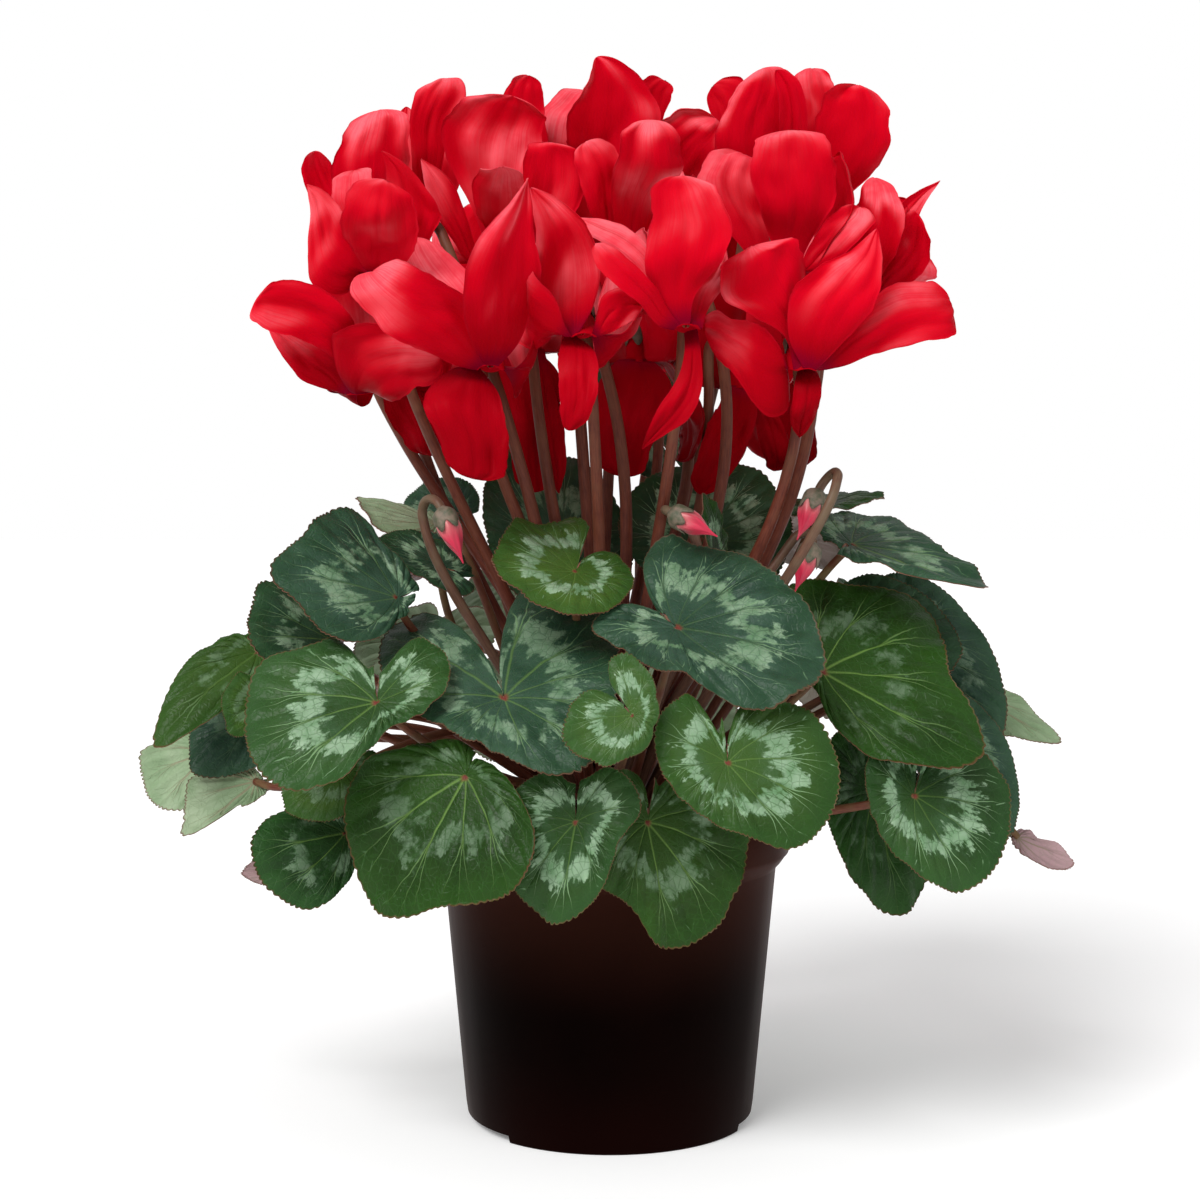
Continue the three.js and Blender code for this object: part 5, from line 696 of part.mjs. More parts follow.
// ---- compost, hollowed where the tuber sits ----
const seat = [];
for (let i = 0; i <= 5; i++) {
  const a = -Math.PI / 2 + (i / 5) * (Math.PI / 2 + 0.2);
  seat.push([(TUBER_R + 3 * GAP) * Math.cos(a) * (i ? 1 : 0), TUBER_Z + (TUBER_H + 3 * GAP) * Math.sin(a)]);
}
const innerR = (z) => WALL_FOOT_R - POT_WALL - 0.1 + ((NECK_R - WALL_FOOT_R) * (z - WALL_FOOT_Z - 1.2)) / (NECK_Z - WALL_FOOT_Z);
const soilProfile = [
  [0, FLOOR_Z + FLOOR_T + GAP], [FOOT_R - 3, FLOOR_Z + FLOOR_T + GAP], [FOOT_R - 2, 6.4], [innerR(8.4) - 0.5, 8.8],
  [innerR(NECK_Z) - 0.6, NECK_Z + 0.4], [RIM_R - POT_WALL - 1.9, SOIL_Z], [44, SOIL_Z + 1.2], [28, SOIL_Z + 0.6],
  ...seat.slice().reverse(),
];
place('soil', turned(soilProfile, SOIL_SIDES), 0x2b1d14, 0.95);

// ---- tuber ----
const tuberProfile = [];
for (let i = 0; i <= 7; i++) {
  const a = -Math.PI / 2 + (Math.PI * i) / 7;
  tuberProfile.push([i === 0 || i === 7 ? 0 : TUBER_R * Math.cos(a), TUBER_Z + TUBER_H * Math.sin(a)]);
}
place('tuber', turned(tuberProfile, 14), 0x5a4030, 0.9);

// ---- leaves: one node is one growth, its blades joined at the foot of their petioles ----
const LEAF_GREENS = [0x2f6a38, 0x2a5a3c, 0x3b7a3a, 0x34683f, 0x275043];
LEAF_NODES.forEach((nd, i) => {
  const parts = [];
  nd.m.forEach((n) => {
    const lf = BLADES[n], big = nd.m.length === 1;
    parts.push(shell(bladeGrid(lf, big ? 12 : 10, [0.55, 1]), LEAF_T));
    parts.push(stalk(STALKS[nd.id + ':' + n], PETIOLE_R[0], PETIOLE_R[1], 4));
  });
  let body = join(parts);
  for (const key of PASSES[nd.name] || []) body = body.subtract(stalk(STALKS[key], PETIOLE_R[0] + GAP, PETIOLE_R[1] + GAP, 6));
  place(nd.name, body, LEAF_GREENS[i % 5], 0.5);
});

// ---- flowers ----
FLOWERS.forEach((f) => {
  const parts = [turned([[0, -TUBE_L], [3.5, -TUBE_L], [MOUTH_R, 1.3], [0, 1.3]], 6, f.M, f.a)];
  for (const q of f.q) parts.push(shell(petalGrid(q), PETAL_T));
  // petals are notched where a stalk of their own cluster passes between them
  let body = join(parts);
  for (const key of PASSES[f.n] || []) body = body.subtract(stalk(STALKS[key], PEDUNCLE_R[0] + GAP, PEDUNCLE_R[1] + GAP, 6));
  if (PASSES[f.n]) body = body.subtract(turned([[0, -14.4], [CALYX_R * 0.8 + GAP, -13.1], [CALYX_R + GAP, -TUBE_L - 0.05], [0, -TUBE_L - 0.05]], 6, f.M, f.a));
  const pieces = body.decompose().sort((a, b) => b.volume() - a.volume());
  place('corolla_' + f.n, pieces[0], 0xd01428, 0.45);
});

// ---- flower stems: calyx, hooked stalk and the trunk they share ----
STEM_NODES.forEach((nd) => {
  const parts = [];
  nd.m.forEach((n) => {
    const f = FLOWERS.find((q) => q.n === n);
    parts.push(stalk(STALKS[nd.id + ':' + n], PEDUNCLE_R[0], PEDUNCLE_R[1], 4));
    parts.push(turned([[0, -13.8], [CALYX_R * 0.8, -12.8], [CALYX_R, -TUBE_L - GAP], [0, -TUBE_L - GAP]], 6, f.M, f.a));
  });
  let body = join(parts);
  for (const key of PASSES[nd.name] || []) body = body.subtract(stalk(STALKS[key], PEDUNCLE_R[0] + GAP, PEDUNCLE_R[1] + GAP, 6));
  place(nd.name, body, 0x6b4634, 0.55);
});

// ---- buds ----
BUDS.forEach((b) => {
  const n = b.len;
  const body = turned([[0, -1.6], [3.2, 0.4], [3.6, 4.4], [3.2, n * 0.5 + 2], [2.2, n + 1.5], [0, n + 6]], 8, b.C, b.a);
  place(b.name, join([stalk(STALKS[b.id + ':' + b.n], 2.2, 1.5, 4), body]), 0xd8406a, 0.5);
});

export default group;
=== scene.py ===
"""Potted cyclamen: fine leaves, petals, stalks, buds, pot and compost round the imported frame."""
import math
import bpy
import numpy as np
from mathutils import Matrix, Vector


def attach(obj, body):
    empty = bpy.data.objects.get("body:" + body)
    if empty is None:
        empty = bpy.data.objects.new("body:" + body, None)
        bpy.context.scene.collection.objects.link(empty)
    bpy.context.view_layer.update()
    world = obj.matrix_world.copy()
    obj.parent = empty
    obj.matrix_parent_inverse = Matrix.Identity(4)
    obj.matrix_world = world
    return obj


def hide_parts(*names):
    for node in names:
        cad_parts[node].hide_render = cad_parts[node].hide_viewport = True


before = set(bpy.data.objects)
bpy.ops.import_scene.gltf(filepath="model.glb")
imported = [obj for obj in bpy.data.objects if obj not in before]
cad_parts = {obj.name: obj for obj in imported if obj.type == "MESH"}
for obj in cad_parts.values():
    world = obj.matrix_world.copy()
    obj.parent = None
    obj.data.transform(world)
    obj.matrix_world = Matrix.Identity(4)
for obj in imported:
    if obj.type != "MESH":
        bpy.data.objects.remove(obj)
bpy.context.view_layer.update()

WORLD, KEY, FILL = 0.5, 2.5, 0.35  # light strengths

# blade: A petiole joint, X towards the tip, N upper face, L scale, S shape, R outline radii, v vein direction
BLADES = {"10":{"A":[-34.74,-80,160.31],"X":[0.1924,-0.7993,-0.5692],"N":[-0.1407,-0.5966,0.7902],"L":33.2,"S":[0.14,0.05,-0.03,0.04,0.03,5,0.5,1],"R":[0.285,1.872,1.981,1.753,1.515,1.298,1.088,0.897,0.77,0.663,0.645,0.626,0.607,0.588,0.656,0.726,0.879,1.05,1.176,1.217,1.189,1.137,1.119,1.116,1.156,1.229,1.301,1.427,1.569,1.632,1.71,1.704,0.471],"v":6.9,"f":1},
 "11":{"A":[71.49,-52,166.49],"X":[0.554,0.5673,0.6093],"N":[0.1364,-0.7839,0.6058],"L":54.26,"S":[0.12,0.05,0.05,0.06,0.03,6,0.5,1],"R":[0.134,0.148,0.21,0.363,0.524,0.671,0.828,0.999,1.104,1.052,0.926,0.82,0.826,0.884,0.95,0.944,0.843,0.754,0.712,0.718,0.684,0.613,0.526,0.443,0.359,0.312,0.27,0.228,0.196,0.167,0.139,0.121,0.109],"v":-86.8,"f":1},
 "12":{"A":[100.94,-66,126.4],"X":[-0.1824,-0.4457,-0.8764],"N":[0.2946,-0.8752,0.3837],"L":35.11,"S":[0.1,0.05,-0.04,0.06,0.03,6,0.5,1],"R":[0.664,0.441,0.669,0.634,0.609,0.586,0.555,0.524,0.503,0.488,0.474,0.492,0.511,0.53,0.565,0.616,0.671,0.748,0.839,0.948,1.01,1.027,1.02,1.021,1.031,1.036,1.041,0.959,0.902,0.857,0.782,0.671,0.45],"v":41,"f":1},
 "13":{"A":[89.99,-41.4,124.08],"X":[-0.4043,-0.4689,-0.7853],"N":[0.4711,-0.8427,0.2606],"L":43.9,"S":[0.12,0.05,-0.04,0.06,0.03,6,0.5,1],"R":[0.205,0.45,0.533,0.559,0.571,0.56,0.543,0.502,0.461,0.443,0.458,0.474,0.489,0.504,0.53,0.569,0.63,0.708,0.796,0.901,0.982,0.917,0.818,0.735,0.689,0.643,0.596,0.549,0.501,0.453,0.392,0.3,0.268],"v":44.8,"f":1},
 "14":{"A":[83.67,-31.28,208.64],"X":[0.5752,0.7835,0.2351],"N":[0.1058,-0.3563,0.9284],"L":48.8,"S":[0.1,0.05,0.03,0.06,0.03,6,0.5,1],"R":[0.246,0.27,0.295,0.311,0.323,0.451,0.637,1.096,1.015,0.904,0.783,0.648,0.665,0.683,0.701,0.718,0.734,0.723,0.687,0.699,0.617,0.513,0.445,0.377,0.326,0.278,0.23,0.207,0.192,0.178,0.163,0.149,0.135],"v":-97.4,"f":1},
 "15":{"A":[-90.49,-48,110.98],"X":[-0.8172,-0.5728,0.0633],"N":[0.5548,-0.7522,0.3555],"L":34.58,"S":[0.16,0.05,-0.04,0.05,0.03,6,0.5,1],"R":[0.143,0.16,0.177,0.191,0.196,0.201,0.205,0.21,0.231,0.255,0.279,0.345,0.434,0.523,0.67,0.838,0.951,1.005,1.001,0.974,0.936,0.893,0.748,0.572,0.452,0.336,0.297,0.257,0.218,0.187,0.169,0.151,0.145],"v":7.4,"f":1},
 "31":{"A":[87.05,73.04,157.29],"X":[0.5126,0.4301,-0.7431],"N":[0.499,0.5551,0.6655],"L":36,"S":[0.14,0.05,-0.04,0.06,0.03,6,0,1.035],"R":[0.357,0.613,0.67,0.705,0.751,0.792,0.823,0.845,0.853,0.849,0.854,0.872,0.892,0.907,0.925,0.959,1,0.959,0.925,0.907,0.892,0.872,0.854,0.849,0.853,0.845,0.823,0.792,0.751,0.705,0.67,0.613,0.357],"v":0,"f":1},
 "33":{"A":[7.86,112.37,169.03],"X":[0.0502,0.7176,-0.6947],"N":[0.1525,0.6819,0.7154],"L":37.44,"S":[0.14,0.05,-0.04,0.06,0.03,6,2,1.035],"R":[0.357,0.613,0.67,0.705,0.751,0.792,0.823,0.845,0.853,0.849,0.854,0.872,0.892,0.907,0.925,0.959,1,0.959,0.925,0.907,0.892,0.872,0.854,0.849,0.853,0.845,0.823,0.792,0.751,0.705,0.67,0.613,0.357],"v":0,"f":1},
 "35":{"A":[-72.84,86.81,164.99],"X":[-0.4465,0.5321,-0.7193],"N":[-0.4078,0.5945,0.693],"L":36,"S":[0.14,0.05,-0.04,0.06,0.03,6,4,1.058],"R":[0.357,0.613,0.67,0.705,0.751,0.792,0.823,0.845,0.853,0.849,0.854,0.872,0.892,0.907,0.925,0.959,1,0.959,0.925,0.907,0.892,0.872,0.854,0.849,0.853,0.845,0.823,0.792,0.751,0.705,0.67,0.613,0.357],"v":0,"f":1},
 "01":{"A":[-11.82,-61.45,200.77],"X":[-0.22,-0.8751,-0.431],"N":[0.2358,-0.4764,0.847],"L":29.06,"S":[0.05,0.02,0.1,0.1,0.03,6,0.5,1],"R":[0.938,1.109,0.972,0.93,0.958,1.004,0.95,0.921,0.923,0.927,0.992,1.056,1.058,0.975,0.93,0.919,0.919,0.925,0.884,0.84,0.796,0.754,0.712,0.691,0.682,0.673,0.664,0.653,0.645,0.65,0.655,0.554,0.273],"v":-52.2,"f":1},
 "02":{"A":[21.51,-80,183.47],"X":[0.6221,-0.623,-0.4743],"N":[-0.0559,-0.6395,0.7667],"L":49.18,"S":[0.16,0.05,0.06,0.1,0.05,5,1,1],"R":[0.18,0.377,0.459,0.51,0.559,0.542,0.462,0.425,0.425,0.425,0.455,0.469,0.452,0.454,0.54,0.778,0.894,0.977,0.996,1.004,0.946,0.894,0.824,0.78,0.749,0.769,0.782,0.763,0.756,0.827,0.753,0.534,0.206],"v":32.9,"f":1},
 "03":{"A":[6.8,-109.47,158.12],"X":[0.6132,-0.333,-0.7163],"N":[-0.1187,-0.9353,0.3332],"L":18.62,"S":[0.1,0,0.16,0.1,0.03,5,0.5,1],"R":[0.307,0.749,0.914,1.012,1.063,1.129,1.21,1.191,1.116,1.013,1.004,0.849,0.721,0.671,0.62,0.567,0.507,0.448,0.396,0.413,0.429,0.445,0.462,0.478,0.495,0.587,0.683,0.783,0.884,1.034,1.071,0.997,0.623],"v":-65.1,"f":1},
 "04":{"A":[36.58,-103,142.47],"X":[0.0279,-0.4192,-0.9074],"N":[0.1316,-0.8984,0.4191],"L":33.58,"S":[0.12,0.06,-0.04,0.1,0.02,5,0.5,1],"R":[0.448,0.304,0.73,0.761,0.775,0.762,0.727,0.684,0.652,0.624,0.602,0.583,0.566,0.575,0.583,0.614,0.655,0.717,0.821,0.972,1.044,1.071,1.086,1.081,1.062,1.043,1.021,0.985,0.902,0.784,0.683,0.566,0.198],"v":36.4,"f":1},
 "05":{"A":[-11.21,-91.48,121.83],"X":[-0.0545,-0.0935,-0.9941],"N":[-0.2972,-0.949,0.1056],"L":33.6,"S":[0.1,0.06,-0.04,0.08,0.02,6,0.5,1],"R":[0.364,0.4,0.518,0.565,0.606,0.647,0.693,0.739,0.779,0.819,0.857,0.873,0.897,0.933,0.972,1.01,0.929,0.817,0.719,0.627,0.549,0.503,0.469,0.484,0.536,0.628,0.67,0.679,0.676,0.65,0.602,0.466,0.397],"v":-5.8,"f":1},
 "06":{"A":[11.85,-79.88,119.94],"X":[-0.0962,-0.1956,-0.976],"N":[0.3186,-0.935,0.1559],"L":41.95,"S":[0.12,0.05,0.05,0.06,0.04,7,0.5,1],"R":[0.163,0.349,0.426,0.471,0.479,0.482,0.478,0.475,0.486,0.506,0.525,0.558,0.603,0.633,0.623,0.638,0.715,0.949,1.018,1.02,0.997,0.913,0.884,0.863,0.848,0.815,0.778,0.732,0.668,0.598,0.521,0.306,0.353],"v":17.8,"f":1},
 "07":{"A":[-46.97,-83.81,135.62],"X":[-0.422,-0.1823,-0.8881],"N":[-0.3536,-0.8689,0.3464],"L":51.54,"S":[0.14,0.05,-0.05,0.05,0.03,6,0.5,1],"R":[0.158,0.175,0.202,0.234,0.267,0.299,0.332,0.407,0.504,0.727,0.812,0.851,0.888,0.932,1.001,1.032,0.952,0.85,0.808,0.799,0.806,0.781,0.715,0.595,0.46,0.356,0.285,0.227,0.197,0.166,0.148,0.133,0.119],"v":-5.4,"f":1},
 "08":{"A":[-75.67,-84,159.43],"X":[0.0573,-0.7031,-0.7087],"N":[-0.0724,-0.711,0.6995],"L":39.24,"S":[0.2,0.06,-0.05,0.08,0.03,5,0.5,1],"R":[0.37,0.426,0.804,0.875,0.962,1.109,1.132,1.109,1.101,1.106,1.112,1.104,1.049,0.874,0.694,0.501,0.388,0.328,0.307,0.287,0.31,0.357,0.404,0.451,0.53,0.596,0.648,0.7,0.743,0.759,0.73,0.435,0.307],"v":-45.8,"f":1},
 "09":{"A":[-72.3,-48,191.29],"X":[-0.7074,-0.7,-0.0979],"N":[0.4612,-0.562,0.6866],"L":43.14,"S":[0.14,0.05,0.04,0.06,0.03,5,0.5,1],"R":[0.223,0.249,0.275,0.316,0.363,0.43,0.526,0.867,0.925,0.904,0.894,0.884,0.947,1.021,0.947,0.835,0.818,0.813,0.747,0.614,0.441,0.271,0.23,0.203,0.175,0.148,0.12,0.113,0.123,0.133,0.143,0.153,0.159],"v":-30.3,"f":1},
 "20a":{"A":[-96.82,-34,175.9],"X":[-0.6542,-0.7518,0.0825],"N":[0.6299,-0.4812,0.6096],"L":30.89,"S":[0.12,0.03,0.04,0.06,0.04,6,0.5,1],"R":[0.208,0.228,0.254,0.279,0.301,0.322,0.344,0.366,0.428,0.502,0.614,0.887,1.022,0.981,0.999,1.045,1.094,1.067,0.788,0.579,0.415,0.375,0.335,0.295,0.255,0.216,0.177,0.161,0.145,0.134,0.134,0.134,0.134],"v":-30.2,"f":1},
 "20b":{"A":[-122.05,-32,171.56],"X":[-0.435,-0.664,-0.6081],"N":[0.1218,-0.7126,0.691],"L":48.51,"S":[0.14,0.03,-0.06,0.05,0.03,5,0.5,1],"R":[0.099,0.109,0.126,0.144,0.163,0.181,0.21,0.242,0.275,0.307,0.376,0.457,0.556,0.678,0.849,1.013,0.716,0.47,0.355,0.273,0.193,0.168,0.145,0.122,0.099,0.076,0.069,0.062,0.058,0.058,0.058,0.058,0.058],"v":-12.1,"f":1},
 "20c":{"A":[-118.81,-54,156.52],"X":[-0.8525,-0.5193,0.0595],"N":[0.5196,-0.8296,0.2043],"L":12.63,"S":[0.1,0.03,0.06,0.06,0.03,5,0.5,1],"R":[0.273,0.273,0.273,0.29,0.323,0.357,0.43,0.515,0.6,0.685,0.826,0.961,0.94,0.921,0.95,0.978,1.003,1.023,1.043,1.083,1.182,1.126,0.982,0.834,0.684,0.542,0.491,0.441,0.39,0.342,0.31,0.278,0.26],"v":-0.1,"f":1},
 "21a":{"A":[-123.19,-26,148.58],"X":[-0.8299,-0.3478,-0.4363],"N":[0.0397,-0.8168,0.5756],"L":28.91,"S":[0.14,0.03,-0.05,0.05,0.03,6,0.5,1],"R":[0.165,0.165,0.18,0.2,0.221,0.276,0.33,0.385,0.461,0.541,0.605,0.65,0.7,0.765,0.822,0.872,0.941,1.036,0.965,0.866,0.758,0.693,0.628,0.54,0.452,0.385,0.325,0.265,0.227,0.205,0.183,0.179,0.179],"v":22.3,"f":1},
 "21b":{"A":[-122.55,-36,126.76],"X":[-0.9437,-0.0397,-0.3285],"N":[0.1154,0.8909,-0.4393],"L":30.04,"S":[0.1,0.03,0.05,0.05,0.03,6,0.5,1],"R":[0.138,0.142,0.159,0.175,0.185,0.187,0.189,0.191,0.193,0.209,0.246,0.283,0.319,0.373,0.99,0.921,0.853,0.831,0.781,0.612,0.465,0.317,0.265,0.234,0.202,0.17,0.138,0.117,0.106,0.094,0.092,0.092,0.092],"v":-23.6,"f":-1},
 "21c":{"A":[-142.95,-14,134.34],"X":[-0.8163,0.1432,-0.5596],"N":[0.2845,0.9428,-0.1737],"L":27.21,"S":[0.1,0.03,-0.04,0.05,0.03,6,0.5,1],"R":[0.155,0.155,0.17,0.189,0.21,0.247,0.284,0.322,0.359,0.45,0.543,0.652,0.76,0.836,0.928,0.984,0.991,0.986,0.968,0.926,0.703,0.56,0.467,0.376,0.314,0.252,0.19,0.171,0.154,0.141,0.141,0.141,0.141],"v":-16.8,"f":-1},
 "22a":{"A":[-91.53,-58.01,134.68],"X":[-0.7467,-0.2662,-0.6096],"N":[-0.0609,-0.8852,0.4612],"L":22.29,"S":[0.1,0.03,0.04,0.06,0.03,6,0.5,0.866],"R":[0.336,0.577,0.629,0.665,0.719,0.77,0.811,0.843,0.854,0.849,0.854,0.872,0.892,0.907,0.925,0.959,1,0.959,0.925,0.907,0.892,0.872,0.854,0.849,0.854,0.843,0.811,0.77,0.719,0.665,0.629,0.577,0.336],"v":0,"f":1},
 "22b":{"A":[-111.32,-34,96.35],"X":[-0.9502,-0.304,-0.0692],"N":[-0.232,0.8376,-0.4946],"L":16.82,"S":[0.1,0.03,0.05,0.05,0.02,5,0.5,0.45],"R":[0.294,0.505,0.548,0.584,0.654,0.725,0.787,0.838,0.858,0.85,0.854,0.872,0.892,0.907,0.925,0.959,1,0.959,0.925,0.907,0.892,0.872,0.854,0.85,0.858,0.838,0.787,0.725,0.654,0.584,0.548,0.505,0.294],"v":0,"f":-1},
 "23a":{"A":[-62.95,6,214.88],"X":[-0.7066,-0.6966,-0.1242],"N":[-0.2162,0.3797,-0.8995],"L":32.93,"S":[0.1,0.03,0.08,0.05,0.03,6,0.5,1],"R":[0.098,0.098,0.098,0.098,0.098,0.098,0.098,0.1,0.112,0.124,0.145,0.179,0.214,0.248,0.286,0.531,0.718,0.787,0.762,0.752,0.813,0.874,0.935,1.079,0.732,0.415,0.318,0.296,0.275,0.252,0.229,0.205,0.194],"v":84.9,"f":-1},
 "23b":{"A":[-58.46,26,218.79],"X":[-0.8604,0.4808,0.1687],"N":[-0.438,-0.8671,0.2372],"L":22.59,"S":[0.1,0.03,0.05,0.05,0.03,6,0.5,0.661],"R":[0.294,0.505,0.548,0.584,0.654,0.725,0.787,0.838,0.858,0.85,0.854,0.872,0.892,0.907,0.925,0.959,1,0.959,0.925,0.907,0.892,0.872,0.854,0.85,0.858,0.838,0.787,0.725,0.654,0.584,0.548,0.505,0.294],"v":0,"f":1},
 "23c":{"A":[-60.13,-14,200.57],"X":[-0.8313,-0.3526,0.4297],"N":[0.5518,-0.431,0.7139],"L":24.42,"S":[0.1,0.03,0.05,0.05,0.03,6,0.5,0.703],"R":[0.336,0.577,0.629,0.665,0.719,0.77,0.811,0.843,0.854,0.849,0.854,0.872,0.892,0.907,0.925,0.959,1,0.959,0.925,0.907,0.892,0.872,0.854,0.849,0.854,0.843,0.811,0.77,0.719,0.665,0.629,0.577,0.336],"v":0,"f":1},
 "24a":{"A":[76.17,13.03,221.27],"X":[0.859,0.4824,0.1712],"N":[-0.1087,-0.1549,0.9819],"L":28.76,"S":[0.05,0.03,0.06,0.05,0.02,6,0.5,0.685],"R":[0.336,0.577,0.629,0.665,0.719,0.77,0.811,0.843,0.854,0.849,0.854,0.872,0.892,0.907,0.925,0.959,1,0.959,0.925,0.907,0.892,0.872,0.854,0.849,0.854,0.843,0.811,0.77,0.719,0.665,0.629,0.577,0.336],"v":0,"f":1},
 "24b":{"A":[89.18,-16,174.46],"X":[0.9743,-0.2143,-0.0687],"N":[-0.1179,-0.7462,0.6552],"L":35.1,"S":[0.1,0.03,0.06,0.05,0.03,6,0.5,0.917],"R":[0.294,0.505,0.548,0.584,0.654,0.725,0.787,0.838,0.858,0.85,0.854,0.872,0.892,0.907,0.925,0.959,1,0.959,0.925,0.907,0.892,0.872,0.854,0.85,0.858,0.838,0.787,0.725,0.654,0.584,0.548,0.505,0.294],"v":0,"f":1},
 "24c":{"A":[106.01,-4.25,173.52],"X":[0.7095,-0.2305,-0.6659],"N":[0.0558,-0.9236,0.3792],"L":47.97,"S":[0.12,0.03,-0.04,0.05,0.03,6,0.5,0.593],"R":[0.294,0.505,0.548,0.584,0.654,0.725,0.787,0.838,0.858,0.85,0.854,0.872,0.892,0.907,0.925,0.959,1,0.959,0.925,0.907,0.892,0.872,0.854,0.85,0.858,0.838,0.787,0.725,0.654,0.584,0.548,0.505,0.294],"v":0,"f":1},
 "25a":{"A":[138.83,18,149.5],"X":[0.6479,-0.3932,-0.6524],"N":[-0.3263,0.6306,-0.7042],"L":34.4,"S":[0.08,0.03,0.1,0.05,0.03,6,0.5,1],"R":[0.111,0.119,0.132,0.146,0.247,0.359,0.398,0.413,0.434,0.483,0.531,0.581,0.671,0.761,0.917,0.77,0.615,0.493,0.455,0.417,0.376,0.323,0.271,0.238,0.207,0.175,0.146,0.133,0.119,0.111,0.111,0.111,0.111],"v":-17.6,"f":-1},
 "25b":{"A":[121.16,-24,138.12],"X":[0.5345,-0.1567,-0.8305],"N":[0.3803,-0.833,0.4019],"L":36.95,"S":[0.1,0.03,-0.04,0.05,0.03,6,0.5,0.627],"R":[0.294,0.505,0.548,0.584,0.654,0.725,0.787,0.838,0.858,0.85,0.854,0.872,0.892,0.907,0.925,0.959,1,0.959,0.925,0.907,0.892,0.872,0.854,0.85,0.858,0.838,0.787,0.725,0.654,0.584,0.548,0.505,0.294],"v":0,"f":1},
 "25c":{"A":[145.58,-12,103.14],"X":[0.8939,0.0829,-0.4404],"N":[-0.3962,0.6055,-0.6902],"L":23.18,"S":[0.08,0.03,0.1,0.05,0.02,6,0.5,1],"R":[0.029,0.029,0.029,0.031,0.035,0.039,0.085,0.139,0.192,0.246,0.3,0.354,0.407,0.461,0.691,0.839,0.977,0.893,0.743,0.587,0.456,0.337,0.244,0.217,0.19,0.163,0.143,0.129,0.115,0.113,0.113,0.113,0.113],"v":-2,"f":-1},
 "26a":{"A":[36.05,-36,205.03],"X":[-0.1692,-0.3481,0.9221],"N":[0.952,-0.3,0.0614],"L":23.24,"S":[0.05,0.03,0.2,0.05,0.02,6,0.5,0.612],"R":[0.336,0.577,0.629,0.665,0.719,0.77,0.811,0.843,0.854,0.849,0.854,0.872,0.892,0.907,0.925,0.959,1,0.959,0.925,0.907,0.892,0.872,0.854,0.849,0.854,0.843,0.811,0.77,0.719,0.665,0.629,0.577,0.336],"v":0,"f":1},
 "26b":{"A":[17.87,66,249.74],"X":[-0.4215,0.1714,0.8905],"N":[0.5026,-0.7732,0.3867],"L":36.99,"S":[0.1,0.03,0.04,0.05,0.03,6,0.5,0.693],"R":[0.336,0.577,0.629,0.665,0.719,0.77,0.811,0.843,0.854,0.849,0.854,0.872,0.892,0.907,0.925,0.959,1,0.959,0.925,0.907,0.892,0.872,0.854,0.849,0.854,0.843,0.811,0.77,0.719,0.665,0.629,0.577,0.336],"v":0,"f":1},
 "26c":{"A":[33.4,20,208.6],"X":[0.5833,0.4515,0.6752],"N":[-0.0343,-0.8168,0.5759],"L":40.08,"S":[0.1,0.03,0.04,0.05,0.03,6,0.5,0.947],"R":[0.336,0.577,0.629,0.665,0.719,0.77,0.811,0.843,0.854,0.849,0.854,0.872,0.892,0.907,0.925,0.959,1,0.959,0.925,0.907,0.892,0.872,0.854,0.849,0.854,0.843,0.811,0.77,0.719,0.665,0.629,0.577,0.336],"v":0,"f":1},
 "27a":{"A":[-18.3,22,206.68],"X":[-0.322,0.3459,0.8813],"N":[0.2694,-0.8589,0.4356],"L":45.48,"S":[0.1,0.03,0.04,0.05,0.03,6,0.5,0.718],"R":[0.336,0.577,0.629,0.665,0.719,0.77,0.811,0.843,0.854,0.849,0.854,0.872,0.892,0.907,0.925,0.959,1,0.959,0.925,0.907,0.892,0.872,0.854,0.849,0.854,0.843,0.811,0.77,0.719,0.665,0.629,0.577,0.336],"v":0,"f":1},
 "30a":{"A":[103.61,33.66,179.08],"X":[0.7494,0.2435,-0.6157],"N":[0.6303,0.0222,0.776],"L":33.12,"S":[0.14,0.05,-0.04,0.06,0.03,6,6,1.035],"R":[0.357,0.613,0.67,0.705,0.751,0.792,0.823,0.845,0.853,0.849,0.854,0.872,0.892,0.907,0.925,0.959,1,0.959,0.925,0.907,0.892,0.872,0.854,0.849,0.853,0.845,0.823,0.792,0.751,0.705,0.67,0.613,0.357],"v":0,"f":1},
 "30b":{"A":[61.78,55.03,209.6],"X":[0.7024,0.6256,-0.3394],"N":[0.1544,0.3316,0.9307],"L":31.68,"S":[0.14,0.05,-0.04,0.06,0.03,6,6,1.092],"R":[0.357,0.613,0.67,0.705,0.751,0.792,0.823,0.845,0.853,0.849,0.854,0.872,0.892,0.907,0.925,0.959,1,0.959,0.925,0.907,0.892,0.872,0.854,0.849,0.853,0.845,0.823,0.792,0.751,0.705,0.67,0.613,0.357],"v":0,"f":1},
 "32a":{"A":[50.84,95.62,183.05],"X":[0.3798,0.7143,-0.5878],"N":[0.4814,0.39,0.785],"L":34.56,"S":[0.14,0.05,-0.04,0.06,0.03,6,1,1.058],"R":[0.357,0.613,0.67,0.705,0.751,0.792,0.823,0.845,0.853,0.849,0.854,0.872,0.892,0.907,0.925,0.959,1,0.959,0.925,0.907,0.892,0.872,0.854,0.849,0.853,0.845,0.823,0.792,0.751,0.705,0.67,0.613,0.357],"v":0,"f":1},
 "32b":{"A":[23.03,80.3,140.27],"X":[0.1697,0.5918,-0.788],"N":[0.0813,0.7885,0.6097],"L":30.24,"S":[0.14,0.05,-0.04,0.06,0.03,6,1,1.092],"R":[0.357,0.613,0.67,0.705,0.751,0.792,0.823,0.845,0.853,0.849,0.854,0.872,0.892,0.907,0.925,0.959,1,0.959,0.925,0.907,0.892,0.872,0.854,0.849,0.853,0.845,0.823,0.792,0.751,0.705,0.67,0.613,0.357],"v":0,"f":1},
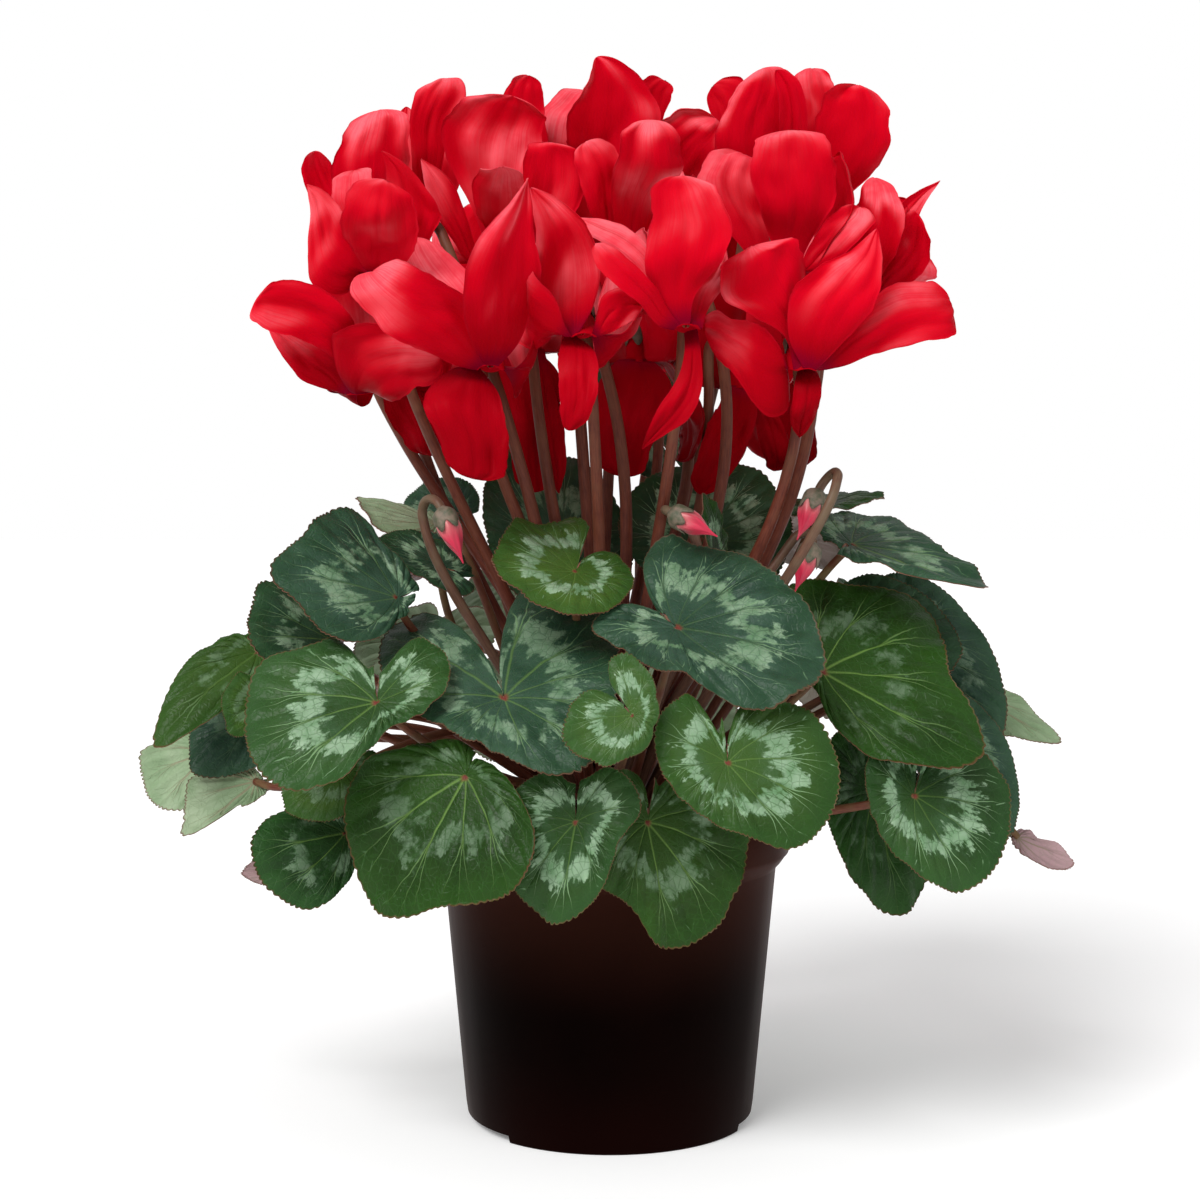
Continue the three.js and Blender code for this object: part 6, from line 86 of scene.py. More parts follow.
 "34a":{"A":[-29.29,102.14,190.57],"X":[-0.2285,0.7969,-0.5592],"N":[-0.3187,0.4815,0.8164],"L":33.84,"S":[0.14,0.05,-0.04,0.06,0.03,6,3,1.092],"R":[0.357,0.613,0.67,0.705,0.751,0.792,0.823,0.845,0.853,0.849,0.854,0.872,0.892,0.907,0.925,0.959,1,0.959,0.925,0.907,0.892,0.872,0.854,0.849,0.853,0.845,0.823,0.792,0.751,0.705,0.67,0.613,0.357],"v":0,"f":1},
 "34b":{"A":[-37.5,76.88,144.9],"X":[-0.2577,0.5283,-0.809],"N":[-0.1932,0.7922,0.5789],"L":31.68,"S":[0.14,0.05,-0.04,0.06,0.03,6,3,1.035],"R":[0.357,0.613,0.67,0.705,0.751,0.792,0.823,0.845,0.853,0.849,0.854,0.872,0.892,0.907,0.925,0.959,1,0.959,0.925,0.907,0.892,0.872,0.854,0.849,0.853,0.845,0.823,0.792,0.751,0.705,0.67,0.613,0.357],"v":0,"f":1},
 "36a":{"A":[-90.49,52.25,184.91],"X":[-0.7006,0.4045,-0.5878],"N":[-0.5737,0.1705,0.8011],"L":33.84,"S":[0.14,0.05,-0.04,0.06,0.03,6,5,1.058],"R":[0.357,0.613,0.67,0.705,0.751,0.792,0.823,0.845,0.853,0.849,0.854,0.872,0.892,0.907,0.925,0.959,1,0.959,0.925,0.907,0.892,0.872,0.854,0.849,0.853,0.845,0.823,0.792,0.751,0.705,0.67,0.613,0.357],"v":0,"f":1},
 "36b":{"A":[-104.24,37.94,142.43],"X":[-0.604,0.2198,-0.766],"N":[-0.6802,0.3588,0.6393],"L":31.68,"S":[0.14,0.05,-0.04,0.06,0.03,6,5,1.035],"R":[0.357,0.613,0.67,0.705,0.751,0.792,0.823,0.845,0.853,0.849,0.854,0.872,0.892,0.907,0.925,0.959,1,0.959,0.925,0.907,0.892,0.872,0.854,0.849,0.853,0.845,0.823,0.792,0.751,0.705,0.67,0.613,0.357],"v":0,"f":1},
 "36c":{"A":[105.28,7.36,140.27],"X":[0.6142,0.0429,-0.788],"N":[0.7881,-0.0844,0.6097],"L":30.24,"S":[0.14,0.05,-0.04,0.06,0.03,6,5,1.035],"R":[0.357,0.613,0.67,0.705,0.751,0.792,0.823,0.845,0.853,0.849,0.854,0.872,0.892,0.907,0.925,0.959,1,0.959,0.925,0.907,0.892,0.872,0.854,0.849,0.853,0.845,0.823,0.792,0.751,0.705,0.67,0.613,0.357],"v":0,"f":1}}
# petal: l and r are its margins from mouth to tip, b its cupping
FLOWERS = [{"n":"01","M":[-39.36,-72,267.87],"a":[0,-0.7557,-0.6549],"q":[{"w":0,"l":[[-44.4,-72.6,268.6],[-54.5,-76.7,263.4],[-59.6,-80.6,255.8],[-55,-83.1,245.9],[-50.6,-84.1,237.8],[-46.2,-84.1,233.7],[-43.7,-84,231.8]],"r":[[-43.2,-69.8,265.3],[-37.9,-76.5,259.3],[-35.3,-80.4,250.8],[-34,-83,241.6],[-36.5,-84.1,234.5],[-41.2,-84.1,232.5],[-43.7,-84,231.8]],"b":-0.1},
 {"w":0,"l":[[-43.8,-73.7,269.8],[-50.3,-77.8,270.3],[-61,-82.5,275.1],[-72,-85.6,280.5],[-77.5,-85.9,288.8],[-78.7,-84.9,295.5],[-76.4,-84,297.9]],"r":[[-40.1,-75.3,271.7],[-41,-79.3,279.1],[-46.7,-85.4,288.4],[-56.6,-88,295.1],[-66.5,-87.1,298],[-73.1,-85.1,298.1],[-76.4,-84,297.9]],"b":0.18},
 {"w":0,"l":[[-40.8,-75.2,271.6],[-44,-86.4,276.9],[-46.6,-100.4,288.8],[-41.1,-102.7,305.7],[-32.6,-96.8,316.9],[-28.4,-90.8,323.9],[-26.4,-87.5,327.2]],"r":[[-36.4,-74.7,271],[-29.9,-78.8,277.9],[-26.3,-84.8,290.7],[-24.9,-90,304],[-24.7,-90.6,315.8],[-25.8,-88.5,323.4],[-26.4,-87.5,327.2]],"b":0.2},
 {"w":0,"l":[[-44.4,-72.7,268.7],[-48.8,-65.9,278.9],[-57.1,-59.2,288.2],[-66,-52.4,296.7],[-70.6,-47.3,305.6],[-68.7,-44.2,311],[-65.7,-42.8,312.8]],"r":[[-41.6,-75,271.4],[-41.8,-63.9,281.7],[-45.3,-55.1,290.4],[-50.6,-48.2,299.6],[-57,-44.6,307],[-62.8,-43.4,310.9],[-65.7,-42.8,312.8]],"b":0.12},
 {"w":1,"l":[[-35.5,-69.8,265.3],[-31.3,-64.5,260.7],[-32.1,-52.9,264.9],[-35.1,-38.4,276],[-37.2,-28.2,288.1],[-36.9,-24,297.9],[-34.1,-25.9,305.8]],"r":[[-34.3,-72.6,268.6],[-27.1,-74.3,272.1],[-25.5,-68.3,282.8],[-27.5,-56.3,296.5],[-30.5,-43.7,306],[-32.7,-33.8,309.2],[-34.1,-25.9,305.8]],"b":-0.14}]},
 {"n":"02","M":[-8.98,-80,278.11],"a":[0.0504,-0.7062,-0.7062],"q":[{"w":0,"l":[[-13.9,-79.3,277.1],[-15.9,-83.7,272.1],[-16.2,-87.2,265.8],[-16,-89.6,258.9],[-15,-90.2,253.2],[-14.1,-90.1,249.4],[-13.7,-90,247.4]],"r":[[-11.1,-76.8,274.7],[-5.8,-83.9,271.4],[-4.8,-87.4,264.4],[-5.6,-89.7,257],[-8.5,-90.4,251.4],[-11.9,-90.1,248.7],[-13.7,-90,247.4]],"b":-0.15},
 {"w":0,"l":[[-13.7,-81.6,279.4],[-24.2,-79.1,284.7],[-26,-78.9,295.7],[-23.3,-79.6,306.7],[-23.8,-80.1,315.8],[-25.1,-80.3,321.9],[-25.6,-80.3,325]],"r":[[-10.3,-83.5,281.6],[-6.4,-82.9,289.1],[-5.6,-84.3,301.5],[-9.5,-83.5,313.1],[-16.8,-82.2,320.1],[-22.6,-81,323.5],[-25.6,-80.3,325]],"b":-0.28},
 {"w":0,"l":[[-6.2,-82.9,281.3],[-4.5,-80.9,285.4],[-1.6,-81.1,290.7],[3.7,-79.3,292.5],[8.2,-77.1,291],[10.1,-75,288.9],[11.1,-74,287.8]],"r":[[-3.9,-80.2,278.6],[-1.4,-81.2,279.2],[3,-80.8,281.1],[7,-79,283.3],[9.6,-76.8,285.3],[10.6,-74.9,287],[11.1,-74,287.8]],"b":0.15},
 {"w":1,"l":[[-12.7,-82.6,280.5],[-16.7,-86.8,284.8],[-20.4,-86.5,292.2],[-24.3,-82.4,300.3],[-28.1,-76.5,305.4],[-31.4,-70.9,306.5],[-35,-65.7,303.5]],"r":[[-14,-79.7,277.4],[-20.8,-77.9,275.6],[-26.7,-72.6,277.8],[-31.7,-66.3,283.7],[-34.4,-62.5,290.9],[-35.4,-62.1,297.4],[-35,-65.7,303.5]],"b":-0.14},
 {"w":1,"l":[[-6.2,-76.9,275.2],[-3.6,-70.4,270.2],[-3.7,-59.6,273.5],[-4.4,-47.1,282.9],[-3.8,-38.5,293.4],[-1.4,-35.1,301.9],[3.5,-37,308.5]],"r":[[-3.9,-79.5,278],[4.4,-79.7,280.1],[8.8,-74.1,288.8],[10,-63.8,300.6],[8.7,-53,308.8],[6.5,-44.3,311.6],[3.5,-37,308.5]],"b":-0.14}]},
 {"n":"03","M":[24.12,-82,280.23],"a":[0,-0.7557,-0.6549],"q":[{"w":0,"l":[[23.8,-78.7,276.4],[23.7,-85.8,270.6],[21.2,-89,262.5],[16,-90.5,255],[12.5,-90.8,248.4],[10.6,-90.4,243.8],[9.9,-90,241.4]],"r":[[28,-79.8,277.7],[28.6,-85.8,270.5],[28.4,-89,260.6],[24.1,-90.7,251.2],[17.1,-90.9,246.1],[12.3,-90.3,243],[9.9,-90,241.4]],"b":-0.12},
 {"w":0,"l":[[20.8,-84.6,283.2],[16.6,-85.5,289.5],[12.2,-88.5,299.7],[13.1,-90.6,310.9],[16.3,-91.3,319.8],[19.6,-91.2,325.1],[21.8,-91.1,327.4]],"r":[[25.2,-85.3,284],[26.4,-87.1,291.5],[34,-90.9,301.2],[36.9,-92.5,312.9],[30.3,-92.3,321],[24.6,-91.6,325.3],[21.8,-91.1,327.4]],"b":0.16},
 {"w":0,"l":[[25.5,-85.2,284],[25.7,-80.9,287.8],[27.8,-78.3,294.6],[32.6,-74.1,299],[35.4,-70.2,303],[37,-67.4,305.9],[37.8,-66,307.3]],"r":[[28.8,-83.3,281.7],[30.7,-81,286.9],[34.8,-78,292.3],[37.4,-74.1,298],[38,-70.2,302.8],[37.9,-67.4,305.8],[37.8,-66,307.3]],"b":-0.2},
 {"w":0,"l":[[22.2,-85.1,283.8],[17.2,-87.1,288],[12.6,-92,293.4],[7.3,-95.6,298.8],[1.6,-97,302.8],[-2.6,-96.5,304.7],[-4.8,-96.2,305.6]],"r":[[19.2,-82.9,281.3],[13.9,-88.3,283.1],[8.2,-94,287.8],[1.5,-97.4,293.1],[-3.6,-98,298.6],[-4.9,-97,303.2],[-4.8,-96.2,305.6]],"b":-0.25},
 {"w":0,"l":[[22.2,-85.1,283.8],[18,-78,294],[13.3,-73.1,304.7],[5.6,-67.7,312.8],[-2.5,-62.7,316.7],[-8.2,-59,317.8],[-11.1,-57.2,318.3]],"r":[[19.2,-82.9,281.3],[14.1,-79.1,291.8],[8.3,-74.4,301.1],[0.4,-68.5,307.6],[-6.5,-63,311.9],[-9.6,-59.1,316.1],[-11.1,-57.2,318.3]],"b":-0.25}]},
 {"n":"04","M":[62.17,-74,267.78],"a":[0.1011,-0.6066,-0.7886],"q":[{"w":0,"l":[[62.2,-69.9,264.7],[60.5,-74.3,261.6],[59.5,-74,256.4],[59.1,-71.5,251.5],[60.1,-69,248.2],[61.4,-67,246.4],[62,-66,245.5]],"r":[[66.2,-71.3,266.2],[68.1,-74.9,262.1],[67.5,-74.1,256.6],[66,-71.8,251.6],[64.3,-69.2,248.2],[62.8,-67.1,246.4],[62,-66,245.5]],"b":-0.2},
 {"w":0,"l":[[57.4,-75.7,268.5],[54.7,-75.3,274.7],[48.7,-75.9,279.3],[41.8,-75,282.6],[35.8,-72.8,283.2],[32.3,-71,282.3],[30.8,-70,281.3]],"r":[[57.8,-72.1,265.8],[57.9,-75.7,254.9],[49.6,-76.1,254.8],[41.7,-74.9,264.6],[35.9,-72.9,272.8],[32.3,-71.1,278.4],[30.8,-70,281.3]],"b":-0.1},
 {"w":0,"l":[[58.6,-77.1,269.7],[56.2,-77.1,279],[45.8,-79.4,283.9],[36.4,-79.8,290],[38.9,-80.3,299.3],[42.8,-80.6,304.4],[45.3,-80.8,306.5]],"r":[[62.9,-78,270.9],[61.3,-71.5,280.5],[61,-71.5,291.9],[59.6,-74.2,302.9],[53.9,-77.3,307.8],[48.1,-79.6,307.1],[45.3,-80.8,306.5]],"b":0.15},
 {"w":0,"l":[[61.4,-78.1,270.8],[57.7,-78.3,279.2],[59.8,-81.9,291.5],[67.7,-84,299.6],[77.2,-84.5,304.3],[82.4,-84.2,309.1],[85,-84,311.6]],"r":[[65.7,-76.7,270.3],[71.4,-78.4,274.7],[79.4,-81.9,282.5],[84.7,-84,292.6],[85.8,-84.5,302],[85.3,-84.3,308.4],[85,-84,311.6]],"b":0.2},
 {"w":0,"l":[[65.7,-76.7,270.3],[72.4,-74.9,278.1],[82.1,-74.4,287.6],[93.2,-72.3,294.6],[103.6,-69.6,294.6],[109.2,-67.2,290.8],[111.7,-66,288.4]],"r":[[67.2,-73.3,267.9],[75.5,-74.9,270],[87.6,-74.4,273.6],[99.7,-72.3,276.7],[108.8,-69.6,279.2],[111.1,-67.3,285.2],[111.7,-66,288.4]],"b":0.16}]},
 {"n":"05","M":[-84.77,-38,261.15],"a":[-0.2498,-0.4997,-0.8294],"q":[{"w":0,"l":[[-84.5,-42.4,263.7],[-84.9,-43.6,274.9],[-88.7,-49,286.7],[-98.5,-53,295.1],[-108.8,-55,296.9],[-115.1,-55.7,293.5],[-117.9,-56,291.1]],"r":[[-88.5,-40.4,263.7],[-90.1,-43.5,269.8],[-97,-48.9,276.1],[-106.5,-52.9,280.4],[-114.9,-55,283.3],[-118.2,-55.8,288],[-117.9,-56,291.1]],"b":-0.12},
 {"w":0,"l":[[-89.7,-37.6,262.4],[-94.6,-40.9,262.6],[-103,-42.7,264.8],[-109,-42.8,271.5],[-113.2,-41.8,277.4],[-115.5,-40.7,281.6],[-116.4,-40,283.8]],"r":[[-87.6,-41.2,263.9],[-90.5,-40.5,268.5],[-96.2,-42.5,274.3],[-103.6,-42.8,278.7],[-109.9,-41.9,281.8],[-114.2,-40.6,283.1],[-116.4,-40,283.8]],"b":0.1},
 {"w":0,"l":[[-86.7,-41.8,264],[-91.3,-46.2,270.7],[-88.9,-53.5,280.6],[-76.3,-58.4,282.6],[-65.6,-60.7,279.3],[-59.5,-61.2,274.6],[-56.4,-61.5,272.3]],"r":[[-82.4,-42.2,262.9],[-77.6,-43.6,259.1],[-71.3,-49.7,260.4],[-65.1,-55.2,263.6],[-59.6,-59,266.3],[-57.4,-60.7,270.2],[-56.4,-61.5,272.3]],"b":0.16},
 {"w":0,"l":[[-89.4,-39,263.1],[-89,-33.6,274.1],[-92.4,-29.2,285.4],[-97,-26.5,296.9],[-99.3,-25.3,306.9],[-96.3,-25.2,312.6],[-94.1,-25.3,315.3]],"r":[[-86.2,-42,264],[-79.6,-33.7,275.6],[-77,-29.6,288.8],[-77.3,-26.8,302.5],[-83.5,-25.6,311.7],[-90.3,-25.3,314.6],[-94.1,-25.3,315.3]],"b":0.14},
 {"w":1,"l":[[-89.7,-37,262],[-96.4,-37,265.1],[-97.6,-34.4,274.6],[-94.8,-28.7,287.2],[-90.4,-21.8,296.4],[-86.5,-15.2,300.2],[-83.1,-8.4,298.5]],"r":[[-87.5,-34,259.5],[-89.2,-27.3,257.1],[-86.3,-19.1,262.1],[-81.8,-11.1,272.7],[-79.1,-6.5,283.7],[-79.4,-5.6,292.3],[-83.1,-8.4,298.5]],"b":-0.14}]},
 {"n":"06","M":[-70.2,-8,265.64],"a":[0.1005,0.2009,-0.9744],"q":[{"w":0,"l":[[-73.1,-12.1,264.5],[-78.4,-11.4,261.3],[-77.7,-14,254.9],[-73.9,-15.2,248.1],[-69.6,-15.2,243.3],[-66,-14.4,241],[-64.2,-14,239.8]],"r":[[-68.6,-12.8,264.8],[-62.4,-11.2,260.8],[-58.7,-13.9,255.4],[-57.5,-15.3,248.5],[-59.1,-15.3,242.6],[-62.4,-14.4,240.6],[-64.2,-14,239.8]],"b":-0.12},
 {"w":1,"l":[[-75.2,-8.6,265],[-82.4,-11.5,264.1],[-88.8,-15.1,269],[-94.2,-17.3,278],[-97.4,-16.6,286.7],[-98.5,-13.1,292.8],[-98.1,-6.3,296.2]],"r":[[-73.9,-4.5,266],[-78,2,267.3],[-82,6,274],[-86.4,7,283.8],[-90.5,4.6,291.8],[-94.2,0.2,296],[-98.1,-6.3,296.2]],"b":-0.14},
 {"w":1,"l":[[-67.3,-12.2,265.1],[-61.8,-16.1,265.7],[-58.6,-17.5,274.5],[-58.5,-17.9,288.3],[-61.7,-18.6,300],[-66.7,-19.9,306.6],[-73.9,-22.2,308.3]],"r":[[-71.7,-12.7,264.5],[-76.1,-17.9,263.8],[-81,-20.3,271.6],[-84.4,-21.2,285],[-84.2,-21.4,297],[-80.8,-21.7,304.8],[-73.9,-22.2,308.3]],"b":-0.14},
 {"w":1,"l":[[-69.6,-3,266.7],[-69.4,6.3,268],[-68.6,14.7,274.2],[-66.2,21,283.6],[-62.2,23.6,292],[-57.1,23.4,297.4],[-50,20.9,299.2]],"r":[[-65.8,-5.5,266.6],[-57.2,-1.7,267.6],[-49.6,2.2,273.5],[-44.3,6.5,282.8],[-43.1,11,291.3],[-45.1,15.4,297],[-50,20.9,299.2]],"b":-0.14},
 {"w":1,"l":[[-65.4,-6.5,266.4],[-60.7,-2.8,267.7],[-56.7,-0.2,271.1],[-53.2,0,275.5],[-50.9,-2.7,278.8],[-49.6,-7.2,280.2],[-49.1,-14,279.5]],"r":[[-66,-10.9,265.5],[-62.5,-15.8,264.9],[-59.5,-20.5,266.6],[-56.4,-23.4,270.3],[-53.7,-23.1,274.3],[-51.4,-20,277.4],[-49.1,-14,279.5]],"b":-0.14}]},
 {"n":"07","M":[-28.96,-10,276.13],"a":[0,0.0995,-0.995],"q":[{"w":0,"l":[[-33.8,-11.7,276],[-41.4,-12.4,267.9],[-38.6,-13.1,255.8],[-35.6,-11.7,243.7],[-32.7,-9.6,234.1],[-28.5,-7.8,229.1],[-26.3,-6.8,226.6]],"r":[[-30.6,-14.8,275.6],[-19.7,-9,267.7],[-19.4,-8.2,256],[-20.6,-8.1,244.3],[-21.8,-7.6,234.8],[-24.5,-7.1,229.2],[-26.3,-6.8,226.6]],"b":-0.15},
 {"w":0,"l":[[-27.5,-14.9,275.6],[-26,-15,264.3],[-25.4,-19.8,254],[-24.1,-23.5,243.3],[-22.2,-25.2,234.4],[-19.8,-25.9,228.8],[-18.1,-26,226.2]],"r":[[-24.2,-11.9,275.9],[-20.7,-15,264.5],[-18,-19.9,254.6],[-15.8,-23.4,244.2],[-15.6,-25.3,235.1],[-17.3,-25.8,229.2],[-18.1,-26,226.2]],"b":-0.15},
 {"w":1,"l":[[-34,-10.7,276.1],[-40.1,-14.1,276.3],[-44.3,-17.6,281.7],[-47.2,-19.4,290.6],[-48.2,-18.1,298.7],[-48.2,-14.2,304],[-47.4,-7.1,306.5]],"r":[[-32.7,-6.5,276.5],[-35.6,-0.3,277.7],[-37.4,3.9,283.9],[-39.1,5.4,293.1],[-41.3,3.6,300.9],[-43.8,-0.5,305.4],[-47.4,-7.1,306.5]],"b":-0.14},
 {"w":1,"l":[[-26,-5.9,276.5],[-24.3,0.7,277.9],[-23.6,5.1,284.2],[-22.5,6.8,293.6],[-20.3,5.2,301.6],[-17.2,1.6,306.3],[-12.6,-4.2,307.5]],"r":[[-23.8,-9.8,276.2],[-17.3,-12,276.6],[-12.8,-14.8,282.2],[-10,-16.2,291.3],[-9.5,-14.8,299.6],[-10.4,-11,305],[-12.6,-4.2,307.5]],"b":-0.14},
 {"w":1,"l":[[-31.7,-5.7,276.6],[-37.7,3.1,276.9],[-42.8,11.7,284.4],[-45.5,19.7,296.6],[-44.5,25.4,307.6],[-40.7,29.1,314.7],[-33.8,31.9,317.5]],"r":[[-27.2,-5.2,276.6],[-23.2,4.6,277.1],[-20.2,14.1,284.7],[-19.4,22.4,296.8],[-21.8,27.8,307.8],[-26.4,30.6,314.9],[-33.8,31.9,317.5]],"b":-0.14}]},
 {"n":"08","M":[10.58,-14,272.43],"a":[0.099,0.099,-0.9901],"q":[{"w":0,"l":[[6.6,-17.1,271.7],[-1.5,-17.8,265.3],[-5.1,-21,256.2],[-5,-22.7,246.1],[-2.6,-22.9,238],[1.2,-22.3,234.1],[3.5,-22,232.4]],"r":[[10.6,-19.1,271.9],[19.6,-17.9,265],[18.5,-21,254.7],[14,-22.8,245.1],[10.5,-22.8,237],[6.2,-22.4,233.6],[3.5,-22,232.4]],"b":-0.15},
 {"w":1,"l":[[14.5,-10.8,273.1],[19.4,-5.9,269.4],[22.1,-1.4,262.2],[23.4,0.9,253.2],[23.8,0.3,245.4],[24,-2.6,240.1],[24.3,-8.1,237.7]],"r":[[15.5,-15.1,272.8],[22,-16.7,268.6],[26.2,-18.4,260.9],[28.1,-18.6,251.7],[27.9,-16.8,244.1],[26.6,-13.4,239.3],[24.3,-8.1,237.7]],"b":0.14},
 {"w":1,"l":[[6.2,-11.3,272.3],[-0.7,-9.8,272],[-7,-8.7,275.6],[-11.4,-6.7,282],[-12.2,-3.7,288.2],[-10.2,-0.1,292.5],[-5.2,5.1,294.7]],"r":[[10,-8.9,272.9],[11.4,-2.1,273.9],[12,3.5,278.7],[10.5,7.3,285.6],[6.9,8.4,291.3],[1.8,7.6,294.4],[-5.2,5.1,294.7]],"b":-0.14},
 {"w":1,"l":[[15.7,-14.4,272.9],[21.4,-12.1,274.5],[23.5,-9.6,281.6],[22.9,-8.9,292.1],[20.6,-10.9,300.8],[18,-15.1,305.7],[15.2,-22.1,306.9]],"r":[[13.4,-18.2,272.3],[14.2,-24.6,272.5],[12.3,-29.2,278.5],[9.9,-31.4,288.5],[9.3,-30.6,297.7],[10.9,-27.5,303.8],[15.2,-22.1,306.9]],"b":-0.14},
 {"w":1,"l":[[10.4,-8.9,272.9],[10.7,3.4,271.6],[12.2,16.8,275.1],[15.5,29,282.5],[20.5,36.6,290.2],[26.4,39.8,295.9],[33.9,39.4,298.3]],"r":[[14.5,-10.8,273.1],[23.8,-2.7,272.4],[32.8,7.2,276.3],[39.3,18,283.8],[41.2,27,291.3],[39.4,33.8,296.6],[33.9,39.4,298.3]],"b":-0.14}]},
 {"n":"09","M":[46.76,-10,263.45],"a":[0,0.0995,-0.995],"q":[{"w":0,"l":[[42.9,-13.3,263.1],[38.9,-13.4,257.1],[34.7,-16,249.3],[31.8,-17.2,240.8],[30.3,-17.3,233.4],[31.3,-16.4,228.5],[31.7,-16,226.1]],"r":[[47,-15.1,262.9],[51.2,-13.5,255.9],[48.7,-16.2,246.2],[44.5,-17.4,236.9],[38.8,-17.3,230.6],[34.1,-16.4,227.6],[31.7,-16,226.1]],"b":-0.15},
 {"w":0,"l":[[51.3,-7.7,263.7],[50.5,-9.1,256.2],[52.6,-7.1,249.3],[54.2,-3.6,242.6],[56.8,0.1,238.4],[58.7,2.7,235.7],[59.7,4,234.4]],"r":[[51.4,-12.2,263.2],[56.5,-9.4,257.9],[60.8,-7.2,251],[63.7,-4,243.6],[64,-0.4,237.6],[61.2,2.5,235.4],[59.7,4,234.4]],"b":-0.15},
 {"w":1,"l":[[41.9,-8.3,263.6],[34.6,-8.2,264.5],[30,-10.2,272.6],[28.1,-12.1,285.5],[29.1,-11.9,296.9],[31.8,-9.2,304.1],[36,-3.6,307.3]],"r":[[45.1,-5.2,263.9],[44.9,2.1,265.5],[46,5.8,274.2],[46.7,6.3,287.3],[45.3,4.2,298.5],[41.9,0.9,305.1],[36,-3.6,307.3]],"b":-0.14},
 {"w":1,"l":[[50.8,-6.8,263.8],[55.4,-0.7,265.1],[57.9,3.2,273.6],[59.7,4.2,286.3],[61.4,1.8,297.1],[63.4,-2.8,303.5],[66.4,-9.7,305.3]],"r":[[51.7,-11.2,263.3],[58.6,-14.8,263.7],[62.9,-18.8,271.4],[65.5,-21.3,283.8],[66.5,-20.4,294.9],[66.6,-16.7,302.1],[66.4,-9.7,305.3]],"b":-0.14},
 {"w":1,"l":[[45.7,-5,263.9],[43.6,7.4,263.9],[42.7,20.1,271.6],[44,31.4,284.5],[47.8,38.5,296.4],[53.2,41.9,304.2],[60.9,42.5,307]],"r":[[50.1,-6.1,263.8],[57.7,3.9,263.6],[64.8,14.6,271.1],[69.5,25.1,283.8],[70,33,295.8],[67.2,38.4,303.8],[60.9,42.5,307]],"b":-0.14}]},
 {"n":"10","M":[-76.48,-40,301.67],"a":[-0.2005,-0.3008,-0.9324],"q":[{"w":0,"l":[[-81.3,-38.5,302.2],[-89.9,-42.5,293.1],[-100,-43.8,298.6],[-101.5,-43.6,310.8],[-100.6,-42.3,321],[-102,-40.8,327.6],[-102.7,-40,330.9]],"r":[[-80.4,-42.8,303.4],[-83.6,-42.1,309.9],[-88.8,-43.7,315.8],[-92.3,-43.5,323.3],[-97,-42.2,327.9],[-100.8,-40.7,329.9],[-102.7,-40,330.9]],"b":0.14},
 {"w":0,"l":[[-77.3,-44.8,303.4],[-78.4,-43.9,304.6],[-83,-48.4,308.9],[-87.1,-53,313.5],[-87.2,-56,318.3],[-84.1,-57.5,320.5],[-82.2,-58.1,321.1]],"r":[[-73.1,-43.8,302.2],[-70.1,-45.9,306.3],[-70.2,-52.4,310.7],[-72.3,-56.4,317],[-76.1,-58.3,321.5],[-80.1,-58.3,321.5],[-82.2,-58.1,321.1]],"b":0.15},
 {"w":0,"l":[[-81.5,-39.7,302.6],[-83.1,-39.4,311.5],[-89.1,-38.4,318.7],[-94,-35.5,326.2],[-93,-32.2,333],[-89.7,-29.4,335.8],[-88.1,-28,337.2]],"r":[[-79.6,-43.6,303.5],[-77.5,-39.6,313.1],[-79.2,-38.2,321.1],[-80.7,-35.1,328.8],[-83.1,-31.8,334.4],[-86.4,-29.3,336.2],[-88.1,-28,337.2]],"b":0.15},
 {"w":0,"l":[[-74.2,-44.5,302.6],[-78.5,-40.4,312.6],[-77.3,-40.9,320.6],[-75.6,-41.8,328.7],[-75.1,-43,335.3],[-76.2,-44.2,339.5],[-76.8,-44.9,341.6]],"r":[[-71.6,-41.2,301],[-63.5,-38.6,310.7],[-58.7,-38.2,320.3],[-63.6,-39.8,330.2],[-69.3,-42,337.1],[-74.1,-43.8,340.4],[-76.8,-44.9,341.6]],"b":0.2},
 {"w":1,"l":[[-74.3,-44.5,302.7],[-71.8,-51.4,303.3],[-68.5,-57.9,307.6],[-66.3,-63.5,314.6],[-66.9,-67.1,321.4],[-69.8,-69,326.5],[-73.3,-69.9,328.9]],"r":[[-78.7,-44.2,303.5],[-81.7,-50.7,305.2],[-84,-56.9,310.6],[-84.2,-62.3,318],[-81.6,-66.1,324.2],[-77.3,-68.5,327.9],[-73.3,-69.9,328.9]],"b":-0.14}]},
 {"n":"11","M":[-70.2,8,317.92],"a":[-0.1505,-0.1004,-0.9835],"q":[{"w":0,"l":[[-74.7,10.3,318.4],[-84.8,8.7,320.2],[-96,9.2,324.3],[-105.8,8.4,331.5],[-109.7,7,340.2],[-108.1,5.7,346.1],[-106,5,348.5]],"r":[[-74.8,5.9,318.8],[-80.4,8.4,324.9],[-88.8,8.8,330.2],[-96.8,8.1,336.1],[-100.5,6.8,343.1],[-103.9,5.6,346.9],[-106,5,348.5]],"b":0.1},
 {"w":0,"l":[[-75.1,6.9,318.8],[-84.2,1,323.6],[-95.1,-5.3,330.8],[-96.2,-8.9,344.1],[-90.2,-9.9,354.1],[-84,-9.7,358.9],[-80.5,-9.4,360.8]],"r":[[-72.3,3.4,318.7],[-71.8,2.1,328.1],[-73.6,-3.5,337.4],[-72.1,-7.7,347.1],[-73.4,-9.3,355.4],[-77.8,-9.5,359.4],[-80.5,-9.4,360.8]],"b":0.12},
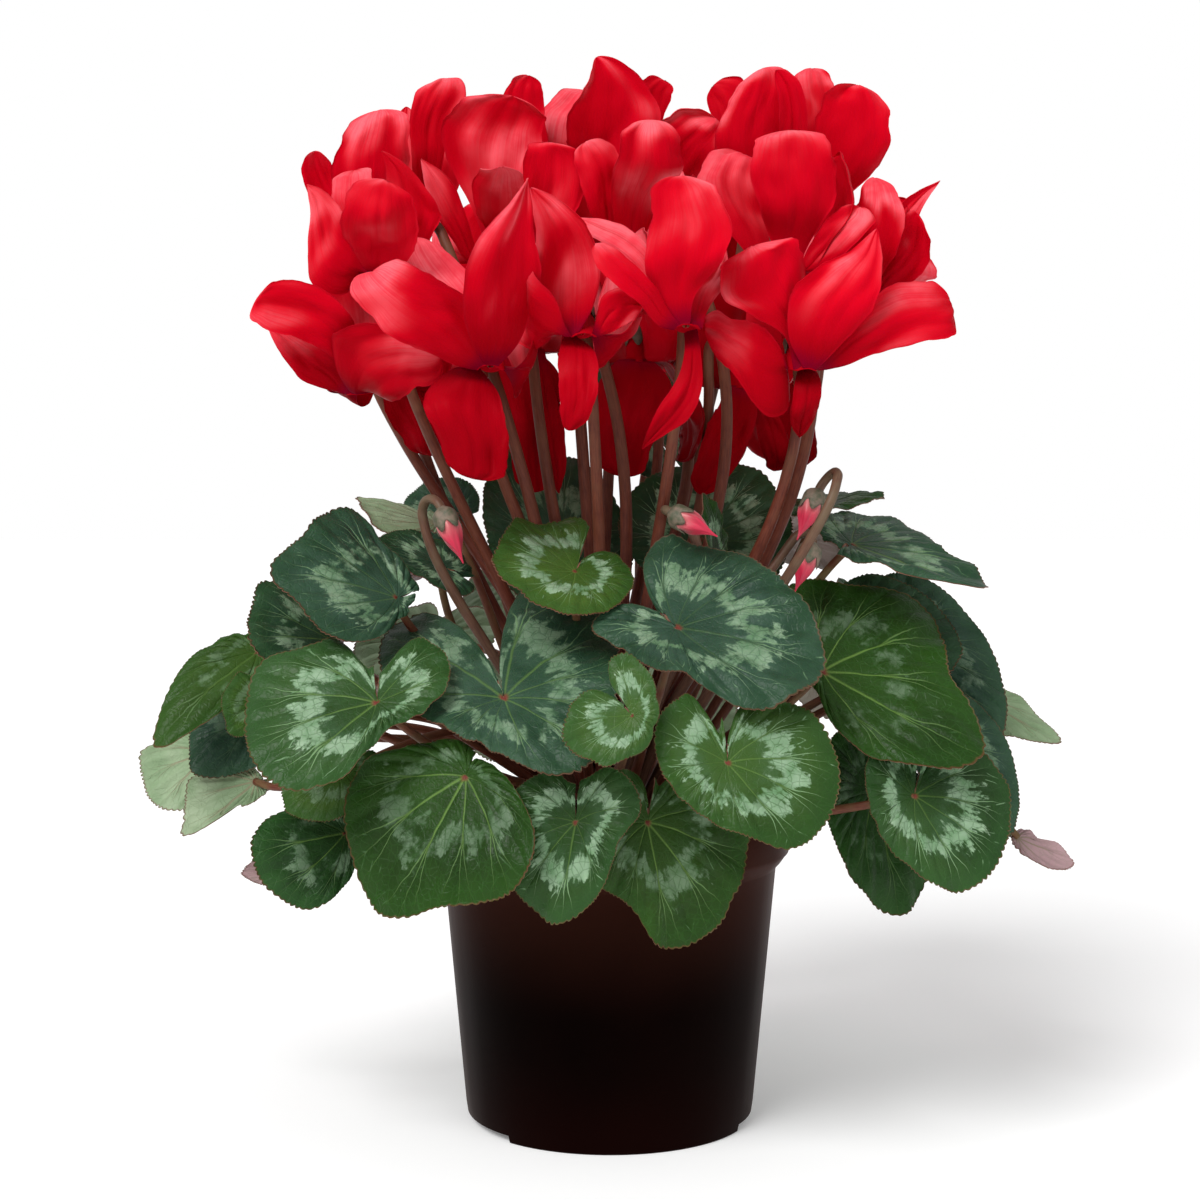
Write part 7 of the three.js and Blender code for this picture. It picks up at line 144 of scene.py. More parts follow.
 {"w":0,"l":[[-75.2,8.9,318.6],[-73.5,9.1,329.2],[-75.6,10.3,339.3],[-77.1,11.2,349.6],[-76.9,12.3,358.1],[-74.8,13,363.1],[-73.3,13.4,365.5]],"r":[[-74,4.6,318.8],[-67.4,8,329.4],[-67.4,8.7,339.7],[-68.5,10.1,349.9],[-69.9,11.7,358.1],[-71.9,12.8,363.1],[-73.3,13.4,365.5]],"b":0.1},
 {"w":0,"l":[[-71,3,318.6],[-70.2,5,332],[-70,2.6,345.3],[-70.8,1.8,358.7],[-67.7,2.4,368.8],[-61.6,3.4,372.6],[-58.2,4,373.9]],"r":[[-66.8,4.2,317.8],[-63.5,5,331.5],[-60.3,2.6,344.3],[-57.4,1.8,357.5],[-52.2,2.4,366.8],[-54.7,3.4,372.6],[-58.2,4,373.9]],"b":0.12},
 {"w":0,"l":[[-72,12.8,317.7],[-75.2,11.6,327.4],[-77.4,16.9,338.2],[-76.5,23.6,348.4],[-70.6,30.2,352.9],[-66.1,35,354.5],[-63.9,37.4,355.3]],"r":[[-67.6,12.3,317.1],[-61.8,12.3,325.7],[-57.9,18.1,335.1],[-55.8,24.8,344.6],[-58.3,31,350.7],[-62,35.3,353.7],[-63.9,37.4,355.3]],"b":0.12}]},
 {"n":"12","M":[-35.46,-22,306.65],"a":[0,-0.3011,-0.9536],"q":[{"w":0,"l":[[-40.5,-21.1,306.4],[-48.3,-24.8,306.4],[-54.7,-27.1,314.8],[-60.3,-28.5,324],[-63.3,-29,332.4],[-64.4,-29,338.2],[-64.9,-29.1,341.1]],"r":[[-39.3,-25.2,307.7],[-46.1,-24.4,311.5],[-49.7,-26.4,320.7],[-53.2,-28,330],[-58.2,-28.8,336.4],[-62.6,-29,339.7],[-64.9,-29.1,341.1]],"b":0.15},
 {"w":0,"l":[[-38.8,-25.7,307.8],[-41.4,-24.8,316.7],[-45,-30.5,324.8],[-45.6,-38,332],[-41.5,-44.8,335.4],[-37.9,-49.4,335.6],[-36.2,-51.7,335.7]],"r":[[-34.5,-26.8,308.2],[-32.8,-25.7,316.3],[-30.7,-31.4,324.3],[-29.3,-38.3,331.3],[-31.6,-44.9,334.5],[-34.6,-49.4,335.3],[-36.2,-51.7,335.7]],"b":0.15},
 {"w":0,"l":[[-33.8,-26.6,308.1],[-33,-27,315.5],[-30,-32.1,324.2],[-28.9,-36.3,333.6],[-26.8,-38.5,341.5],[-22.5,-39.1,344.4],[-19.8,-39.3,345.1]],"r":[[-30.6,-23.6,307.1],[-22.7,-28.6,311.9],[-14.7,-34.8,319.3],[-9.6,-38.5,330.5],[-10.6,-39.8,340.4],[-16.5,-39.5,343.7],[-19.8,-39.3,345.1]],"b":0.15},
 {"w":0,"l":[[-40.6,-21.7,306.5],[-45.2,-16.9,321.8],[-52.6,-13.4,336.8],[-56.3,-13.4,353.3],[-47.5,-15.6,362.1],[-38.5,-18,363.6],[-34,-19.2,364.1]],"r":[[-38.9,-25.6,307.8],[-32,-20.6,320.6],[-30.1,-19,333.7],[-26.7,-17.8,346.4],[-26.7,-18,356.7],[-31.2,-18.8,361.9],[-34,-19.2,364.1]],"b":0.12},
 {"w":0,"l":[[-39.1,-18.6,305.6],[-50.6,-16.7,306.7],[-59.6,-9.8,307.5],[-62.8,-2,316.1],[-62.9,4.8,323],[-62,9.6,327.5],[-61.1,12,329.5]],"r":[[-40.5,-22.7,306.9],[-47.1,-16.2,312.3],[-53.7,-9.1,315.1],[-56.6,-1.3,320.6],[-58.7,5.3,325.2],[-60.3,9.8,328],[-61.1,12,329.5]],"b":0.15}]},
 {"n":"13","M":[-18.16,22,327.32],"a":[0,0,-1],"q":[{"w":0,"l":[[-23.1,20.8,327.3],[-26.2,17.9,338.3],[-31.7,14.3,349.1],[-36.5,12.1,360.7],[-37.2,11.5,370.2],[-32.5,11.8,374.9],[-29.5,12,376.6]],"r":[[-20.3,17.3,327.3],[-19.9,18,338.6],[-22.3,14.3,348.9],[-24,12,359.8],[-24.7,11.5,369],[-27.6,11.8,374.2],[-29.5,12,376.6]],"b":0.12},
 {"w":0,"l":[[-14.7,25.8,327.3],[-22.6,22.5,340.8],[-25.3,24.5,353.5],[-24.2,27.7,365.8],[-16.4,31.4,371.2],[-10.3,34.5,373.4],[-7.2,36,374.5]],"r":[[-13.1,21.6,327.3],[-10.3,22.8,338.4],[-6.1,24.7,348.5],[-3.6,27.9,358.9],[-4.1,31.7,367.2],[-5.9,34.5,372.2],[-7.2,36,374.5]],"b":0.12},
 {"w":0,"l":[[-15.4,17.7,327.3],[-15.7,16,339.7],[-13.8,10.3,351.2],[-12.3,5.8,363.4],[-6.2,3.4,371.7],[-4,2.4,377.7],[-4.6,2,381.3]],"r":[[-13.1,21.5,327.3],[-1.3,16,336.6],[10.8,10.2,347.7],[16.3,5.7,363.1],[7.9,3.4,374.4],[-0.1,2.4,379.4],[-4.6,2,381.3]],"b":0.14},
 {"w":1,"l":[[-15.7,26.5,327.3],[-13.8,33.3,327.2],[-11.6,39.6,330.8],[-8.3,43.9,336.8],[-4.3,44.9,342.3],[0.1,43.2,345.8],[5.3,38.8,346.9]],"r":[[-13.1,22.9,327.3],[-6,22.4,327.2],[0.6,22.5,330.8],[5.8,24.2,336.8],[8,27.7,342.3],[7.8,32.4,345.8],[5.3,38.8,346.9]],"b":-0.14},
 {"w":1,"l":[[-23.1,23.4,327.3],[-31.7,25.2,327.3],[-39.7,27.3,333.7],[-45.9,30.6,344.3],[-48.4,34.9,353.8],[-47.9,39.8,359.9],[-44.9,46,362]],"r":[[-20.1,26.7,327.3],[-22.8,35.2,327.3],[-25.7,42.9,333.7],[-29.7,48.6,344.3],[-34.3,50.7,353.8],[-39.1,49.7,359.9],[-44.9,46,362]],"b":-0.14}]},
 {"n":"14","M":[4.04,-32,309.15],"a":[0,-0.2019,-0.9794],"q":[{"w":0,"l":[[-0.6,-34.1,309.6],[-2.9,-35.5,316.3],[-6.8,-38.9,323.2],[-9,-40.7,331.5],[-10.2,-40.9,338.5],[-9,-40.3,343.1],[-8.2,-40,345.3]],"r":[[2.9,-36.9,310.2],[2.2,-35.8,319.1],[3.8,-39,328],[4.1,-40.7,337.4],[-0.7,-40.9,343.2],[-5.7,-40.3,344.8],[-8.2,-40,345.3]],"b":0.15},
 {"w":0,"l":[[3.7,-37,310.2],[2.1,-39.7,318],[1.4,-47,326.5],[2.2,-51.7,336.6],[6.3,-53.2,344.6],[10.7,-53,348.8],[13.1,-52.8,350.7]],"r":[[7.8,-35.4,309.8],[12.4,-36.9,318.3],[16.9,-42.2,327.9],[23.6,-47.4,335.9],[19.5,-50.6,344],[15.6,-52.2,348.8],[13.1,-52.8,350.7]],"b":0.14},
 {"w":1,"l":[[-1.1,-31.8,309.1],[-7.3,-32.8,310],[-11.2,-33.1,317.4],[-13.1,-31.5,328.6],[-13,-28,337.8],[-11.9,-23.3,343],[-10,-17.1,344]],"r":[[1,-27.9,308.3],[-1.5,-22.1,307.8],[-2.2,-16.5,314],[-2.6,-12.3,324.6],[-3.9,-11.3,334.4],[-6.2,-12.8,340.9],[-10,-17.1,344]],"b":-0.14},
 {"w":1,"l":[[8.8,-30.1,308.8],[14.2,-26.5,308.3],[18.6,-22.3,312.6],[22.5,-19.5,320.2],[25.1,-19.6,327.5],[26.7,-22.3,332.6],[27.8,-28,335.3]],"r":[[8.5,-34.5,309.7],[13.4,-38.5,310.8],[17.5,-41.1,316.5],[21.2,-41.2,324.7],[24,-38.5,331.4],[26,-34.2,335],[27.8,-28,335.3]],"b":-0.14},
 {"w":1,"l":[[3.1,-27.1,308.1],[0.5,-19.6,307.2],[-1.8,-12.5,313.8],[-2.4,-6.1,325.2],[-0.2,-2,335.6],[4,-0.1,342.2],[10.7,0,344.7]],"r":[[7.4,-28.2,308.4],[13.5,-23.1,307.9],[18.4,-18,314.9],[21,-12.4,326.5],[20.1,-7.5,336.8],[16.8,-3.6,342.9],[10.7,0,344.7]],"b":-0.14}]},
 {"n":"15","M":[14.35,34,329.38],"a":[0,0.0995,-0.995],"q":[{"w":0,"l":[[19.4,33.3,329.3],[12.1,30.5,342.5],[10.9,29.3,354.7],[10.4,31,367.2],[11.4,33.6,377.1],[17.1,35.8,379.7],[20.3,37.1,379.1]],"r":[[18,37.5,329.7],[18.2,35.5,341.3],[19.5,36.7,351.9],[18.9,36.4,362.8],[21.4,36.6,371.2],[21.8,36.9,376.6],[20.3,37.1,379.1]],"b":0.1},
 {"w":0,"l":[[15.2,29,328.9],[16,24.8,338.8],[16.6,15.7,347.7],[18.5,9.3,358.4],[27.8,7.5,361.3],[34.8,8.3,360.7],[38.2,8.7,360.5]],"r":[[18.8,31.5,329.1],[23.2,26.7,335.1],[28.9,18.7,338.9],[34.8,12,344.5],[37.8,9,352],[38.2,8.7,357.6],[38.2,8.7,360.5]],"b":0.12},
 {"w":1,"l":[[10.4,37.3,329.7],[3.3,42.2,330.4],[-2.9,45.9,338.2],[-6.8,49.4,350.4],[-7,52.6,361.3],[-4.5,55.8,368.3],[0.8,59.9,371.1]],"r":[[14.5,39.1,329.9],[15.5,47.7,331],[16.2,54.5,339],[15.3,59.3,351.4],[12.2,61.3,362.2],[7.6,61.3,368.8],[0.8,59.9,371.1]],"b":-0.14},
 {"w":1,"l":[[15.1,39,329.9],[15.3,47.5,330.3],[16.3,55.2,335.4],[19,61.4,343.6],[23.2,64.1,350.9],[28.3,64.2,355.5],[34.9,62,356.8]],"r":[[18.8,36.6,329.6],[26.5,40,329.5],[33.7,43.6,334.3],[39.1,47.9,342.2],[40.7,52.4,349.7],[39.3,56.8,354.7],[34.9,62,356.8]],"b":-0.14},
 {"w":1,"l":[[19.3,32.7,329.2],[24.1,32.9,329.2],[28.6,32.9,330.8],[31.9,31.6,333.4],[32.9,28.7,335.5],[32.1,25,336.7],[29.4,20,336.5]],"r":[[16.3,29.3,328.9],[16.7,24.5,328.4],[17.1,19.9,329.5],[18.6,16.5,331.9],[21.3,15.6,334.2],[24.8,16.7,335.9],[29.4,20,336.5]],"b":-0.14}]},
 {"n":"16","M":[57.76,-38,301.84],"a":[0.0501,-0.3008,-0.9524],"q":[{"w":0,"l":[[57.5,-42.9,303.4],[54.7,-42.3,313.3],[51,-45.9,323.5],[47.7,-48,334.2],[51.8,-48.5,342.4],[56.7,-48.2,346.3],[59.4,-48,347.8]],"r":[[61.6,-41.1,303],[66.4,-42.4,312.6],[72.8,-46,322.6],[73.5,-48,334.6],[68.3,-48.5,343.3],[62.6,-48.2,346.6],[59.4,-48,347.8]],"b":0.15},
 {"w":0,"l":[[60.7,-42,303.2],[64.3,-42.1,305],[68.5,-45.2,311.1],[72.6,-46.5,317.5],[77.9,-46.1,321.2],[82,-45,322.4],[84.1,-44.5,323]],"r":[[62.9,-38.2,302.2],[67.9,-43,301.3],[75.4,-46.6,305.4],[82.4,-47.7,311.4],[87.4,-46.8,317.2],[85.5,-45.3,321.1],[84.1,-44.5,323]],"b":0.12},
 {"w":0,"l":[[52.7,-37.4,301.4],[45.2,-37.2,311.7],[35.3,-34.8,320.9],[30.1,-30.9,332.4],[36.2,-26.8,340.5],[42.4,-23.6,343.1],[45.7,-22,343.8]],"r":[[54.1,-41.4,302.7],[54.3,-37,313.8],[52.1,-34.4,322.9],[50.7,-30.5,331.6],[49.2,-26.5,338.3],[46.9,-23.5,341.9],[45.7,-22,343.8]],"b":0.12},
 {"w":1,"l":[[61.9,-35.1,301.2],[67,-29.2,300.3],[69.7,-22.3,306.7],[71.2,-16.5,318.3],[72.3,-14.5,329.3],[73.8,-16.2,337.1],[76.2,-22,341.7]],"r":[[62.6,-39.4,302.5],[69.3,-42.9,304.8],[73.2,-43.7,313.7],[75.2,-41.1,326.3],[75.9,-36,336.3],[76.1,-29.7,341.5],[76.2,-22,341.7]],"b":-0.14},
 {"w":1,"l":[[57.2,-33.2,300.3],[55.5,-24.8,297.8],[53.8,-15.2,302.5],[53.7,-5.6,312.1],[56.1,1,321.5],[60.3,4.1,327.8],[67,4.5,330.6]],"r":[[61.4,-34.5,300.9],[68.1,-28.9,299.7],[73.6,-21.5,305.5],[76.6,-12.9,315.6],[75.9,-5.4,324.5],[72.8,0.1,329.7],[67,4.5,330.6]],"b":-0.14}]},
 {"n":"17","M":[65.28,12,329.81],"a":[0.0499,0,-0.9988],"q":[{"w":0,"l":[[60.2,11.4,329.6],[50.4,7,336.5],[39.6,2.4,345.1],[39.7,-0.7,358],[46.5,-2,367.8],[51.8,-2.2,373.8],[54.6,-2.2,376.6]],"r":[[62.6,7.6,329.7],[63.9,7.1,340.8],[62.3,2.6,350.9],[61.5,-0.6,361.6],[60.5,-2,370.4],[57.4,-2.3,375.3],[54.6,-2.2,376.6]],"b":0.12},
 {"w":0,"l":[[63.4,7.2,329.7],[62.4,5.7,338.9],[61.1,-0.8,347.7],[60.1,-6.4,357.2],[59.4,-9.7,365.6],[58.6,-11.3,371.4],[58.1,-12,374.2]],"r":[[67.9,7.6,329.9],[68.2,5.4,340.1],[68.8,-1.1,350.2],[68.6,-6.6,361],[66,-9.9,369.7],[61.2,-11.4,373.4],[58.1,-12,374.2]],"b":0.12},
 {"w":0,"l":[[60.2,11.9,329.6],[54,16.2,338.6],[45.7,20.7,346],[40.8,23.8,356.5],[38,25.7,365.7],[37.3,26.7,372],[38,27,375.2]],"r":[[62,16,329.6],[57.8,15.9,343.6],[52.9,19.9,355.2],[50.1,23.3,367.7],[48.2,25.4,376.4],[41.4,26.6,376.5],[38,27,375.2]],"b":-0.1},
 {"w":0,"l":[[69.6,14.7,330],[66.8,12.6,342.1],[68.3,14.7,353.8],[68.8,18,365.3],[68.1,21.7,374.4],[71.6,24.5,379],[73.5,26,381.2]],"r":[[70.1,10.3,330.1],[74.3,12.6,341.6],[79.3,14.5,353.2],[81.8,17.8,365.1],[79.9,21.5,374.7],[76.2,24.4,379.6],[73.5,26,381.2]],"b":0.12},
 {"w":0,"l":[[68.5,8.1,330],[71.1,7,337.4],[73.6,2.6,347.7],[74.5,-0.5,358.8],[79.9,-1.8,365.7],[85.3,-2,369.1],[88,-2,370.7]],"r":[[70.4,12.1,330.1],[80.8,7,331.8],[91.2,2.5,339.6],[98.1,-0.6,351.3],[95.3,-1.8,362],[90.5,-2,367.8],[88,-2,370.7]],"b":0.14}]},
 {"n":"18","M":[85.7,-8,295.25],"a":[0.2009,-0.1005,-0.9744],"q":[{"w":0,"l":[[85.8,-13.1,295.8],[83.7,-13.5,305],[84.3,-18.5,313.7],[86.4,-20.3,323.6],[89,-17.1,330.9],[91.3,-14,334.9],[92.6,-12.4,336.8]],"r":[[89.7,-11,296.4],[93.3,-17.9,302.5],[98.4,-26.4,310.3],[100.7,-25.9,322.8],[97.8,-20.3,331.4],[94.4,-15.1,335.1],[92.6,-12.4,336.8]],"b":0.14},
 {"w":0,"l":[[89.9,-10.7,296.4],[91.9,-7.9,307],[96.5,-7.5,317.5],[102.2,-6.1,327.2],[109.4,-4.1,332.9],[114.7,-2.5,335.7],[117.4,-1.7,337.1]],"r":[[90.4,-6.2,296],[97,-8.5,304.3],[103.3,-8.4,313.1],[108,-6.7,322.8],[112.3,-4.5,330.3],[115.7,-2.6,334.8],[117.4,-1.7,337.1]],"b":0.1},
 {"w":0,"l":[[88.9,-11.9,296.3],[92.7,-11.1,303.4],[96.6,-14.6,309.3],[100.4,-17.8,315.4],[103.6,-20,320.4],[106.2,-21.1,322.9],[107.9,-21.5,321.9]],"r":[[90.7,-7.8,296.3],[97.5,-13.2,298],[105,-18,300.4],[110,-20.7,307.2],[110,-21.6,314.6],[108.6,-21.6,319.4],[107.9,-21.5,321.9]],"b":0.14},
 {"w":1,"l":[[88.2,-3.5,295.3],[89.8,3.2,295.6],[89,8.9,302],[87.6,12.6,312.7],[87.7,13.1,322.5],[89.5,11.2,329.2],[93.8,6.8,332.8]],"r":[[90.7,-7.1,296.2],[97.3,-7.6,298.3],[100.6,-8,306.2],[101.1,-7,317.5],[99.4,-3.9,326.7],[96.9,0.5,331.8],[93.8,6.8,332.8]],"b":-0.14},
 {"w":1,"l":[[85.7,-2.9,294.7],[87.3,9.2,291.4],[89.3,23.5,293.6],[92.4,37.5,300.5],[96.6,46.9,308.6],[101.5,51.3,315.1],[108.2,51.4,318.6]],"r":[[89.7,-4.8,295.7],[99.1,3.5,294.4],[107.7,14.7,298.3],[113.7,27.3,306],[115.1,38,313.3],[113.2,45.7,318.1],[108.2,51.4,318.6]],"b":-0.14}]},
 {"n":"19","M":[-61.34,62,288.14],"a":[-0.2004,0.5011,-0.8419],"q":[{"w":1,"l":[[-65.1,58.7,287.1],[-72.1,52.3,284],[-78.9,43.6,286.1],[-85.3,35,292.5],[-90.4,30.2,300.4],[-94.3,29.7,307.3],[-97.9,33.8,312.8]],"r":[[-66.3,62.3,289.5],[-75.8,64,291.8],[-84.7,61.9,298.3],[-92.1,56.1,306.7],[-96.3,48.6,312.7],[-97.9,41.2,315],[-97.9,33.8,312.8]],"b":-0.14},
 {"w":1,"l":[[-66.1,62.9,289.8],[-76.3,64,292.4],[-84.5,62.8,301.1],[-89.9,60.9,313.9],[-91.1,60.6,325.7],[-89.4,62.6,334],[-85.3,68,338.9]],"r":[[-63,66,290.9],[-65.5,74.8,296.2],[-67.7,79.6,307.1],[-70.5,80.2,320.8],[-74.2,77.4,331.7],[-78.8,73.2,337.8],[-85.3,68,338.9]],"b":-0.14},
 {"w":1,"l":[[-62.5,66.1,290.9],[-65.9,77.3,296.2],[-66.5,86.9,307.2],[-63.7,94,321.3],[-58.2,97.7,332.8],[-51.4,99.2,339.5],[-42.9,100,340.5]],"r":[[-58.2,65.8,289.6],[-50.9,76,291.8],[-43,84.9,300.4],[-36.7,91.6,313.5],[-34.6,95.6,326],[-36.5,97.9,335.2],[-42.9,100,340.5]],"b":-0.14},
 {"w":1,"l":[[-57.7,65.4,289.3],[-54.1,71.2,292.1],[-49.8,74.2,297.6],[-44.6,73.9,304.1],[-39.6,70.8,308.2],[-35.4,66.4,309.1],[-31.4,60.7,306.2]],"r":[[-56.4,61.9,286.9],[-49.9,59.7,284.2],[-43.2,56.2,285.4],[-36.9,53.2,290],[-32.9,52.7,295.9],[-31.2,55,301.3],[-31.4,60.7,306.2]],"b":-0.14},
 {"w":1,"l":[[-61,57.6,285.5],[-60.3,54.6,276.7],[-59.6,56.9,266.4],[-60,62.9,256.7],[-62.4,69.8,250.5],[-66.2,75.5,248.1],[-71.9,79.5,249.6]],"r":[[-65.1,58.7,287.1],[-72.5,57.7,281.5],[-78.6,61.7,273.8],[-82,68.5,265.3],[-81.5,74.7,258],[-78.2,78.6,252.8],[-71.9,79.5,249.6]],"b":0.14}]},
 {"n":"20","M":[4.37,80,297.03],"a":[0,0.6,-0.8],"q":[{"w":1,"l":[[-0.7,80.4,297.3],[-9.6,79.3,296.8],[-17.3,75,301.6],[-23.1,69.9,310.6],[-25.7,67.3,320.2],[-25.6,68,328],[-23.3,72.9,334.2]],"r":[[1.6,83.4,299.6],[-1.5,90,304.8],[-4.6,91.8,314.2],[-8.6,89.3,325.2],[-13,84.2,332.9],[-17.6,78.6,336],[-23.3,72.9,334.2]],"b":-0.14},
 {"w":1,"l":[[1.8,83.5,299.7],[-5.3,95.9,304.4],[-11.1,108,314.4],[-14.3,118.1,328.1],[-13.3,124.4,340.5],[-9,127.8,349.1],[-0.9,130.2,353.1]],"r":[[6.3,83.8,299.9],[11.5,96.9,305.1],[15,109.5,315.6],[15.9,119.8,329.4],[13,125.9,341.6],[7.6,128.7,349.9],[-0.9,130.2,353.1]],"b":-0.14},
 {"w":1,"l":[[6.7,83.6,299.8],[9.8,91.2,304.9],[13.8,95.2,313.7],[19.2,95.3,324.1],[25,92.3,331.4],[30.7,88.2,334.5],[37.1,83.2,332.9]],"r":[[9.4,80.7,297.6],[19.1,81.1,297.3],[28.3,79.4,301.9],[36,77.1,310.4],[39.6,76.5,319.5],[39.9,78.2,327],[37.1,83.2,332.9]],"b":-0.14},
 {"w":1,"l":[[1.1,76.9,294.7],[-1.7,73.7,288.7],[-4.1,72.3,282],[-7.2,72.6,276.4],[-10.8,74.8,273.7],[-14.4,78.3,273.5],[-17.7,83.9,275.7]],"r":[[-0.7,80.2,297.1],[-7.1,83.6,296.1],[-12.5,87.7,293.5],[-17,90.3,289.7],[-19.3,90.2,285.3],[-19.7,88,280.8],[-17.7,83.9,275.7]],"b":-0.14},
 {"w":1,"l":[[9.3,81.2,297.9],[17.8,87.8,294.2],[23.1,97.1,286.8],[25.3,106.2,276.7],[25.2,111.8,266.8],[23.7,113.2,258.6],[21.4,110,252.4]],"r":[[8.5,77.6,295.3],[15.6,77.2,286.3],[19.6,80.5,274.4],[21.4,87.1,262.4],[21.7,95.1,254.3],[21.6,102.7,250.7],[21.4,110,252.4]],"b":0.14}]},
 {"n":"21","M":[65.75,60,288.02],"a":[0.2519,0.5038,-0.8263],"q":[{"w":1,"l":[[63.8,64.3,290],[58.5,70.1,292.9],[52.3,69.8,301.1],[47.2,65.6,313],[46.2,60.7,323.7],[48.8,57.3,331.1],[55.7,55.9,335.5]],"r":[[68.1,63.5,290.9],[73.6,67.4,295.9],[76,65.6,305.7],[74.6,60.7,318.3],[70,56.4,328.4],[63.8,54.7,334],[55.7,55.9,335.5]],"b":-0.14},
 {"w":1,"l":[[66.7,64.2,290.8],[69.2,75.4,295.6],[72.6,84.9,304.9],[77.3,91.1,317.1],[82.7,92.7,327.4],[88.5,91.2,333.9],[95.9,87.5,335.8]],"r":[[70.1,61.4,290.2],[81.3,65.8,293.4],[91.7,69.8,301.6],[99.2,73.7,313.2],[101.8,77.6,324],[100.6,81.7,331.7],[95.9,87.5,335.8]],"b":-0.14},
 {"w":1,"l":[[70.3,61,290],[79.7,64.9,292.2],[89.9,66.7,295.9],[99.7,65.3,300.3],[106.5,61,303.2],[110.6,55.3,303.8],[112.6,48.5,300.9]],"r":[[70.1,57.3,287.7],[78.8,52.7,284.5],[88.5,47.5,283.8],[98,43.2,286.3],[105.1,41.7,291],[109.7,43.2,296.1],[112.6,48.5,300.9]],"b":-0.14},
 {"w":1,"l":[[61.6,63,288.6],[53.8,69.4,287.3],[45.5,76.2,288.9],[38.5,82.8,293.5],[35.3,88,299.4],[35.9,92.1,305.1],[40.4,96.1,309.7]],"r":[[65.4,64.4,290.6],[66,74,293.8],[64.6,83.4,299.1],[60.4,91.1,305.2],[54.5,95.2,309.7],[47.9,96.6,311.5],[40.4,96.1,309.7]],"b":-0.14},
 {"w":1,"l":[[65.3,55.7,285.3],[67,51.7,275.4],[70.9,52.3,263.8],[74.7,57,252.2],[76.3,63.5,243.8],[75.4,69.9,239],[71.3,75.9,238]],"r":[[61.6,58.2,285.6],[55.9,59.1,276.5],[53.4,63.9,265.5],[54.6,70.3,254.3],[58.8,75.1,245.5],[64.4,77.2,240.1],[71.3,75.9,238]],"b":0.14}]}]
BUDS = [{"id":"B01","n":"01","name":"bud_01","C":[20.39,-62,220.4],"a":[0.7856,-0.4703,-0.4021],"len":10},
 {"id":"B02","n":"02","name":"bud_02","C":[70.16,-48,227.17],"a":[-0.4034,-0.321,-0.8569],"len":10},
 {"id":"B03","n":"03","name":"bud_03","C":[68.62,-44,209.11],"a":[-0.3497,-0.3193,-0.8808],"len":9},
 {"id":"B04","n":"04","name":"bud_04","C":[-56.35,-56,221.26],"a":[0.3737,-0.2405,-0.8958],"len":11}]
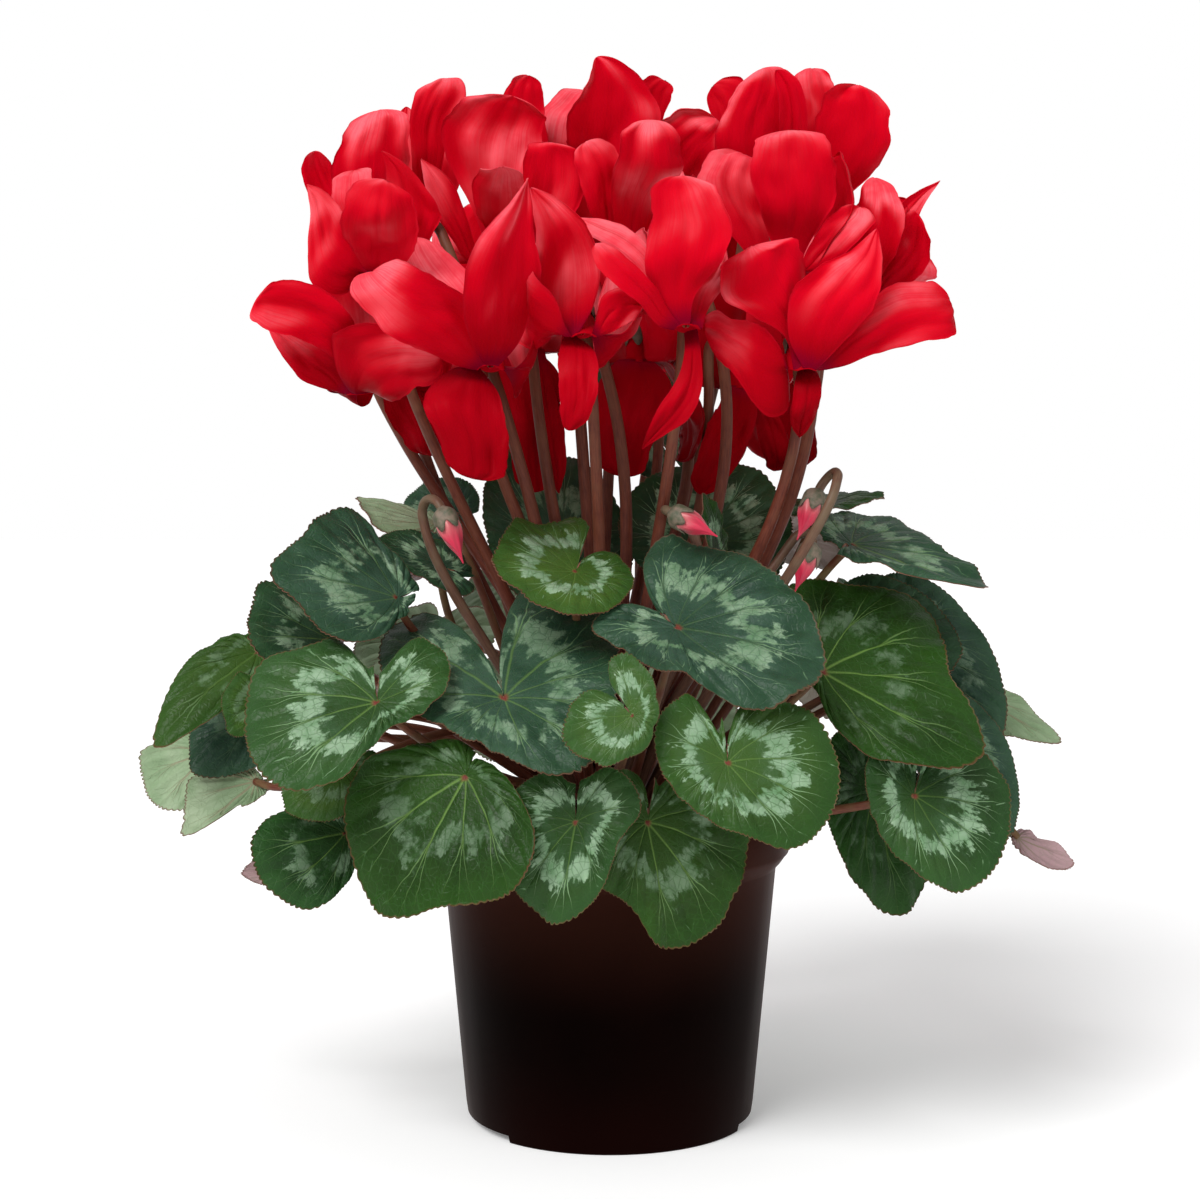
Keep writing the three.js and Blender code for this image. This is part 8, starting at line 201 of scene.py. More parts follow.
# stalk centre lines, from the crown outwards
STALKS = {"Sa:05":[[-5.1,-0.9,107.2],[-8.2,-2.4,119.9],[-12.5,-4.7,133.5],[-17.8,-7.8,147.8],[-23.9,-11.2,162.6],[-30.5,-14.9,177.5],[-37.4,-18.6,192.5],[-44.4,-22,207.2],[-51.2,-24.9,221.5],[-57.5,-27,235.1],[-63.2,-28.2,247.8],[-68,-28.1,259.4],[-71.6,-26.7,269.7],[-72.6,-26.4,271.6],[-74,-26.6,273.1],[-75.8,-27.2,274.2],[-77.7,-28.2,274.5],[-79.4,-29.3,274.1],[-80.8,-30.6,273.1],[-81.6,-31.8,271.5]],
 "Sb:01":[[0,0,107.5],[-3.1,-2.5,127.7],[-7,-6.5,146.3],[-11.6,-11.8,163.4],[-16.6,-18,179.1],[-21.8,-24.5,193.4],[-26.9,-31.1,206.6],[-31.7,-37.4,218.7],[-35.9,-42.9,229.9],[-39.4,-47.2,240.3],[-41.9,-50,249.9],[-43.1,-50.9,259],[-42.8,-49.5,267.6],[-42.4,-49.1,270.6],[-41.8,-49.8,273.5],[-41.1,-51.5,275.9],[-40.4,-54,277.5],[-39.9,-56.9,278.1],[-39.5,-59.9,277.6],[-39.4,-62.6,276.1]],
 "Sc:02":[[-1.8,-4.9,107.2],[-2.2,-6.5,117.7],[-2.4,-10.2,129.8],[-2.7,-15.4,143.3],[-2.9,-21.8,157.9],[-3.1,-28.8,173.3],[-3.4,-36,189.3],[-3.7,-43,205.5],[-4.2,-49.3,221.7],[-4.9,-54.5,237.5],[-5.7,-58,252.8],[-6.7,-59.5,267.1],[-8.1,-58.5,280.3],[-8.4,-58.5,283],[-8.8,-59.4,285.6],[-9.1,-61.2,287.6],[-9.4,-63.6,288.8],[-9.6,-66.3,289.1],[-9.7,-68.9,288.5],[-9.6,-71.2,286.9]],
 "Sd:03":[[3.3,-4,107.2],[4,-6.3,119.3],[5.2,-10.7,132.9],[7,-16.6,147.9],[9.1,-23.6,163.7],[11.4,-31.3,180.1],[13.9,-39,196.7],[16.3,-46.4,213.2],[18.6,-53.1,229.2],[20.6,-58.4,244.4],[22.3,-61.9,258.4],[23.4,-63.3,270.9],[23.9,-61.9,281.5],[23.9,-61.6,283.9],[23.9,-62.3,286.3],[24,-63.7,288.2],[24,-65.7,289.5],[24.1,-68.1,290],[24.1,-70.5,289.6],[24.1,-72.6,288.4]],
 "Se:04":[[5.1,0.9,107.2],[7.7,-1.4,118.3],[12,-5.7,130.2],[17.8,-11.4,142.8],[24.5,-18.2,156],[31.8,-25.5,169.7],[39.2,-33,183.9],[46.3,-40.2,198.4],[52.7,-46.5,213.1],[57.8,-51.6,228],[61.4,-55.1,243],[63,-56.4,257.9],[62.1,-55.1,272.8],[61.8,-55.1,275.2],[61.4,-56.1,277.3],[61,-57.7,279],[60.8,-59.9,280],[60.7,-62.4,280.1],[60.7,-64.6,279.2],[60.9,-66.4,277.6]],
 "Se:09":[[8,-1.7,119.2],[10,-1.6,132.5],[13.2,-2.7,145.1],[16.8,-3.6,157.8],[20.4,-4.5,170.8],[24,-5.4,184],[27.3,-6.4,197.6],[30.3,-7.4,211.8],[32.7,-8.5,226.5],[34.3,-9.9,241.9],[35,-11.4,258.2],[34.7,-13.2,275.4],[35.2,-13.4,278.1],[36.8,-13.3,280.3],[39.2,-13.1,281.7],[41.9,-12.6,281.8],[44.4,-12.1,280.7],[46.1,-11.6,278.6],[46.8,-11.2,275.9]],
 "Sf:15":[[-3.3,4,107.2],[-3.6,5.5,121.4],[-3.5,6.6,138],[-3.3,7.4,156.4],[-2.8,8,176.4],[-2.1,8.6,197.5],[-1.1,9.3,219.3],[0.1,10.2,241.4],[1.5,11.4,263.5],[3.1,13,285],[5,15.1,305.7],[7.1,17.9,325.2],[9.5,21.5,342.9],[10,22.4,345.1],[10.8,24.2,346.7],[11.8,26.3,347.5],[12.8,28.6,347.3],[13.6,30.6,346.1],[14.2,32.1,344.2],[14.4,32.8,341.8]],
 "Sf:19":[[-3.5,5.2,119],[-7.7,8.8,132.1],[-12.3,12.3,146.7],[-17.8,16.3,162.4],[-24.1,20.7,178.8],[-30.6,25.2,195.9],[-37.1,29.6,213.2],[-43.2,33.8,230.6],[-48.4,37.6,247.8],[-52.4,40.7,264.5],[-54.9,43,280.4],[-55.5,44.3,295.4],[-55.5,44.8,297.7],[-55.8,46.1,299.6],[-56.3,47.9,301],[-56.9,50.1,301.6],[-57.6,52.3,301.4],[-58.3,54.2,300.4],[-58.8,55.7,298.7]],
 "Sf:20":[[-3.5,5.3,119.4],[-1.1,10.9,132.8],[1.7,16.6,147.5],[5.1,23.3,163.2],[8.7,30.5,179.8],[12.3,37.8,197],[15.5,44.7,214.6],[18,50.8,232.5],[19.3,55.8,250.4],[19.2,59.1,268.3],[17.3,60.3,285.7],[13.3,59,302.7],[12.1,59,305.7],[10.5,60.1,308.2],[8.7,62,310],[7,64.6,310.9],[5.6,67.5,310.6],[4.7,70.2,309.3],[4.4,72.5,307]],
 "Sg:17":[[1.8,4.9,107.2],[6.8,6,134.9],[11.9,7,160.1],[17.1,7.9,183.2],[22.3,8.7,204.4],[27.3,9.4,224.1],[32.1,10,242.5],[36.6,10.6,259.9],[40.6,11,276.6],[44.2,11.4,292.9],[47,11.6,309.1],[49.2,11.8,325.5],[50.5,11.8,342.3],[51.3,11.9,345.2],[53.3,11.9,347.6],[56.1,11.9,348.9],[59.1,11.9,348.9],[61.9,12,347.6],[63.9,12,345.2],[64.7,12,342.3]],
 "Sg:18":[[3.8,5.3,118.6],[10.5,4.1,130.6],[17.8,2.8,143.9],[26.4,1.1,158.2],[35.8,-0.9,173.5],[45.2,-2.9,189.8],[54.3,-4.7,207],[62.3,-6.2,225.1],[68.9,-7.3,244],[73.3,-7.6,263.8],[75.1,-7.2,284.3],[73.7,-5.7,305.7],[73.9,-5.5,307.8],[74.9,-5.5,309.6],[76.6,-5.6,310.8],[78.7,-5.9,311.2],[80.7,-6.2,310.7],[82.3,-6.5,309.3],[83.2,-6.7,307.4]],
 "Sg:21":[[3.8,5.3,118.4],[7.9,9.9,130.4],[12.5,14.8,143.5],[17.8,20.7,157.5],[23.5,27.2,172.4],[29.5,33.6,188],[35.3,39.7,204.4],[40.8,44.8,221.4],[45.8,48.5,239],[49.9,50.4,257],[52.9,50,275.6],[54.6,46.7,294.5],[55,46.5,296.7],[55.9,46.8,298.7],[57.3,47.8,300.2],[58.9,49.2,300.9],[60.5,50.8,300.8],[61.8,52.4,299.9],[62.6,53.7,298.3]],
 "B01:01":[[1,-11,106.2],[2.8,-13.4,116],[6.6,-17,127.6],[11.6,-21.4,140.6],[17.1,-26.5,154.3],[22.4,-31.9,168.2],[26.9,-37.4,181.6],[29.7,-42.5,194],[30.1,-47.2,204.9],[27.6,-51,213.7],[21.3,-53.8,219.7],[20.1,-54.4,220.4],[19.1,-55.4,220.9],[18.4,-56.8,221.3],[18.3,-58.3,221.4],[18.6,-59.8,221.3],[19.3,-61.1,220.9],[20.4,-62,220.4]],
 "B02:02":[[10,-4.6,106.2],[13.3,-8,116.8],[19,-14.5,129.5],[26.3,-23.1,143.6],[34.8,-32.8,158.5],[43.8,-42.6,173.6],[52.7,-51.5,188.4],[61,-58.4,202.2],[68,-62.4,214.6],[73.1,-62.5,224.8],[75.8,-57.6,232.3],[75.9,-55.5,233.4],[75.5,-53.3,233.9],[74.8,-51.1,233.6],[73.7,-49.3,232.6],[72.5,-48.1,231.1],[71.2,-47.7,229.2],[70.2,-48,227.2]],
 "B03:03":[[6.3,-9,106.2],[10.3,-11.9,121.1],[14.4,-15.8,133.8],[18.6,-20.3,144.7],[23,-25.1,154.3],[27.9,-29.7,163],[33.3,-34,171.4],[39.4,-37.5,179.9],[46.3,-39.8,189],[54.1,-40.6,199.3],[62.9,-39.5,211.1],[64,-39.5,212.2],[65.3,-39.9,212.8],[66.7,-40.6,213],[67.8,-41.5,212.6],[68.6,-42.5,211.7],[68.9,-43.4,210.5],[68.6,-44,209.1]],
 "B04:04":[[-9,-6.3,106.2],[-11.9,-8.9,116.9],[-16.7,-12.6,128.3],[-22.9,-17.2,140.3],[-29.9,-22.2,152.6],[-37.4,-27.5,164.9],[-44.7,-32.7,177.1],[-51.5,-37.5,188.7],[-57.3,-41.5,199.7],[-61.5,-44.5,209.8],[-63.6,-46.2,218.6],[-63.6,-46.8,221],[-63,-48.1,223],[-61.9,-49.8,224.4],[-60.5,-51.7,224.9],[-58.9,-53.6,224.5],[-57.5,-55.1,223.2],[-56.3,-56,221.3]],
 "N10:10":[[-8.5,-14.7,103.9],[-10.6,-19.9,108.4],[-12.9,-25.3,113.1],[-15.1,-30.7,117.8],[-17.4,-36.1,122.5],[-19.7,-41.5,127.3],[-21.9,-46.9,131.9],[-24.1,-52.1,136.4],[-26.1,-57.1,140.8],[-28.1,-61.8,144.9],[-29.8,-66.2,148.7],[-31.4,-70.3,152.1],[-32.8,-73.9,155.2],[-33.9,-77.1,157.8],[-34.7,-79.7,159.9]],
 "N11:11":[[13,-10.9,103.9],[15.9,-13.4,107],[19.4,-16.1,110.8],[23.5,-19,115.2],[28,-22,119.9],[32.9,-25.1,125],[37.9,-28.3,130.3],[43.1,-31.6,135.7],[48.2,-34.8,141],[53.1,-38,146.2],[57.8,-41.1,151.2],[62.1,-44,155.8],[65.9,-46.8,159.9],[69,-49.3,163.4],[71.4,-51.6,166.2]],
 "N13:13":[[17,0,103.9],[20.1,-1.7,106],[23.7,-3.6,107.8],[27.7,-5.9,109.2],[32.2,-8.4,110.5],[37,-11.1,111.5],[42.1,-14,112.5],[47.5,-17,113.4],[53.2,-20.2,114.4],[59,-23.6,115.4],[65,-27,116.6],[71.2,-30.5,118],[77.3,-34,119.6],[83.6,-37.5,121.6],[89.8,-41,124]],
 "N14:14":[[11,1,106.2],[16.6,-2,113.6],[22.5,-4.7,121.6],[28.3,-7.2,130],[34.2,-9.6,138.7],[40.1,-11.9,147.6],[45.9,-14.1,156.4],[51.6,-16.2,165],[57.1,-18.2,173.4],[62.3,-20.3,181.2],[67.3,-22.3,188.5],[72,-24.4,194.9],[76.3,-26.5,200.5],[80.2,-28.8,204.9],[83.6,-31.1,208.2]],
 "N01:01":[[-4.6,-10,106.2],[-5.7,-13.4,113.4],[-6.7,-17.1,120.9],[-7.6,-21,128.6],[-8.4,-24.9,136.3],[-9.1,-29,144],[-9.7,-33,151.6],[-10.2,-37.1,159],[-10.6,-41.1,166.3],[-11,-45,173.2],[-11.3,-48.7,179.7],[-11.5,-52.2,185.7],[-11.7,-55.5,191.2],[-11.8,-58.5,196.1],[-11.9,-61.2,200.3]],
 "N02:02":[[3,-16.7,103.9],[4.4,-22.7,111],[5.8,-28.4,117.9],[7.3,-33.7,124.4],[8.8,-38.6,130.8],[10.3,-43.3,136.8],[11.7,-47.8,142.7],[13.2,-52.1,148.4],[14.6,-56.2,153.8],[15.9,-60.2,159.1],[17.2,-64.1,164.2],[18.4,-68,169.1],[19.5,-71.8,173.9],[20.6,-75.7,178.6],[21.5,-79.7,183.1]],
 "N03:03":[[-3,-16.7,103.9],[-2.3,-26,109.7],[-1.7,-34.4,114.8],[-0.9,-41.9,119.4],[-0.1,-48.7,123.6],[0.7,-55,127.3],[1.5,-60.9,130.8],[2.3,-66.5,134.1],[3.1,-72,137.2],[3.9,-77.4,140.3],[4.6,-82.9,143.4],[5.3,-88.7,146.7],[5.9,-94.9,150.1],[6.4,-101.6,153.8],[6.9,-109,157.9]],
 "N04:04":[[8.5,-14.7,103.9],[12,-21.9,112.9],[14.9,-28.6,120.2],[17.5,-35.1,126.1],[19.6,-41.3,130.6],[21.5,-47.3,134.1],[23.2,-53.1,136.6],[24.7,-58.9,138.3],[26.1,-64.7,139.4],[27.5,-70.5,140.1],[29,-76.5,140.4],[30.5,-82.6,140.6],[32.3,-88.9,140.9],[34.2,-95.6,141.4],[36.5,-102.6,142.3]],
 "N05:05":[[-13,-10.9,103.9],[-15.2,-14.8,106.9],[-16.6,-19.3,109.5],[-17.3,-24.4,111.6],[-17.6,-29.9,113.3],[-17.3,-35.9,114.7],[-16.8,-42.1,115.9],[-15.9,-48.5,116.8],[-14.9,-55.1,117.6],[-13.9,-61.6,118.2],[-12.9,-68,118.8],[-12,-74.3,119.4],[-11.3,-80.3,120.1],[-11,-85.9,120.9],[-11.1,-91,121.8]],
 "N06:06":[[-17,0,103.9],[-16.8,-4.3,109.4],[-16.2,-8.8,113.5],[-15.3,-13.5,116.4],[-14.1,-18.5,118.3],[-12.6,-23.6,119.4],[-10.9,-28.9,119.8],[-8.9,-34.5,119.8],[-6.6,-40.3,119.4],[-4.1,-46.3,118.8],[-1.3,-52.5,118.3],[1.6,-58.9,118],[4.8,-65.5,118],[8.2,-72.4,118.6],[11.7,-79.4,119.9]],
 "N07:07":[[-16,5.8,103.9],[-17.2,2.9,108.1],[-18.7,-1.6,111.9],[-20.7,-7.2,115.4],[-22.9,-13.9,118.6],[-25.3,-21.3,121.5],[-27.9,-29.2,124.2],[-30.5,-37.4,126.5],[-33.2,-45.7,128.6],[-35.9,-53.8,130.3],[-38.5,-61.5,131.9],[-40.9,-68.5,133.1],[-43.2,-74.7,134.1],[-45.1,-79.7,134.9],[-46.8,-83.4,135.4]],
 "N08:08":[[-13,10.9,103.9],[-16.8,7.8,108.4],[-20.8,3.8,112.4],[-24.9,-1,116],[-29.1,-6.6,119.3],[-33.5,-12.7,122.5],[-38,-19.4,125.5],[-42.5,-26.6,128.6],[-47.1,-34.2,131.8],[-51.8,-42.1,135.2],[-56.6,-50.2,139],[-61.3,-58.5,143.1],[-66.1,-66.9,147.8],[-70.9,-75.3,153.1],[-75.6,-83.6,159.1]],
 "N09:09":[[-11,-1,106.2],[-14.1,-2.8,112.7],[-18.2,-5.3,119.4],[-22.9,-8.3,126.3],[-28.3,-11.8,133.2],[-34,-15.5,140.2],[-39.9,-19.5,147.1],[-45.8,-23.6,153.9],[-51.6,-27.8,160.4],[-57,-31.9,166.6],[-61.9,-35.8,172.5],[-66.1,-39.4,178],[-69.4,-42.7,182.9],[-71.6,-45.5,187.3],[-72.5,-47.7,190.9]],
 "NA:20a":[[-8.5,14.7,103.9],[-12.8,14.1,108.2],[-18.4,12.5,113],[-24.9,10.2,118.2],[-32.2,7.2,123.7],[-40,3.6,129.4],[-48.2,-0.4,135.3],[-56.4,-4.7,141.1],[-64.5,-9.2,146.9],[-72.2,-13.7,152.6],[-79.3,-18.3,158],[-85.6,-22.7,163.1],[-90.8,-26.8,167.8],[-94.7,-30.5,172],[-97.1,-33.8,175.6]],
 "NA:20b":[[-18.6,12.4,113.2],[-26.6,12.3,116.3],[-34.4,10.7,119.8],[-42.8,8.6,123.1],[-51.7,6.1,126.5],[-60.9,3.1,130.1],[-70.3,-0.3,134],[-79.8,-4.3,138.3],[-89.1,-8.7,143.2],[-98.1,-13.6,148.8],[-106.8,-19.1,155.2],[-114.8,-25.1,162.7],[-122.1,-31.6,171.2]],
 "NA:20c":[[-19.5,12.1,113.9],[-29.1,12.6,124.1],[-38.3,10.6,131.3],[-46.8,8.1,136.8],[-54.9,4.9,140.8],[-62.5,1.1,143.8],[-69.8,-3.3,145.9],[-76.8,-8.4,147.3],[-83.7,-14.2,148.3],[-90.5,-20.7,149.2],[-97.4,-27.8,150.2],[-104.4,-35.7,151.6],[-111.6,-44.3,153.6],[-119.1,-53.6,156.4]],
 "NA:22a":[[-16.5,13,111.4],[-21.5,8.3,113.7],[-26.7,3.9,116.2],[-32.4,-1.2,118.5],[-38.4,-7.1,120.6],[-44.6,-13.4,122.4],[-51.1,-20,124.2],[-57.7,-26.9,125.8],[-64.5,-33.7,127.4],[-71.3,-40.3,129],[-78.1,-46.6,130.7],[-84.8,-52.4,132.5],[-91.5,-57.6,134.4]],
 "NB:21a":[[-3,16.7,103.9],[-11.9,17.6,112.9],[-20.7,17.6,120],[-29.4,16.9,125.4],[-38,15.5,129.5],[-46.5,13.5,132.4],[-55,10.9,134.4],[-63.5,7.7,135.7],[-71.9,4,136.7],[-80.3,-0.1,137.5],[-88.8,-4.6,138.4],[-97.3,-9.4,139.7],[-105.8,-14.6,141.6],[-114.5,-20,144.4],[-123.2,-25.6,148.3]],
 "ND:23a":[[-10,4.6,106.2],[-14.7,5.4,113.9],[-19.4,5.8,123],[-24.1,5.7,133.1],[-28.6,5.3,144],[-33,4.7,155.2],[-37.2,4,166.4],[-41.3,3.3,177.3],[-45.1,2.7,187.6],[-48.8,2.2,196.8],[-52.2,2,204.6],[-55.3,2.2,210.7],[-58.1,2.8,214.8],[-60.6,4,216.4],[-62.8,5.8,215.3]],
 "ND:23b":[[-17.4,5.6,119],[-20,9.3,127.8],[-23.1,11.6,137.3],[-26.3,14,147.3],[-29.5,16.6,157.6],[-32.6,19.1,168.1],[-35.9,21.4,178.2],[-39.2,23.5,187.9],[-42.7,25.3,196.8],[-46.3,26.5,204.6],[-50.1,27.2,211],[-54,27.2,215.8],[-58.2,26.4,218.7]],
 "ND:23c":[[-15.6,5.5,115.6],[-20.8,5.1,120.3],[-25.2,4.7,126],[-29.9,4,132.2],[-34.7,3.1,138.8],[-39.5,1.8,145.7],[-44,0.3,152.9],[-48.3,-1.4,160.4],[-52.1,-3.4,168.1],[-55.3,-5.7,176],[-57.9,-8.1,184],[-59.6,-10.8,192.1],[-60.4,-13.8,200.2]],
 "NE:24a":[[9,6.3,106.2],[13.2,6.9,111.2],[18,7.4,117.5],[23.2,8,124.9],[28.7,8.6,133.2],[34.5,9.1,142.2],[40.3,9.7,151.7],[46.2,10.2,161.5],[51.9,10.7,171.3],[57.3,11.2,181],[62.3,11.6,190.4],[66.8,12,199.3],[70.7,12.4,207.5],[73.9,12.8,214.7],[76.2,13.1,220.8]],
 "NE:24b":[[17.9,7.4,117.4],[25.1,5.8,122.2],[31.5,4.7,128],[38.2,3.2,133.8],[45,1.5,139.6],[51.8,-0.5,145.3],[58.6,-2.7,150.8],[65,-4.9,156],[71.2,-7.2,160.8],[76.8,-9.5,165.1],[81.7,-11.7,168.8],[85.9,-13.8,171.9],[89.2,-15.6,174.1]],
 "NE:24c":[[13.2,6.9,111.2],[19.8,7.5,115.6],[26.8,8.1,120.5],[34.6,8.5,125.6],[43,8.8,130.7],[51.7,8.9,135.9],[60.5,8.7,141],[69.2,8.3,146.1],[77.6,7.4,151.1],[85.3,6.2,156],[92.3,4.5,160.7],[98.2,2.3,165.1],[102.8,-0.4,169.4],[106,-3.8,173.3]],
 "NF:25a":[[16,5.8,103.9],[28.3,6.3,113.5],[40,6.4,122.2],[51.1,6.4,130.1],[61.5,6.3,137],[71.4,6.2,142.9],[80.7,6.1,147.9],[89.5,6.2,151.9],[97.7,6.5,154.9],[105.6,7.1,156.8],[113,8.1,157.6],[120,9.6,157.4],[126.7,11.6,156],[133,14.3,153.5],[139,17.7,149.9]],
 "NG:26b":[[4.6,10,106.2],[6.8,14.1,116.5],[8.4,18.9,127.3],[9.5,24.2,138.5],[10.2,29.7,149.8],[10.7,35.4,161.2],[10.9,41.1,172.6],[11.1,46.6,183.9],[11.3,51.8,194.9],[11.5,56.4,205.6],[12,60.4,215.8],[12.7,63.5,225.4],[13.8,65.7,234.3],[15.4,66.7,242.4],[17.6,66.4,249.6]],
 "NG:26c":[[7,14.7,117.8],[11.2,16.4,125],[14.4,18.7,132.8],[17.7,20.9,141.1],[21.2,22.9,149.6],[24.5,24.6,158.3],[27.7,26,167],[30.4,26.9,175.4],[32.7,27.1,183.4],[34.2,26.7,190.9],[35,25.5,197.7],[34.8,23.5,203.5],[33.4,20.4,208.3]],
 "NG:27a":[[6.8,14.2,116.8],[4.3,15.6,124.4],[2.9,17.6,132.2],[1,19.6,140.5],[-1.3,21.4,149.2],[-3.7,23,158],[-6.4,24.4,166.7],[-9,25.3,175.2],[-11.5,25.9,183.2],[-13.8,26,190.5],[-15.8,25.5,197],[-17.4,24.3,202.4],[-18.4,22.4,206.5]],
 "NI:30a":[[13,10.9,103.9],[17,12.6,107.8],[22,14.2,112.3],[27.8,16,117.3],[34.3,17.7,122.7],[41.4,19.5,128.4],[48.8,21.3,134.3],[56.5,23,140.4],[64.2,24.8,146.5],[71.9,26.5,152.6],[79.3,28.1,158.5],[86.3,29.6,164.1],[92.7,31.1,169.5],[98.4,32.4,174.3],[103.3,33.7,178.7]],
 "NI:30b":[[16.9,12.5,107.7],[19.8,15,113.2],[23,17.6,119.1],[26.2,20.5,125.7],[29.3,23.7,132.9],[32.5,27,140.7],[35.6,30.5,148.8],[38.9,34,157.3],[42.2,37.7,166],[45.7,41.3,174.8],[49.3,44.9,183.6],[53.2,48.4,192.3],[57.3,51.7,200.9],[61.7,54.9,209.1]],
 "NI:36c":[[20.3,13.7,110.8],[27.4,13,112.9],[34.3,12.9,115.8],[41.8,12.7,118.7],[49.8,12.2,121.6],[58,11.5,124.4],[66.3,10.8,127],[74.4,10,129.6],[82.1,9.2,132],[89.2,8.5,134.3],[95.5,7.9,136.4],[100.8,7.6,138.3],[104.9,7.4,140]],
 "NJ:31":[[8.5,14.7,103.9],[11.2,18.1,107.3],[15.2,22,111],[20.3,26.2,115],[26.2,30.7,119.2],[32.8,35.5,123.5],[39.8,40.3,127.9],[47.1,45.1,132.2],[54.4,49.9,136.5],[61.5,54.6,140.7],[68.2,59,144.6],[74.3,63.1,148.3],[79.6,66.9,151.6],[83.8,70.1,154.5],[86.8,72.8,157]],
 "NJ:32a":[[11.5,18.5,107.6],[13.8,23.4,112.8],[16.8,28.6,118.2],[20.1,34.2,124.1],[23.5,40.3,130.4],[27,46.6,136.9],[30.5,53.1,143.5],[34,59.6,150.1],[37.4,66.2,156.6],[40.6,72.6,162.8],[43.6,78.9,168.6],[46.3,84.8,173.9],[48.6,90.4,178.7],[50.6,95.4,182.7]],
 "NJ:32b":[[12.6,19.4,108.6],[12.4,25.1,111.4],[13.6,29.9,114.3],[14.8,35.3,117.2],[15.9,40.9,120.2],[17,46.7,123.2],[18.1,52.6,126.1],[19.1,58.3,129],[20,63.7,131.7],[20.9,68.8,134.2],[21.7,73.2,136.4],[22.4,77,138.4],[23,79.9,140]],
 "NK:33":[[3,16.7,103.9],[1.9,26.3,112.6],[0.9,34.8,120.2],[0,42.4,127],[-0.7,49.2,132.9],[-1.3,55.5,138.1],[-1.7,61.3,142.7],[-1.8,66.9,146.8],[-1.6,72.4,150.4],[-1.1,77.9,153.7],[-0.2,83.7,156.8],[1.1,89.8,159.7],[2.8,96.5,162.6],[5,103.8,165.6],[7.8,112,168.7]],
 "NK:34a":[[1.8,26.9,113.1],[-0.3,30.7,120.1],[-2,35.5,126.8],[-4,40.5,133.9],[-6.3,45.8,141.1],[-8.8,51.3,148.5],[-11.5,57.2,155.8],[-14.3,63.4,162.9],[-17.2,70.1,169.7],[-20.2,77.2,175.9],[-23.2,84.8,181.5],[-26.2,93.1,186.3],[-29.1,101.9,190.2]],
 "NK:34b":[[2.3,23.1,109.7],[-1.8,27.3,112.4],[-4.8,31.8,115.6],[-8.3,36.5,118.9],[-12,41.5,122.3],[-16,46.6,125.7],[-20,51.6,129],[-23.9,56.6,132.2],[-27.6,61.3,135.3],[-31,65.8,138.1],[-33.8,69.9,140.6],[-36,73.5,142.8],[-37.4,76.5,144.6]],
 "Sa:06":[[-7.5,-2,117.2],[-12.8,0.9,128.7],[-19.1,3.5,141.3],[-26.5,6.7,155],[-34.5,10,169.6],[-42.8,13.1,185],[-51,15.5,200.8],[-58.7,16.8,217.1],[-65.4,16.6,233.5],[-70.7,14.4,250],[-74.2,9.8,266.4],[-75.6,2.5,282.4],[-75.5,0.6,284.7],[-75,-2,286],[-74.3,-4.8,286.2],[-73.4,-7.4,285.2],[-72.6,-9.4,283.3],[-71.9,-10.5,280.7],[-71.5,-10.5,277.8]],
 "Sa:10":[[-8,-2.2,119],[-9.4,-6.8,132],[-11.7,-12,146],[-14.2,-18.2,161],[-17.1,-24.7,177],[-20.4,-31,193.9],[-24.4,-36.6,211.9],[-29.1,-41,230.7],[-34.6,-43.6,250.4],[-41,-44,271],[-48.6,-41.7,292.5],[-57.3,-36,314.7],[-59,-35.1,317.3],[-61.5,-34.5,319.1],[-64.6,-34.2,320],[-67.7,-34.3,319.7],[-70.6,-34.6,318.3],[-72.8,-35.3,316.1],[-74,-36.2,313.3]],
 "Sb:11":[[-3.1,-2.5,127.9],[-12.9,-0.4,148.1],[-23.8,0.9,168.1],[-36.5,3,187.8],[-49.9,5.5,207.3],[-63,8.3,226.5],[-75.1,11,245.5],[-84.9,13.5,264.2],[-91.7,15.5,282.6],[-94.5,16.8,300.8],[-92.2,17.1,318.6],[-84,16.2,336.2],[-81.6,15.7,338.7],[-78.5,14.7,340.2],[-75.2,13.5,340.3],[-72.1,12.1,339.2],[-69.7,10.9,336.8],[-68.4,9.9,333.7],[-68.3,9.3,330.2]],
 "Sb:12":[[-2,-1.6,120.5],[-0.2,-5.5,134.9],[1.2,-10.2,150.4],[2.9,-15.5,166.8],[4.4,-21,184.1],[5.5,-26.1,202.3],[5.5,-30.2,221.1],[4,-33,240.5],[0.6,-33.8,260.4],[-5.3,-32.2,280.7],[-14,-27.6,301.2],[-26,-19.5,321.9],[-27.2,-18.8,323.2],[-28.9,-18.2,323.9],[-30.8,-17.7,323.9],[-32.6,-17.5,323.3],[-34.1,-17.5,322],[-35.1,-17.7,320.4],[-35.5,-18.2,318.6]],
 "Sc:07":[[-2.5,-10.7,131.2],[-6.3,-12.1,145.9],[-8.9,-16.1,160.7],[-11.7,-20.2,176.1],[-14.6,-24.2,192.1],[-17.6,-27.6,208.4],[-20.4,-30,225],[-23,-31.2,241.6],[-25.2,-30.7,258.2],[-26.9,-28.3,274.4],[-27.9,-23.4,290.3],[-28.1,-22.1,292.3],[-28.2,-20.2,293.7],[-28.4,-17.9,294.3],[-28.6,-15.5,293.9],[-28.8,-13.4,292.7],[-28.9,-11.9,290.9],[-29,-11.2,288.6]],
 "Sc:13":[[-1.8,-4.9,107.2],[-2.9,-6.8,131.7],[-4.1,-9.9,154.3],[-5.3,-13.6,175.2],[-6.4,-17.5,194.9],[-7.6,-21,213.7],[-8.9,-23.6,231.8],[-10.1,-24.9,249.5],[-11.4,-24.4,267.3],[-12.7,-21.5,285.4],[-14,-15.8,304.1],[-15.3,-6.7,323.8],[-16.7,6.2,344.8],[-16.9,8.4,347],[-17.2,11.3,348.3],[-17.5,14.4,348.5],[-17.7,17.4,347.5],[-18,19.8,345.6],[-18.1,21.4,342.9],[-18.2,22,339.8]],
